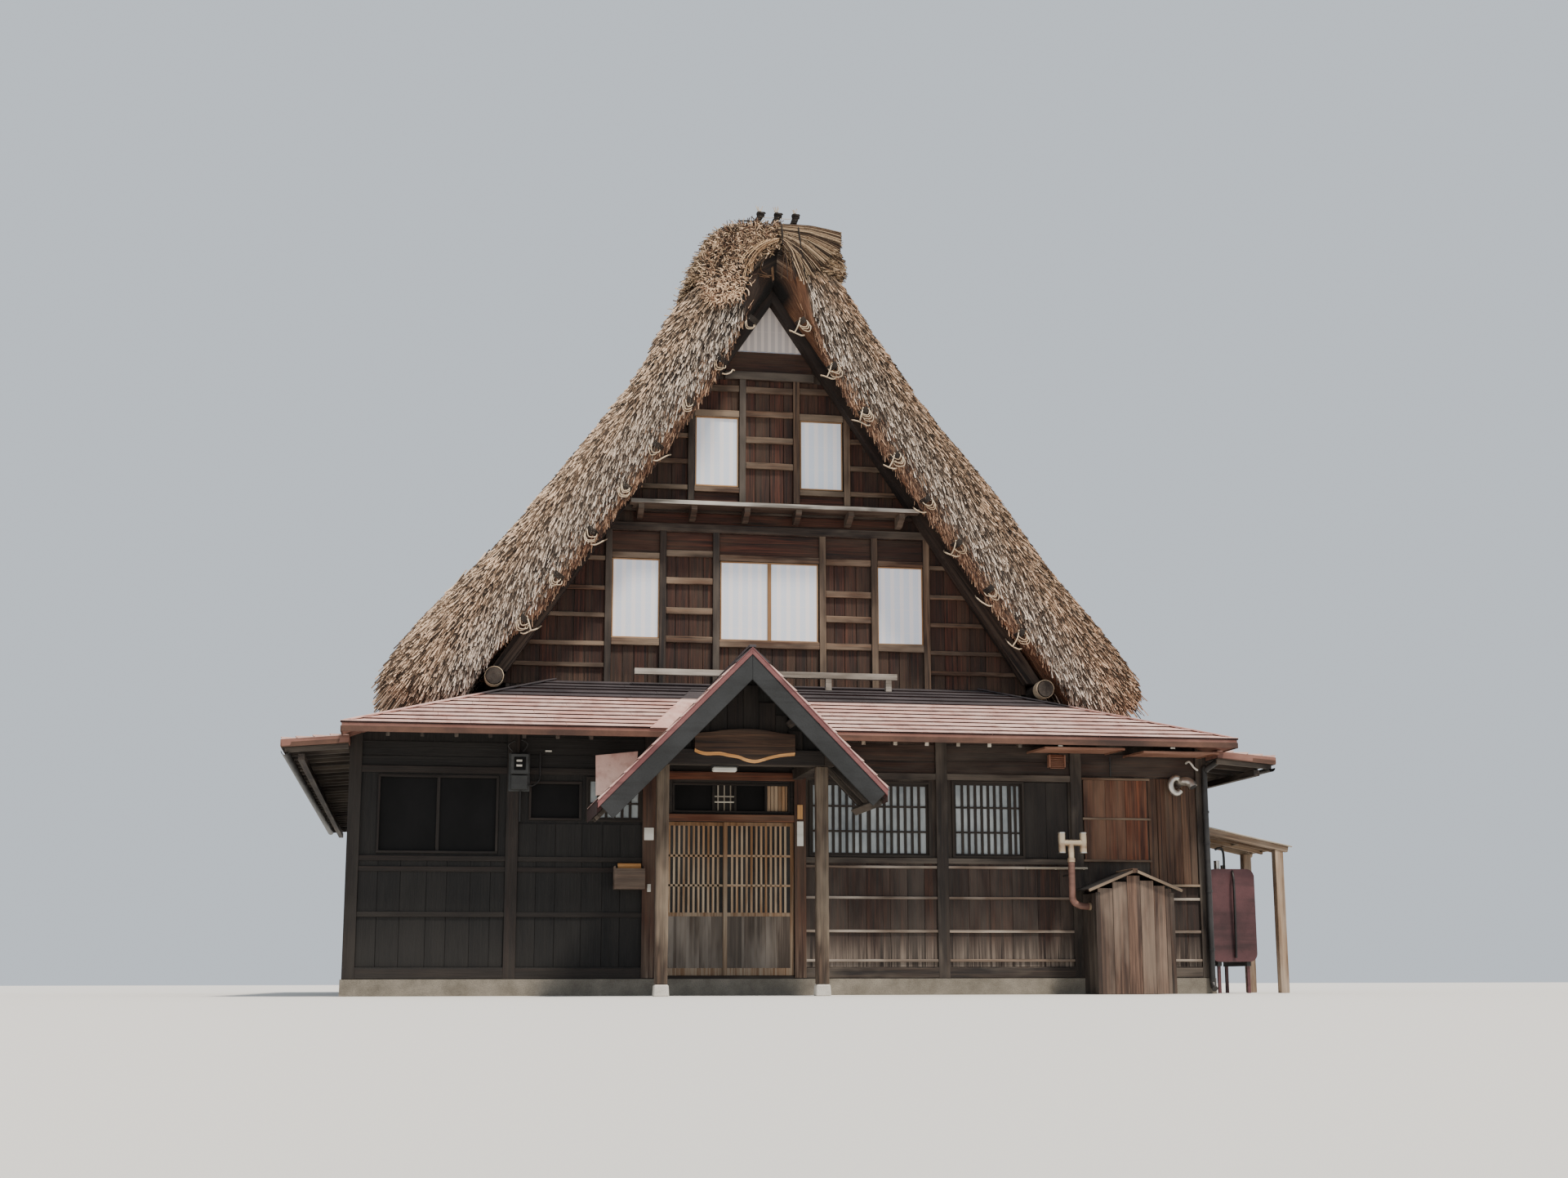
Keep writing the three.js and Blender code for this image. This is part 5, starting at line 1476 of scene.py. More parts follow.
# %% [markdown]
# ## Roof metal in courses
# The low roofs are covered with strips of painted metal. Each course is a thin sheet that lies on
# the one below and lifts at its lower edge; the shadow under that edge, deepened by a dark painted
# shade on the fold's underside and the riser behind it, draws the fine lines across the roof. Above
# a set height the metal is painted dark, a painted shadow over the top courses. The sheets follow a
# rule: a start, a step and two slanting ends, so they are written straight into a mesh.

# %% Measures of the low roofs
COURSE = 0.212
SHEET, LIFT, LAP, FOLD = 0.006, 0.026, 0.03, 0.010
PENT_PITCH = 0.355
PENT_EAVE, PENT_TOP = -0.90, 3.20
PENT_HALF = 5.63
PENT_THICK = 0.09
print("the eave roof falls", round(math.degrees(math.atan(PENT_PITCH)), 1), "degrees")


# %% Sheets between two slanting ends
class Sheets:
    """Courses of sheet metal on a slope, in a wall's own frame."""

    def __init__(self, seed, place):
        self.dice = random.Random(seed)
        self.place = place
        self.points, self.faces, self.tones, self.dark = [], [], [], []

    def sheet(self, corners, height, lifts):
        """corners are (x, y) round the sheet, its two lower ones first. Seen from its end a
        sheet is a thin wedge whose lower edge is folded back underneath."""
        low = corners[:2]
        back = [(x, y + FOLD) for x, y in low]
        (x0, y0), (x1, y1) = corners[3], corners[2]
        rows = [(low, lifts[0] + SHEET), (low, lifts[0]), (back, lifts[0] - 0.001), (back, 0.0005),
                (((x0, y0), (x1, y1)), lifts[2]), (((x0, y0), (x1, y1)), lifts[2] + SHEET)]
        first = len(self.points)
        for pair, lift in rows:
            for x, y in pair:
                self.points.append(self.place @ Vector((x, y, height(y) + lift)))
        count = len(rows)
        for i in range(count):
            j = (i + 1) % count
            self.faces.append(tuple(first + k for k in (2 * i, 2 * i + 1, 2 * j + 1, 2 * j)))
            # Faces 1 and 2, the fold's underside and the riser behind it, take the dark finish: painted
            # shade under the lifted edge.
            self.dark.append(i in (1, 2))
        for end in (0, 1):
            self.faces.append(tuple(first + 2 * i + end for i in range(count)))
            self.dark.append(False)
        self.tones += [self.dice.random()] * (2 * count)

    def courses(self, y0, y1, left, right, height, length=1.35, step=COURSE):
        count = max(1, round((y1 - y0) / step))
        step = (y1 - y0) / count
        for i in range(count):
            low = y0 + i * step - (LAP if i else 0)
            high = y0 + (i + 1) * step
            x = min(left(low), left(high)) + self.dice.uniform(0.2, length)
            ends = [None]
            while x < max(right(low), right(high)) - 0.25:
                if x > max(left(low), left(high)) + 0.1 and x < min(right(low), right(high)) - 0.1:
                    ends.append(x)
                x += length * self.dice.uniform(0.85, 1.1)
            ends.append(None)
            for a, b in zip(ends, ends[1:]):
                xa0, xa1 = (left(low), left(high)) if a is None else (a + 0.002, a + 0.002)
                xb0, xb1 = (right(low), right(high)) if b is None else (b - 0.002, b - 0.002)
                if xb0 - xa0 < 0.02 or xb1 - xa1 < 0.0:
                    continue
                self.sheet([(xa0, low), (xb0, low), (xb1, high), (xa1, high)], height,
                           (LIFT, LIFT, 0.002, 0.002))

    def install(self, name, material, slot="roof_metal"):
        made = plain_mesh(name, self.points, self.faces)
        carry(made.data, "tone", self.tones)
        made.data.polygons.foreach_set("material_index", [int(dark) for dark in self.dark])
        face_out(made.data, lofted=False)
        install_loose(name, made, slot, material, fold_shade_paint)


def pent_height(y):
    return PENT_TOP + PENT_PITCH * (y - PENT_EAVE)


# %% The front and back eave roofs
GABLE_FRONT = 1.79
PORCH_X, PORCH_RIDGE_Z, PORCH_SLOPE = -0.905, 4.01, 1.02
VALLEY_GAP = 0.03


def hip_right(y):
    return PENT_HALF - (y - PENT_EAVE)


def hip_left(y):
    return -hip_right(y)


def valley(y):
    """Half the width of the porch roof where it cuts the eave roof."""
    return max(0.0, (PORCH_RIDGE_Z - pent_height(y)) / PORCH_SLOPE)


front = Sheets(201, SIDES["front"])
porch_top_y = PENT_EAVE + (PORCH_RIDGE_Z - PENT_TOP) / PENT_PITCH
lower_edge = PENT_EAVE - 0.015
whole_courses = PENT_EAVE + 10 * COURSE
front.courses(lower_edge, whole_courses, hip_left,
              lambda y: PORCH_X - valley(y) - VALLEY_GAP - 0.2, pent_height)
front.courses(lower_edge, whole_courses, lambda y: PORCH_X + valley(y) + VALLEY_GAP, hip_right,
              pent_height)
front.courses(whole_courses, GABLE_FRONT, hip_left, hip_right, pent_height)
for low, high in ((lower_edge, 0.2), (0.2, porch_top_y)):
    a, b = valley(low), valley(high)
    front.sheet([(PORCH_X - a - 0.24, low), (PORCH_X - a - 0.02, low), (PORCH_X - b - 0.02, high),
                 (PORCH_X - b - 0.24, high)], pent_height, (0.012,) * 4)
front.install("pent_courses_front", roof_metal)

back = Sheets(202, SIDES["back"])
BACK_EDGE = PENT_EAVE + 0.03
back.courses(BACK_EDGE - 0.02, GABLE_FRONT, hip_left, hip_right, pent_height)
back.install("pent_courses_back", roof_metal)

# %% The side eave roofs and the flatter roofs below them
SIDE_EDGE = HALF_WIDTH - PENT_HALF
SIDE_INNER = HALF_WIDTH - 3.76
SIDE_ROOF_REACH, SIDE_ROOF_TOP, SIDE_ROOF_PITCH = 6.36, 3.04, 0.085
SIDE_ROOF_FRONT = -0.42


def side_height(y):
    return PENT_TOP + PENT_PITCH * (y - SIDE_EDGE)


def side_roof_height(y):
    return SIDE_ROOF_TOP + SIDE_ROOF_PITCH * (y - (HALF_WIDTH - SIDE_ROOF_REACH))


def from_front(y):
    return PENT_EAVE + max(0.003, y - SIDE_EDGE)


def from_back(y):
    return DEPTH - from_front(y)


for number, side in enumerate(("left", "right")):
    sheets = Sheets(210 + number, SIDES[side])
    sheets.courses(SIDE_EDGE - 0.01, SIDE_INNER, from_front, from_back, side_height)
    top = GABLE_FRONT - PENT_EAVE + SIDE_EDGE
    sheets.courses(SIDE_INNER, top, from_front, lambda y: GABLE_FRONT, side_height)
    sheets.courses(SIDE_INNER, top, lambda y: DEPTH - GABLE_FRONT, from_back, side_height)
    sheets.courses(HALF_WIDTH - SIDE_ROOF_REACH + 0.001, -0.004, lambda y: SIDE_ROOF_FRONT,
                   lambda y: DEPTH - SIDE_ROOF_FRONT, side_roof_height, step=0.2)
    sheets.install(f"pent_courses_{side}", roof_metal)

# %% The porch roof
porch = Sheets(220, Matrix.Identity(4))
PORCH_RUNS = {-1: 1.79, 1: 1.61}
PORCH_ROOF_FRONT = -2.30


def porch_slope_sheets(sign, run):
    """Courses that run front to back; the slope's own frame has x along Y and y up the slope."""
    porch.place = Matrix(((0, -sign, 0, PORCH_X), (1, 0, 0, 0), (0, 0, 1, 0), (0, 0, 0, 1)))

    def height(y):
        return PORCH_RIDGE_Z + PORCH_SLOPE * y

    def back_edge(y):
        return (height(y) - PENT_TOP) / PENT_PITCH + PENT_EAVE - 0.02

    porch.courses(-run, -0.02, lambda y: PORCH_ROOF_FRONT + 0.004,
                  lambda y: max(PENT_EAVE + 0.003, back_edge(y)), height, step=0.16)


for sign, run in PORCH_RUNS.items():
    porch_slope_sheets(sign, run)
porch.install("porch_courses", roof_metal)

# %% Hips, ridge of the porch, fascias and drip edges
HIP_RUN = 2.66
caps = Boards(230)
for x_sign in (-1, 1):
    for y0, y1 in ((PENT_EAVE, GABLE_FRONT), (DEPTH - PENT_EAVE, DEPTH - GABLE_FRONT)):
        y_sign = 1 if y1 > y0 else -1
        start = (x_sign * (PENT_HALF - 0.06), y0 + 0.06 * y_sign, PENT_TOP + 0.044)
        end = (x_sign * (PENT_HALF - HIP_RUN), y0 + HIP_RUN * y_sign,
               PENT_TOP + 0.03 + PENT_PITCH * HIP_RUN)
        caps.beam(start, end, 0.13, 0.018)
ridge_z = PORCH_RIDGE_Z + 0.012
caps.beam((PORCH_X, PORCH_ROOF_FRONT + 0.003, ridge_z), (PORCH_X, 1.36, ridge_z), 0.08, 0.03)
build("roof_caps", caps, roof_metal, "roof_metal")

fascia = Boards(231)
for side, x0, x1, y in (("front", -PENT_HALF, PORCH_X - 0.86, PENT_EAVE),
                        ("front", PORCH_X + 0.86, PENT_HALF, PENT_EAVE),
                        ("back", -PENT_HALF, PENT_HALF, BACK_EDGE - 0.006),
                        ("left", PENT_EAVE, DEPTH - PENT_EAVE, SIDE_EDGE),
                        ("right", PENT_EAVE, DEPTH - PENT_EAVE, SIDE_EDGE)):
    fascia.place = SIDES[side]
    fascia.add((x0, y - 0.012, 3.095), (x1, y - 0.0005, 3.165), "x")
for side in ("left", "right"):
    fascia.place = SIDES[side]
    y = HALF_WIDTH - SIDE_ROOF_REACH + 0.005
    fascia.add((SIDE_ROOF_FRONT, y, 2.945), (DEPTH - SIDE_ROOF_FRONT, y + 0.012, 3.0), "x")
    for x in (SIDE_ROOF_FRONT, DEPTH - SIDE_ROOF_FRONT - 0.012):
        fascia.beam((x + 0.006, y, 2.975), (x + 0.006, 0, 3.044), 0.012, 0.06)
build("fascias", fascia, fascia_paint, "roof_metal", bend=0.003)

# The back roof's lower edge makes room for its fascia.
mesh = nodes["pent_roof_back"].data.copy()
for vertex in mesh.vertices:
    if vertex.co.y > DEPTH - BACK_EDGE:
        vertex.co.y = DEPTH - BACK_EDGE
mesh.materials.clear()
mesh.materials.append(pent_edge)
install("pent_slab_back", mesh, "roof_metal", replaces=("pent_roof_back",))

# %% [markdown]
# ## Under the eaves
# The camera is low, so the underside of the eaves shows as much as the top: dark planks over
# rafters whose sawn ends are pale. The rafters repeat at one spacing along each wall.

# %% Planks and rafters under one eave
soffit = Boards(240)
rafters = Boards(241)
rafter_ends = Boards(242)
RAFTER_PITCH = 0.405
FRONT_UP = Vector((0, -PENT_PITCH, 1)).normalized()


def under_front(side, x0, x1, breaks=(), first=None, bare=()):
    """first is the first rafter; bare holds stretches where hoods take the rafters' place."""
    for pile in (soffit, rafters, rafter_ends):
        pile.place = SIDES[side]
    for y in (-0.78, -0.54, -0.30, -0.06):
        z = pent_height(y) - PENT_THICK - 0.006
        hip = hip_right(y)
        for a, b in zip((x0, *breaks), (*breaks, x1)):
            soffit.beam((max(a, -hip), y, z), (min(b, hip), y, z), 0.235, 0.01, FRONT_UP)
    count = int((x1 - x0 - 0.1) / RAFTER_PITCH)
    for i in range(count + 1):
        x = (x0 + 0.06 if first is None else first) + i * RAFTER_PITCH
        if any(a < x < b for a, b in bare):
            continue
        a, b = -0.845, min(0.035, PENT_EAVE + PENT_HALF - abs(x))
        if b < a + 0.1:
            continue
        low = pent_height(a) - PENT_THICK - 0.045
        rafters.beam((x, a, low), (x, b, pent_height(b) - PENT_THICK - 0.045), 0.045, 0.06,
                     FRONT_UP)
        if side == "front" and 0.5 < x < 2.6:
            rafter_ends.beam((x, a - 0.005, low - 0.001), (x, a - 0.0005, low), 0.047, 0.055, FRONT_UP)


# %% The eaves of all four walls
under_front("front", 0.345, 5.45, (3.0,), 0.729, ((3.0, 4.3), (4.35, 5.5)))
under_front("front", -5.55, -2.28, (-4.0,))
under_front("back", -5.55, 5.55, (-2.0, 1.9))
for side in ("left", "right"):
    for pile in (soffit, rafters, rafter_ends):
        pile.place = SIDES[side]
    for i in range(4):
        y = -0.71 + i * 0.2
        z = side_roof_height(y) - 0.086
        soffit.beam((-0.40, y, z), (13.14, y, z), 0.195, 0.01, (0, -SIDE_ROOF_PITCH, 1))
    for i in range(31):
        x = -0.36 + i * 0.448
        start, end = ((x, y, side_roof_height(y) - 0.125) for y in (-0.76, -0.004))
        rafters.beam(start, end, 0.045, 0.065)
    rafters.add((-0.36, -0.60, 2.80), (13.1, -0.52, 2.88), "x")
build("soffit_boards", soffit, shade_wood, "dark_boards")
build("eave_rafters", rafters, frame_wood, "dark_boards", bevel=0.004)
build("eave_rafter_ends", rafter_ends, pale_wood, "aged_timber", **FLAT)

# %% [markdown]
# ## Ropes
# No nail holds this roof: the rafters, the purlins and the thatch are bound with straw rope. A
# rope is a path with a round section. A third small tree turns any number of paths into ropes at
# once. The paths are worked out in Python, because each winds round something that has measures.

# %% The rope tree
def rope_tree():
    graph, given = new_tree("ropes", ("Radius", "Float"), ("Sides", "Int"), ("Material", "Material"))
    path = graph.node("GeometryNodeMeshToCurve", [given["Geometry"]])
    section = graph.node("GeometryNodeCurvePrimitiveCircle", {
        "Resolution": given["Sides"], "Radius": given["Radius"],
    })
    tube = graph.node("GeometryNodeCurveToMesh", {
        "Curve": path, "Profile Curve": section, "Fill Caps": True,
    })
    return close_tree(graph, tube, given["Material"])


ROPE_TREE = rope_tree()
COIL_STEPS = 12
print("rope tree:", len(ROPE_TREE.nodes), "nodes")


class Ropes:
    def __init__(self, seed):
        self.dice = random.Random(seed)
        self.points, self.edges, self.tones = [], [], []

    def run(self, points, smooth=3, tone=None):
        path = smooth_through([tuple(p) for p in points], smooth) if smooth > 1 else points
        first = len(self.points)
        self.points += [Vector(p) for p in path]
        self.tones += [self.dice.random() if tone is None else tone] * len(path)
        self.edges += [(first + i, first + i + 1) for i in range(len(path) - 1)]

    def coil(self, centre, a, b, wide, high, turns, advance):
        """Turns of rope round a centre; they reach wide along a and high along b."""
        path = []
        for i in range(int(turns * COIL_STEPS) + 1):
            angle = 2 * math.pi * i / COIL_STEPS
            x, y = math.cos(angle) * wide, math.sin(angle) * high
            path.append(Vector(centre) + a * x + b * y + advance * (i / COIL_STEPS - turns / 2))
        self.run(path, 2)

    def install(self, name, radius, material, slot, sides=6):
        made = plain_mesh(name, self.points, [], self.edges)
        carry(made.data, "tone", self.tones)
        mesh = grown(made, ROPE_TREE, Radius=radius, Sides=sides, Material=material)
        return install(name, mesh, slot, smooth=True)


# %% Lashings on the raking timbers and the eave logs
LASHING_PITCH = 0.757


def on_slope_line(sign, u, v, y):
    """A point given by its way down the slope, its way out from it, and its depth."""
    cos, sin = math.cos(THATCH_ANGLE), math.sin(THATCH_ANGLE)
    return Vector((sign * (u * cos + v * sin), y, THATCH_APEX - u * sin + v * cos))


for side_name in ("front", "back"):
    sticks, vines, shade_gaps = Ropes(300), Ropes(301), Ropes(302)
    place = SIDES[side_name]
    spin = place.to_3x3()
    for sign in (-1, 1):
        def at(u, v, y):
            return place @ on_slope_line(sign, u, v, y)
        for number in range(8):
            dice = sticks.dice
            u = 0.70 + LASHING_PITCH * number + dice.uniform(-0.02, 0.02)
            steep = dice.uniform(-0.04, 0.03)
            head = at(u, -0.26, 1.22)
            if sign > 0 or number % 2:
                long = dice.uniform(0.6, 1.0)
                sticks.run([head + spin @ Vector((0.085, 0.38, 0.112)), head,
                            at(u + 0.10 * long, -0.235 + steep, 1.14),
                            at(u + 0.20 * long, -0.20 + steep, 1.10),
                            at(u + 0.225 * long, -0.15 + steep, 1.12)])
                if dice.random() < 0.6:
                    sticks.run([at(u - 0.05, -0.06, 1.12), at(u + 0.03, -0.16, 1.09),
                                at(u + 0.08, -0.24 + steep, 1.10)])
            for k in range(dice.choice((2, 3, 4))):
                s = u - 0.035 * k + dice.uniform(-0.01, 0.01)
                wide = dice.uniform(0.8, 1.2)
                vines.run([at(s + 0.04, -0.12 * wide, 1.18), at(s + 0.12, -0.145 * wide, 1.09),
                           at(s + 0.18, -0.08, 1.07), at(s + 0.13, -0.02 * wide, 1.08),
                           at(s + 0.08, 0.0, 1.17)])
            # Painted shade: short dark ropes stand for the shaded gaps between the wraps.
            for k in range(5):
                s = u - 0.04 + 0.017 * k
                shade_gaps.run([at(s, -0.15, 1.16), at(s + 0.01, -0.08, 1.105), at(s, 0.0, 1.14)])
        log = Vector((sign * 3.775, 1.36, 4.13))
        vines.coil(place @ log, spin @ Vector((1, 0, 0)), spin @ Vector((0, 0, 1)), 0.122, 0.122,
                   7, spin @ Vector((0, 0.028, 0)))
    sticks.install(f"lashing_sticks_{side_name}", 0.0095, rope_fibre, "ridge_straw")
    vines.install(f"lashings_{side_name}", 0.0065, rope_fibre, "ridge_straw", 5)
    shade_gaps.install(f"lashing_shade_gaps_{side_name}", 0.009, dark_rope, "ridge_straw", 4)

# %% The knots on the ridge, their ropes and the sprigs in them
KNOTS = (-0.23, 0.02, 0.28)
ROPE_ENDS = (
    ((0.02, 1.28, 10.68), (0.045, 1.13, 10.62), (0.05, 1.06, 10.50), (0.06, 1.05, 10.28)),
    ((0.28, 1.28, 10.66), (0.285, 1.12, 10.60), (0.29, 1.055, 10.48), (0.33, 1.04, 10.15),
     (0.36, 1.05, 9.95), (0.39, 1.08, 9.77)),
    ((-0.55, 1.22, 10.65), (-0.40, 1.25, 10.672), (-0.23, 1.28, 10.675)),
    ((0.20, 1.26, 10.66), (0.28, 1.27, 10.665), (0.36, 1.26, 10.63)),
)


def placed(place, *points):
    return [place @ Vector(p) for p in points]


for side_name in ("front", "back"):
    dark, string = Ropes(310), Ropes(311)
    place = SIDES[side_name]
    spin = place.to_3x3()
    dice = string.dice
    for x in KNOTS:
        lean = dice.uniform(-0.01, 0.02)
        dark.coil(place @ Vector((x, 1.30, 10.75)), spin @ Vector((1, 0, 0)), spin @ Vector((0, 1, 0)),
                  0.038, 0.038, 6, spin @ Vector((lean, 0, 0.024)))
        for k in range(4):
            a = Vector((math.cos(k * 1.3), math.sin(k * 1.3), 0.3 * k - 0.5)).normalized()
            b = a.cross(Vector((0.2, 0.3, 1))).normalized()
            dark.coil(place @ Vector((x + lean, 1.30, 10.80)), spin @ a, spin @ b, 0.050, 0.042, 1.4,
                      Vector((0, 0, 0.01)))
        for k in range(8):
            dx, dy = dice.uniform(-0.06, 0.06), dice.uniform(-0.03, 0.03)
            tall = dice.uniform(0.04, 0.12)
            string.run(placed(place, (x, 1.30, 10.78),
                              (x + dx * 0.5, 1.30 + dy * 0.5, 10.82 + tall * 0.4),
                              (x + dx, 1.30 + dy, 10.82 + tall)))
    for xa, xb in zip(KNOTS, KNOTS[1:]):
        string.run(placed(place, (xa, 1.30, 10.77), ((xa + xb) / 2, 1.30, 10.755),
                          (xb, 1.30, 10.775)))
    for path in ROPE_ENDS:
        dark.run(placed(place, *path))
    dark.install(f"ridge_knots_{side_name}", 0.0125, dark_rope, "ridge_straw", 5)
    string.install(f"ridge_sprigs_{side_name}", 0.0045, rope_fibre, "ridge_straw", 4)

# %% [markdown]
# ## The straw at the front of the ridge
# The last bundles over the gable are bent by hand. On the left they end in a shaggy mass of curled
# stalks. In the middle a golden bundle bends down round a hollow, where a few sticks show. On the
# right long stalks run out and are cut square, and lower ones fan down over the verge.

# %% The shaggy mass of curls
SHAGGY = ((0.02, 10.56), (-0.02, 10.36), (-0.30, 10.20), (-0.43, 9.98), (-0.42, 9.72), (-0.48, 9.55),
          (-0.66, 9.44), (-0.93, 9.40), (-1.03, 9.60), (-1.04, 9.95), (-0.93, 10.22), (-0.68, 10.49),
          (-0.34, 10.57))


def inside(x, z, corners):
    hit = False
    for (xa, za), (xb, zb) in zip(corners, corners[1:] + corners[:1]):
        if (za > z) != (zb > z) and x < (xb - xa) * (z - za) / (zb - za) + xa:
            hit = not hit
    return hit


def turned(x, z, angle):
    c, s = math.cos(angle), math.sin(angle)
    return x * c - z * s, x * s + z * c


curls = Ropes(320)
dice = curls.dice
while len(curls.tones) < 1500 * 7:
    x, z = dice.uniform(-1.15, 0.03), dice.uniform(9.36, 10.62)
    if not inside(x, z, SHAGGY):
        continue
    fringe = min(1.0, max(0.0, (9.95 - z) / 0.35))
    angle = dice.uniform(-math.pi, math.pi) * (1 - 0.75 * fringe)
    dx, dz = turned(-0.35 - 0.2 * fringe, -0.9, angle)
    y = 1.15
    path = [(x, y, z)]
    for length, out in ((0.045, -0.045), (0.05, -0.025), (0.045, 0.01)):
        dx, dz = turned(dx, dz, dice.uniform(-0.9, 0.9))
        x, y, z = x + dx * length, y + out, z + dz * length
        path.append((x, y, z))
    curls.run(path, 2, min(1.0, dice.random() ** 1.4 + 0.25 * fringe))
curls.install("ridge_curls", 0.0062, curled_straw, "ridge_straw", 3)

# %% The golden bundle and the sticks in its hollow
ARC = ((0.01, 10.35), (-0.15, 10.27), (-0.29, 10.14), (-0.37, 10.0), (-0.385, 9.88))
bundle = Ropes(321)
dice = bundle.dice
for i in range(150):
    spread = dice.gauss(0, 0.045)
    dx, dz, dy = -abs(spread) + 0.02, spread, dice.uniform(-0.03, 0.03)
    first = dice.choice((0, 0, 1, 1, 2))
    last = dice.choice((3, 4, 5))
    bundle.run([(x + dx * (k + 1) * 0.4, 1.08 + dy, z + dz * (k + 1) * 0.3)
                for k, (x, z) in enumerate(ARC[first:last])], 2)
for i in range(8):
    dx, dz = dice.uniform(-0.015, 0.015), dice.uniform(-0.03, 0.03)
    bundle.run([(-0.07 + dx, 1.16, 10.20 + dz), (-0.06 + dx, 1.22, 10.0),
                (-0.045 + dx, 1.25, 9.80 + dz)], 2)
for i in range(5):
    dx, dz, y = dice.uniform(-0.05, 0.05), dice.uniform(-0.05, 0.05), dice.uniform(1.18, 1.30)
    bundle.run([(-0.13 + dx, y, 10.12 + dz), (-0.24 + dx, y - 0.03, 10.0 + dz), (-0.25 + dx, y, 9.88 + dz),
                (-0.12 - dx, y - 0.02, 9.85 + dz / 2)], 2, 0.35)
bundle.install("ridge_bundle", 0.0055, golden_straw, "ridge_straw", 4)

# %% The fan of long stalks and the rope in the hollow
FAN_EDGE = ((0.0, 0.92, 10.53), (0.35, 0.90, 10.33), (0.6, 0.74, 10.10), (0.8, 0.60, 9.92),
            (1.0, 0.45, 9.76))
shares, edge_xs, edge_zs = zip(*FAN_EDGE)
fan = Ropes(322)
dice = fan.dice
for i in range(620):
    share = min(1.0, (i // 12) / 52 + dice.uniform(0.0, 0.03)) ** 1.2
    end_x = np.interp(share, shares, edge_xs) - abs(dice.gauss(0, 0.03 + 0.12 * share))
    end_z = np.interp(share, shares, edge_zs) + dice.uniform(-0.02, 0.02)
    start_x, start_z = 0.06 * share + dice.uniform(-0.03, 0.10), 10.60 - 0.27 * share
    rise = 0.03 + 0.03 * share
    y = 1.11 - 0.05 * share + dice.uniform(-0.02, 0.02)
    tone = dice.choice((0.1, 0.35, 0.6, 0.9)) if i % 12 == 0 else tone
    fan.run([(start_x, y, start_z), ((start_x + end_x) / 2, y - 0.02, (start_z + end_z) / 2 + rise),
             (end_x, y, end_z)], 2, min(1.0, max(0.0, tone + dice.uniform(-0.2, 0.2))))
fan.install("ridge_fan", 0.0056, cap_straw, "ridge_straw", 3)
hollow_rope = Ropes(323)
hollow_rope.coil((0.03, 1.13, 10.20), Vector((1, 0, 0)), Vector((0, 1, 0)), 0.03, 0.03, 4,
                 Vector((0, 0, -0.035)))
hollow_rope.install("ridge_hollow_rope", 0.009, dark_rope, "ridge_straw", 4)

# %% [markdown]
# ## The porch
# The barge boards are cut from flat plates, so a second small helper draws a shape on the wall
# and gives it a depth. The metal edge of the roof stands proud of the boards by a few
# millimetres, as bent sheet does where it wraps over the end of a roof.

# %% Shapes cut from a plate
class Plates:
    """Flat shapes with a thickness, collected into one mesh."""

    def __init__(self, place=None):
        self.place = place or Matrix.Identity(4)
        self.points, self.faces = [], []

    def cut(self, outline, y0, y1):
        """A shape drawn on the wall as (x, z), from depth y0 to y1."""
        first, n = len(self.points), len(outline)
        for y in (y0, y1):
            self.points += [self.place @ Vector((x, y, z)) for x, z in outline]
        self.faces += [tuple(first + i for i in range(n)),
                       tuple(first + n + i for i in reversed(range(n)))]
        for i in range(n):
            j = (i + 1) % n
            self.faces.append((first + i, first + n + i, first + n + j, first + j))

    def install(self, name, material, slot, bevel=0.004, replaces=()):
        made = plain_mesh(name, self.points, self.faces)
        carry(made.data, "grain", [tuple(p) for p in self.points], "FLOAT_VECTOR")
        carry(made.data, "tone", [0.4] * len(self.points))
        face_out(made.data, lofted=False)
        install_loose(name, made, slot, material, replaces=replaces, bevel=bevel)


# %% Barge boards and the metal edge over them
ROOF_DEPTH = 0.143
EDGE_LIP, EDGE_DROP, BARGE_DROP = 0.016, 0.085, 0.383
EDGE_BACK = -2.25
TIP_CUT = 0.149
lip, edge, barge = Plates(), Plates(), Plates()


def porch_point(sign, along, drop):
    """A point that lies drop under the porch roof's top, at a distance from its ridge."""
    return PORCH_X + sign * along, PORCH_RIDGE_Z - PORCH_SLOPE * along - drop


for sign, run in PORCH_RUNS.items():
    def at(along, drop):
        return porch_point(sign, along, drop)

    lip.cut([at(0, 0), at(run, 0), at(run, EDGE_LIP), at(0, EDGE_LIP)], -2.30, EDGE_BACK)
    edge.cut([at(0, EDGE_LIP), at(run - 0.008, EDGE_LIP), at(run - 0.008, EDGE_DROP),
              at(0, EDGE_DROP)], -2.296, EDGE_BACK)
    reach = run - 0.035
    barge.cut([at(0, EDGE_DROP), at(reach, EDGE_DROP), at(reach - TIP_CUT, BARGE_DROP),
               at(0, BARGE_DROP)], -2.287, -2.251)
lip.install("porch_edge_lip", edge_metal, "roof_metal", 0.002)
edge.install("porch_edge", edge_metal, "roof_metal", 0.003)
barge.install("porch_barge_boards", barge_paint, "dark_boards", 0.005,
              ("porch_barge_left", "porch_barge_right"))
for side in ("left", "right"):
    mesh = nodes[f"porch_roof_{side}"].data.copy()
    for vertex in mesh.vertices:
        if vertex.co.y < EDGE_BACK:
            vertex.co.y = EDGE_BACK + 0.001
    mesh.materials.clear()
    for material in (edge_metal, fold_shade_paint):
        mesh.materials.append(material)
    # Every face of the slab that does not face up takes the dark finish: painted shade on its underside
    # and edges.
    for polygon in mesh.polygons:
        polygon.material_index = int(polygon.normal.z < 0.1)
    install(f"porch_slab_{side}", mesh, "roof_metal", replaces=(f"porch_roof_{side}",))

# %% Planks and rafters under the porch roof
PORCH_ANGLE = math.atan(PORCH_SLOPE)
planks, rafters, gable = Boards(401), Boards(402), Boards(403)


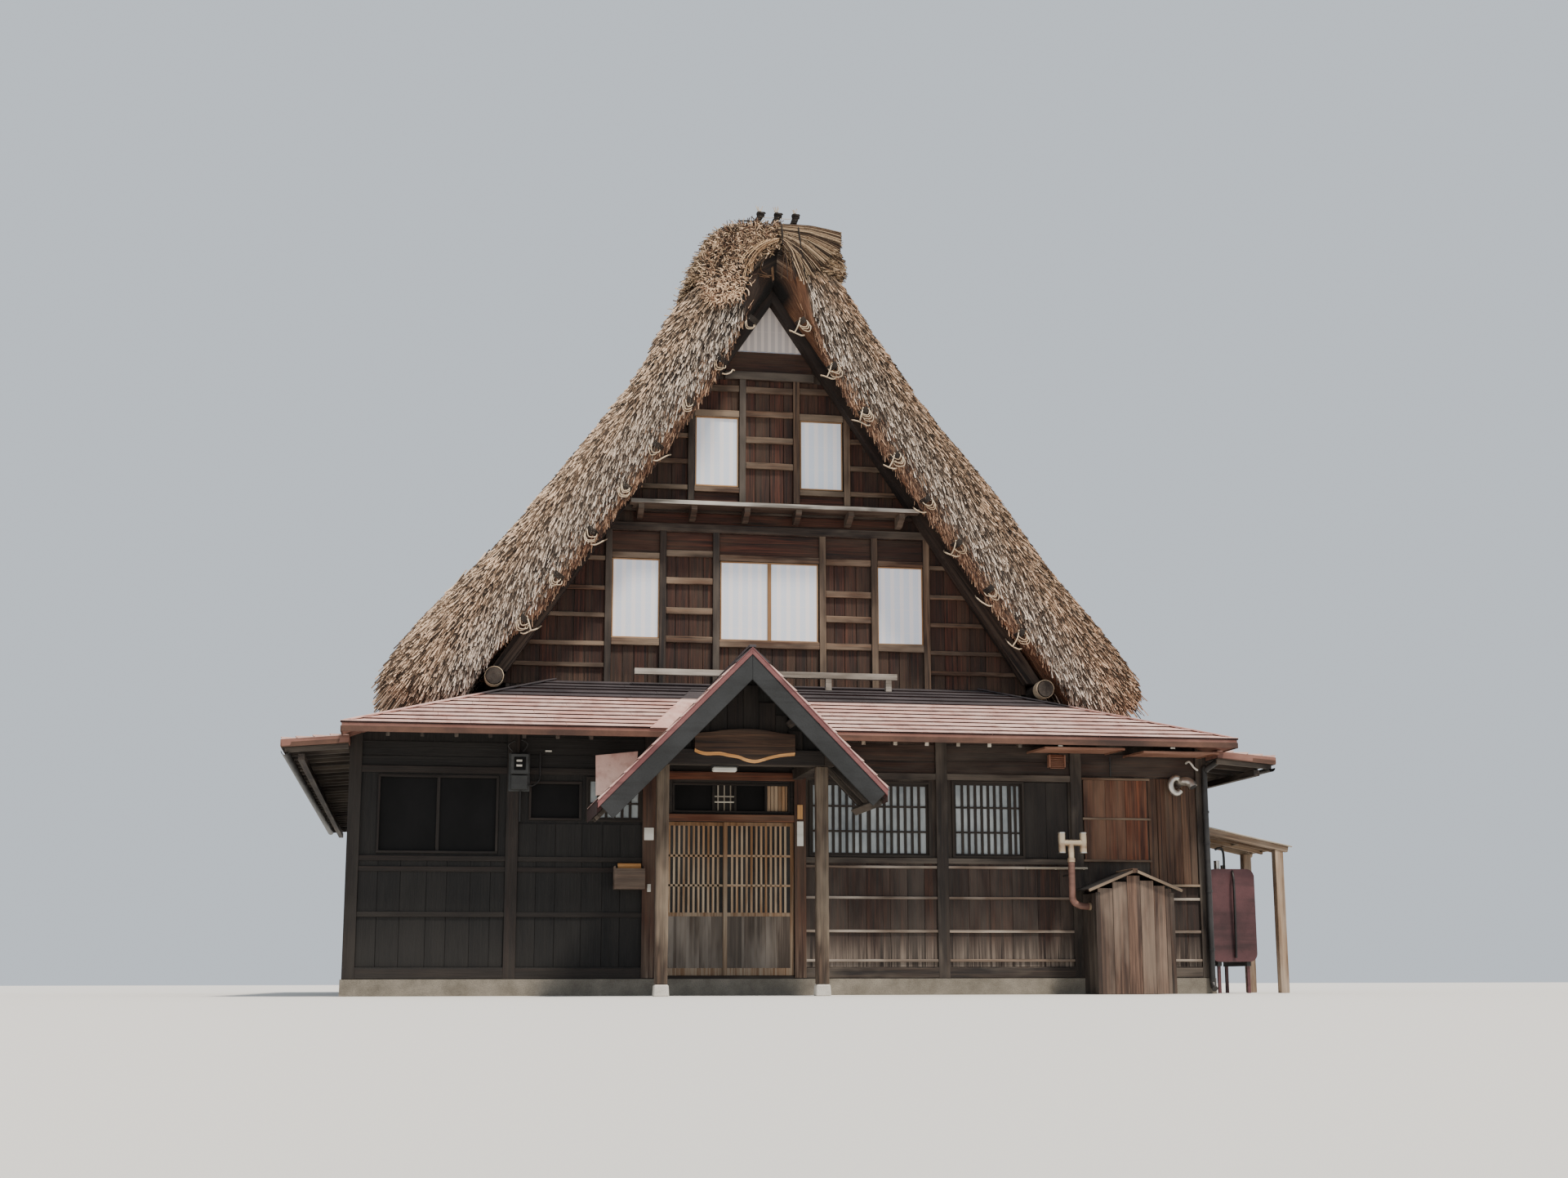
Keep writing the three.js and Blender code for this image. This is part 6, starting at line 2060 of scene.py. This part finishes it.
def meets_pent(z):
    """Where a part of the porch roof at a height z meets the underside of the front eave roof."""
    return min(-0.05, max(-0.91, (z - 3.12) / PENT_PITCH + PENT_EAVE))


for sign, run in PORCH_RUNS.items():
    up = (sign * math.sin(PORCH_ANGLE), 0, math.cos(PORCH_ANGLE))
    for along in np.arange(0.10, run - 0.02, 0.155):
        x, z = porch_point(sign, along, ROOF_DEPTH + 0.009)
        planks.beam((x, EDGE_BACK + 0.01, z), (x, meets_pent(z - 0.11), z), 0.21, 0.010, up)
    for y in np.arange(-2.10, -0.1, 0.30):
        reach = run - 0.05
        if y > -0.92:
            pent_under = 3.11 + PENT_PITCH * (y - PENT_EAVE)
            reach = (PORCH_RIDGE_Z - 0.25 - pent_under) / PORCH_SLOPE
        (xa, za), (xb, zb) = porch_point(sign, 0.06, 0.19), porch_point(sign, reach, 0.19)
        rafters.beam((xa, y, za), (xb, y, zb), 0.045, 0.05, up)
    for along in (0.55, 1.50):
        x, z = porch_point(sign, along, 0.262)
        rafters.beam((x, EDGE_BACK + 0.01, z), (x, meets_pent(z - 0.05), z), 0.09, 0.05, up)
gable.upright(PORCH_X - 0.94, PORCH_X + 0.94, 2.88, 4.0, -1.621, 0.17, 0.012,
              top=lambda x: PORCH_RIDGE_Z - 0.17 - PORCH_SLOPE * abs(x - PORCH_X))
build("porch_soffit", planks, shade_wood, "dark_boards")
build("porch_rafters", rafters, frame_wood, "dark_boards", bevel=0.004)
build("porch_gable_boards", gable, shade_wood, "dark_boards")

# %% Posts with stone shoes, and faces for the beams
POST_Y, POST_TOP, SHOE_TOP = -1.60, 2.6897, 0.13
POSTS_X = (-1.87, 0.04)
posts = Boards(410)
for x in POSTS_X:
    posts.add((x - 0.072, POST_Y - 0.072, SHOE_TOP), (x + 0.072, POST_Y + 0.072, POST_TOP), "z",
              0.3)
build("porch_posts", posts, post_boards, "aged_timber", bevel=0.012, bend=0.012, lengths=24,
      replaces=("porch_post_left", "porch_post_right"))
CORNERS = ((-1, -1), (1, -1), (1, 1), (-1, 1))
SHOE_LEVELS = ((0.0, 0.090), (0.115, 0.083), (SHOE_TOP + 0.002, 0.074))
for number, x in enumerate(POSTS_X, 1):
    shoe = loft("shoe", [[(x + a * half, POST_Y + b * half, z) for a, b in CORNERS]
                         for z, half in SHOE_LEVELS])
    face_out(shoe.data)
    install_loose(f"post_shoe_{number}", shoe, "stone", shoe_stone, bevel=0.008)

faces = Boards(411)
faces.add((-1.873, -1.690, 2.694), (0.063, -1.676, 2.871), "x", 0.2)
build("porch_beam_face", faces, shade_wood, "dark_boards", bevel=0.005)

# %% The name board, bare, with a live lower edge
TOP_EDGE = ((-1.505, 3.052), (-1.33, 3.068), (-1.14, 3.096), (-0.91, 3.110), (-0.68, 3.102),
            (-0.47, 3.068), (-0.30, 3.055))
LOW_EDGE = ((-0.30, 2.806), (-0.44, 2.792), (-0.57, 2.768), (-0.68, 2.735), (-0.78, 2.711),
            (-0.89, 2.728), (-0.98, 2.762), (-1.10, 2.780), (-1.21, 2.800), (-1.36, 2.795),
            (-1.45, 2.812), (-1.505, 2.838))
top_edge, low_edge = smooth_through(TOP_EDGE, 3), smooth_through(LOW_EDGE, 3)
rings = []
for y, lift in ((-1.729, 0.036), (-1.7285, 0.034), (-1.695, 0.0), (-1.692, 0.0)):
    rings.append([(x, y, z) for x, z in top_edge] + [(x, y, z + lift) for x, z in low_edge])
board = loft("name_board_bare", rings)
mesh = board.data
carry(mesh, "grain", [tuple(v.co) for v in mesh.vertices], "FLOAT_VECTOR")
carry(mesh, "tone", [0.15] * len(mesh.vertices))
face_out(mesh)
for polygon in mesh.polygons:
    polygon.material_index = int(polygon.normal.z < -0.25)
install_loose("bare_name_board", board, "name_board_wood", name_wood, live_edge,
              replaces=("name_board",))

# %% The lamp under the beam and the bare plates beside the door
build_boxes("porch_lamp", 420, white_plate, "shoji_paper",
            ("x", -1.27, -1.60, 2.616, -0.98, -1.51, 2.672), bevel=0.014, bend=0)
build_boxes("lamp_holder", 421, gutter_paint, "dark_boards",
            ("x", -1.29, -1.62, 2.672, -0.96, -1.49, 2.686), bend=0)
build_boxes("bare_plates", 422, white_plate, "shoji_paper",
            ("z", -1.910, -0.031, 1.905, -1.790, -0.022, 2.060),
            ("z", -1.865, -0.031, 1.265, -1.820, -0.022, 1.360),
            ("z", 0.035, -0.031, 1.850, 0.117, -0.022, 2.160), bend=0)
build_boxes("wooden_tag", 423, live_edge, "aged_timber",
            ("z", 0.041, -0.031, 2.19, 0.109, -0.022, 2.37), bend=0)

# %% [markdown]
# ## Fixtures
# Pipes are paths with a round section, like the ropes, and use the same tree.

# %% Pipes
def pipes(name, radius, material, slot, *paths, sides=14, smooth=6, replaces=()):
    runs = Ropes(1)
    for path in paths:
        runs.run(path, smooth)
    made = runs.install(name, radius, material, slot, sides)
    for polygon in made.data.polygons:
        polygon.use_smooth = len(polygon.vertices) == 4
    if replaces:
        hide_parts(*replaces)


# %% The flue
FLUE_X, FLUE_Y, FLUE_ENDS, CROSS_Z = 3.55, -0.33, (3.43, 3.714), 1.905


def flue(name, radius, material, *paths, **look):
    """Pipes in the upright plane of the flue, from points (x, z)."""
    pipes(name, radius, material, "flue_steel",
          *[[(x, FLUE_Y, z) for x, z in path] for path in paths], **look)


flue("flue_stack", 0.042, flue_brown,
     [(FLUE_X, 1.68), (FLUE_X, 1.30), (FLUE_X, 1.21), (FLUE_X + 0.03, 1.145),
      (FLUE_X + 0.10, 1.11), (FLUE_X + 0.17, 1.10), (3.80, 1.10)], replaces=("flue_pipe",))
flue("flue_top", 0.039, flue_metal, [(FLUE_X, 1.69), (FLUE_X, CROSS_Z)], smooth=1)
flue("flue_cross", 0.040, flue_metal, [(x, CROSS_Z) for x in FLUE_ENDS], smooth=1)
flue("flue_collars", 0.049, flue_metal,
     [(FLUE_X, 1.66), (FLUE_X, 1.706)], [(3.765, 1.10), (3.789, 1.10)], smooth=1)
flue("flue_ends", 0.045, flue_metal,
     *[[(x, CROSS_Z - 0.13), (x, CROSS_Z + 0.13)] for x in FLUE_ENDS], smooth=1)
flue("flue_rims", 0.048, bright_steel,
     *[[(x, z), (x, z + 0.014)] for x in FLUE_ENDS for z in (CROSS_Z - 0.132, CROSS_Z + 0.118)],
     smooth=1)
pipes("flue_bracket", 0.009, gutter_paint, "flue_steel",
      [(FLUE_X, FLUE_Y, 1.50), (FLUE_X, 0.01, 1.50)], smooth=1)
rail = Boards(500)
rail.add((3.02, -0.062, 1.585), (3.86, -0.036, 1.612), "x", 0.2)
for x in (3.06, 3.44, 3.82):
    rail.add((x - 0.012, -0.036, 1.580), (x + 0.012, 0.004, 1.615), "y", 0.5)
build("wall_rail", rail, pale_wood, "aged_timber", bevel=0.006)

# %% The vent, the hooked pipe, the corner downpipe and the gutters
ring = [(5.10 + 0.075 * math.cos(a), -0.075, 2.685 + 0.100 * math.sin(a))
        for a in np.linspace(math.radians(50), math.radians(318), 14)]
pipes("vent_ring", 0.042, bright_steel, "flue_steel", ring, smooth=2)
pipes("vent_elbow", 0.058, bright_steel, "flue_steel",
      [(5.16, 0.03, 2.72), (5.17, -0.10, 2.735), (5.215, -0.165, 2.735), (5.255, -0.20, 2.705),
       (5.275, -0.225, 2.655)])
pipes("vent_mouth", 0.047, gutter_paint, "flue_steel",
      [(5.272, -0.222, 2.662), (5.277, -0.229, 2.649)], smooth=1)
pipes("hooked_pipe", 0.013, white_plate, "shoji_paper",
      [(5.28, 0.01, 2.99), (5.28, -0.08, 3.00), (5.30, -0.11, 2.98), (5.34, -0.12, 2.92),
       (5.39, -0.12, 2.885)])
pipes("downpipe", 0.040, gutter_paint, "flue_steel",
      [(5.62, -0.30, 3.02), (5.60, -0.22, 2.98), (5.52, -0.085, 2.90), (5.50, -0.06, 2.82),
       (5.50, -0.06, 1.6), (5.50, -0.06, 0.30), (5.50, -0.075, 0.12), (5.50, -0.13, 0.06)])
pipes("downpipe_bands", 0.047, gutter_paint, "flue_steel",
      *[[(5.50, -0.06, z), (5.50, -0.06, z + 0.03)] for z in (0.55, 1.30, 1.93, 2.33)], smooth=1)
pipes("wall_conduit", 0.012, gutter_paint, "flue_steel",
      [(4.22, -0.018, 3.05), (4.22, -0.018, 2.80)], [(-3.46, -0.02, 2.50), (-3.46, -0.02, 2.12)],
      smooth=1)
TROUGH, TROUGH_WALL = 0.052, 0.004
GUTTER_X, GUTTER_Z = 6.302, 2.905
angles = np.linspace(math.pi, 2 * math.pi, 11)
section = [(math.cos(a) * r, math.sin(a) * r)
           for turns, r in ((angles, TROUGH), (angles[::-1], TROUGH - TROUGH_WALL)) for a in turns]
for sign, label in ((-1, "left"), (1, "right")):
    trough = loft("gutter", [
        [(sign * GUTTER_X + x, y, GUTTER_Z + z) for x, z in section]
        for y in (SIDE_ROOF_FRONT + 0.02, DEPTH - SIDE_ROOF_FRONT - 0.02)])
    face_out(trough.data)
    install_loose(f"gutter_{label}", trough, "flue_steel", gutter_paint)

# %% Rain hoods, the louvre and the plate beside the porch
hoods = Boards(510)
for x0, x1, z in ((3.09, 4.15, 3.075), (4.40, 5.42, 3.045)):
    hoods.beam(((x0 + x1) / 2, -0.80, z), ((x0 + x1) / 2, -0.02, z + 0.02), x1 - x0, 0.008)
    hoods.add((x0, -0.806, z - 0.022), (x1, -0.798, z + 0.006), "x")
    for x in (x0, x1):
        hoods.beam((x, -0.80, z - 0.008), (x, -0.02, z + 0.012), 0.006, 0.028)
build("rain_hoods", hoods, hood_paint, "roof_metal", bevel=0.002, bend=0.004, lengths=8)
build_boxes("hood_clips", 511, white_plate, "shoji_paper",
            *[("x", x - 0.03, -0.79, 3.085, x + 0.03, -0.775, 3.105) for x in (3.3, 4.80)],
            bevel=0.002, bend=0)
louvre = Boards(512)
louvre.add((3.37, -0.09, 2.90), (3.385, 0.0, 3.06), "z")
louvre.add((3.575, -0.09, 2.90), (3.59, 0.0, 3.06), "z")
for k in range(7):
    z = 2.907 + 0.023 * k
    louvre.beam((3.385, -0.055, z), (3.575, -0.055, z), 0.075, 0.006, (0, -0.6, 0.8))
build("louvre_box", louvre, hood_paint, "roof_metal", bevel=0.002, bend=0)
plate = Plates()
plate.cut([(-2.545, 2.425), (-2.05, 2.52), (-2.03, 2.985), (-2.555, 2.925)], -0.306, -0.298)
plate.install("porch_side_plate", roof_metal, "roof_metal", 0.002)

# %% The meter and the letter box
build_boxes("meter_box", 520, meter_paint, "flue_steel",
            ("z", -3.59, -0.125, 2.70, -3.365, -0.01, 2.95),
            ("z", -3.58, -0.105, 2.51, -3.375, -0.01, 2.685),
            ("z", -3.61, -0.01, 2.49, -3.345, 0.002, 2.97), bevel=0.014, bend=0)
build_boxes("meter_glass", 521, dim_glass, "window_glass",
            ("z", -3.55, -0.132, 2.745, -3.405, -0.122, 2.91), bevel=0.006, bend=0)
build_boxes("meter_plates", 522, white_plate, "shoji_paper",
            ("x", -3.52, -0.136, 2.79, -3.45, -0.131, 2.815),
            ("x", -3.52, -0.136, 2.85, -3.45, -0.131, 2.875),
            ("x", -3.16, -0.02, 2.99, -3.08, -0.005, 3.01), bevel=0.002, bend=0)
pipes("meter_cables", 0.009, gutter_paint, "flue_steel",
      [(-3.56, -0.05, 2.98), (-3.62, -0.05, 3.06), (-3.54, -0.06, 3.12)],
      [(-3.44, -0.05, 2.98), (-3.38, -0.06, 3.08), (-3.46, -0.06, 3.13)],
      [(-3.40, -0.05, 2.60), (-3.32, -0.045, 2.56), (-3.23, -0.03, 2.64), (-3.22, -0.02, 2.80),
       (-3.22, -0.02, 2.98)], sides=8)
build_boxes("letter_box", 523, shed_wood, "aged_timber",
            ("x", -2.29, -0.20, 1.29, -1.91, -0.186, 1.545),
            ("x", -2.29, -0.186, 1.29, -1.91, -0.02, 1.304),
            ("y", -2.29, -0.186, 1.304, -2.276, -0.02, 1.575),
            ("y", -1.924, -0.186, 1.304, -1.91, -0.02, 1.575),
            ("x", -2.276, -0.03, 1.304, -1.924, -0.018, 1.56),
            ("x", -2.276, -0.186, 1.47, -1.924, -0.03, 1.482))
flap = Boards(524)
flap.beam((-2.245, -0.135, 1.545), (-1.955, -0.135, 1.545), 0.012, 0.13, (0, 0.25, 1))
build("letter_flap", flap, live_edge, "door_wood")

# %% The gas cabinet
CABINET_X, CABINET_Y = (3.79, 4.77), (-0.62, -0.021)
CABINET_EAVES, CABINET_RIDGE, CABINET_REACH = 1.30, 1.565, 0.62
mid = sum(CABINET_X) / 2


def under_cabinet_roof(x):
    share = abs(x - mid) / CABINET_REACH
    return CABINET_RIDGE - 0.045 - share * (CABINET_RIDGE - CABINET_EAVES - 0.01)


doors, box_sides, cover = Boards(530), Boards(531), Boards(532)
doors.upright(CABINET_X[0], CABINET_X[1], 0.002, 1.6, CABINET_Y[0] + 0.018, 0.165, 0.014,
              top=under_cabinet_roof)
for x, face in ((CABINET_X[0], 1), (CABINET_X[1], -1)):
    for k in range(3):
        y = CABINET_Y[0] + 0.02 + k * 0.192
        x0, x1 = sorted((x, x + face * 0.014))
        box_sides.add((x0, y, 0.002), (x1, y + 0.19, 1.262), "z")
    box_sides.add((x - 0.03, CABINET_Y[0] - 0.006, 0.002), (x + 0.03, CABINET_Y[0] + 0.02, 1.265), "z")
for sign in (-1, 1):
    up = (sign * 0.38, 0, 0.925)
    for k in range(2):
        y = -0.66 + k * 0.31
        cover.beam((mid - sign * 0.02, y + 0.155, CABINET_RIDGE - 0.008),
                   (mid + sign * CABINET_REACH, y + 0.155, CABINET_EAVES + 0.003), 0.325, 0.016, up)
build("cabinet_boards", doors, shed_wood, "cabinet_boards", replaces=("gas_cabinet",))
build("cabinet_sides", box_sides, shaded_cabinet_side_wood, "cabinet_boards")
build("cabinet_roof", cover, gutter_paint, "dark_boards", bevel=0.002)
trim = Boards(533)
for sign in (-1, 1):
    trim.beam((mid, -0.664, CABINET_RIDGE - 0.024),
              (mid + sign * CABINET_REACH, -0.664, CABINET_EAVES - 0.014),
              0.014, 0.034, (sign * 0.38, 0, 0.925))
trim.add((mid - 0.035, -0.672, CABINET_RIDGE - 0.055), (mid + 0.035, -0.04, CABINET_RIDGE), "y")
build("cabinet_trim", trim, batten_wood, "aged_timber")

# %% The shelter against the right wall
SHELTER_Y, SHELTER_X = (0.85, 2.15), (5.552, 7.10)
SHELTER_HIGH, SHELTER_LOW = 2.315, 1.993
WAVE, WAVE_HEIGHT, SHEET_THICK = 0.13, 0.014, 0.005


def shelter_top(x):
    share = (x - SHELTER_X[0]) / (SHELTER_X[1] - SHELTER_X[0])
    return SHELTER_HIGH + share * (SHELTER_LOW - SHELTER_HIGH)


ys = np.arange(SHELTER_Y[0], SHELTER_Y[1] + 0.001, WAVE / 8)
rings = []
for x in SHELTER_X:
    base = shelter_top(x) - WAVE_HEIGHT - 0.002
    top = [(x, y, base + WAVE_HEIGHT * math.sin(2 * math.pi * y / WAVE)) for y in ys]
    rings.append(top + [(px, py, pz - SHEET_THICK) for px, py, pz in reversed(top)])
sheet = loft("sheet", rings)
face_out(sheet.data)
install_loose("shelter_sheet", sheet, "roof_metal", shelter_sheet, replaces=("lean_to",))
shelter = Boards(540)
for y, wide, deep in ((0.925, 0.095, 0.08), (1.35, 0.045, 0.06), (1.75, 0.045, 0.06),
                      (2.115, 0.05, 0.08)):
    a, b = (shelter_top(x) - 0.032 - deep / 2 for x in (5.552, 7.05))
    shelter.beam((5.556, y, a), (7.05, y, b), wide, deep)
for x in (5.60, 6.10, 6.60, 7.03):
    z = shelter_top(x) - 0.048
    shelter.beam((x, 0.98, z), (x, 2.14, z), 0.045, 0.035)
for y in (0.95, 2.05):
    shelter.add((6.86, y - 0.06, 0.002), (6.98, y + 0.06, shelter_top(6.92) - 0.10), "z")
build("shelter_frame", shelter, shelter_wood, "aged_timber", bevel=0.006, lengths=12)

# %% The tank's straps and pipes
straps = Boards(550)
for y in (1.30, 1.74):
    for x0, x1, z0, z1 in ((5.957, 5.962, 0.53, 1.56), (6.618, 6.623, 0.53, 1.56),
                           (6.07, 6.51, 1.669, 1.674)):
        straps.add((x0, y - 0.025, z0), (x1, y + 0.025, z1))
for x in (6.08, 6.50):
    straps.add((x - 0.03, 1.10, 0.36), (x + 0.03, 1.94, 0.425), "y")
build("tank_straps", straps, gutter_paint, "tank_paint", bevel=0.002, bend=0)
pipes("tank_pipes", 0.017, gutter_paint, "flue_steel",
      [(6.24, 1.20, 1.65), (6.24, 1.20, 1.88), (6.20, 1.20, 1.96), (6.12, 1.20, 1.94)],
      [(6.30, 1.05, 0.47), (6.30, 1.03, 1.10), (6.30, 1.03, 1.52), (6.31, 1.10, 1.65)],
      [(6.24, 1.90, 0.44), (6.24, 1.90, 0.12), (6.10, 1.86, 0.06), (5.56, 1.80, 0.06)])
pipes("tank_filler", 0.038, bright_steel, "flue_steel",
      [(6.33, 1.45, 1.65), (6.33, 1.45, 1.74)], [(6.15, 1.24, 1.65), (6.15, 1.24, 1.79)], smooth=1)

# %% [markdown]
# ## Finishes for the solids that stay
# The solids that show between the boards keep their shapes and only get finishes.

# %% Which finish each solid gets
SOLID_FINISHES = {
    plinth_stone: "foundation",
    boards_floor: "ground_floor upper_floor attic_floor",
    solid_wood_z: "front_wall_right left_wall right_wall back_wall",
    shaded_left_solid: "front_wall_left front_wall_over_door porch_gable",
    solid_wood_x: "door_lintel door_threshold porch_beams",
    solid_wood_y: "eave_log_left eave_log_right",
    door_solid: "door_left door_right",
    gable_solid: "gable_wall_front gable_wall_back",
    ledge_wood: "gable_ledge_front gable_ledge_back",
    rail_wood: "gable_rail",
    shaded_rake_left: "rafter_front_left rafter_back_left",
    shaded_rake_right: "rafter_front_right rafter_back_right",
    tank_finish: "oil_tank",
}
finish_of = {name: finish for finish, names in SOLID_FINISHES.items() for name in names.split()}
for name in nodes:
    if name.startswith("shoji"):
        finish_of[name] = screen_paper
    elif name.endswith("windows") or "windows_" in name or name == "transom_window":
        finish_of[name] = dim_glass
    elif "pent_roof" in name or "side_roof" in name:
        finish_of[name] = pent_edge
print(len(finish_of), "solids have a finish")

# %% Finish
for name, item in nodes.items():
    finish = finish_of.get(name)
    if finish:
        item.data.materials.clear()
        item.data.materials.append(finish)
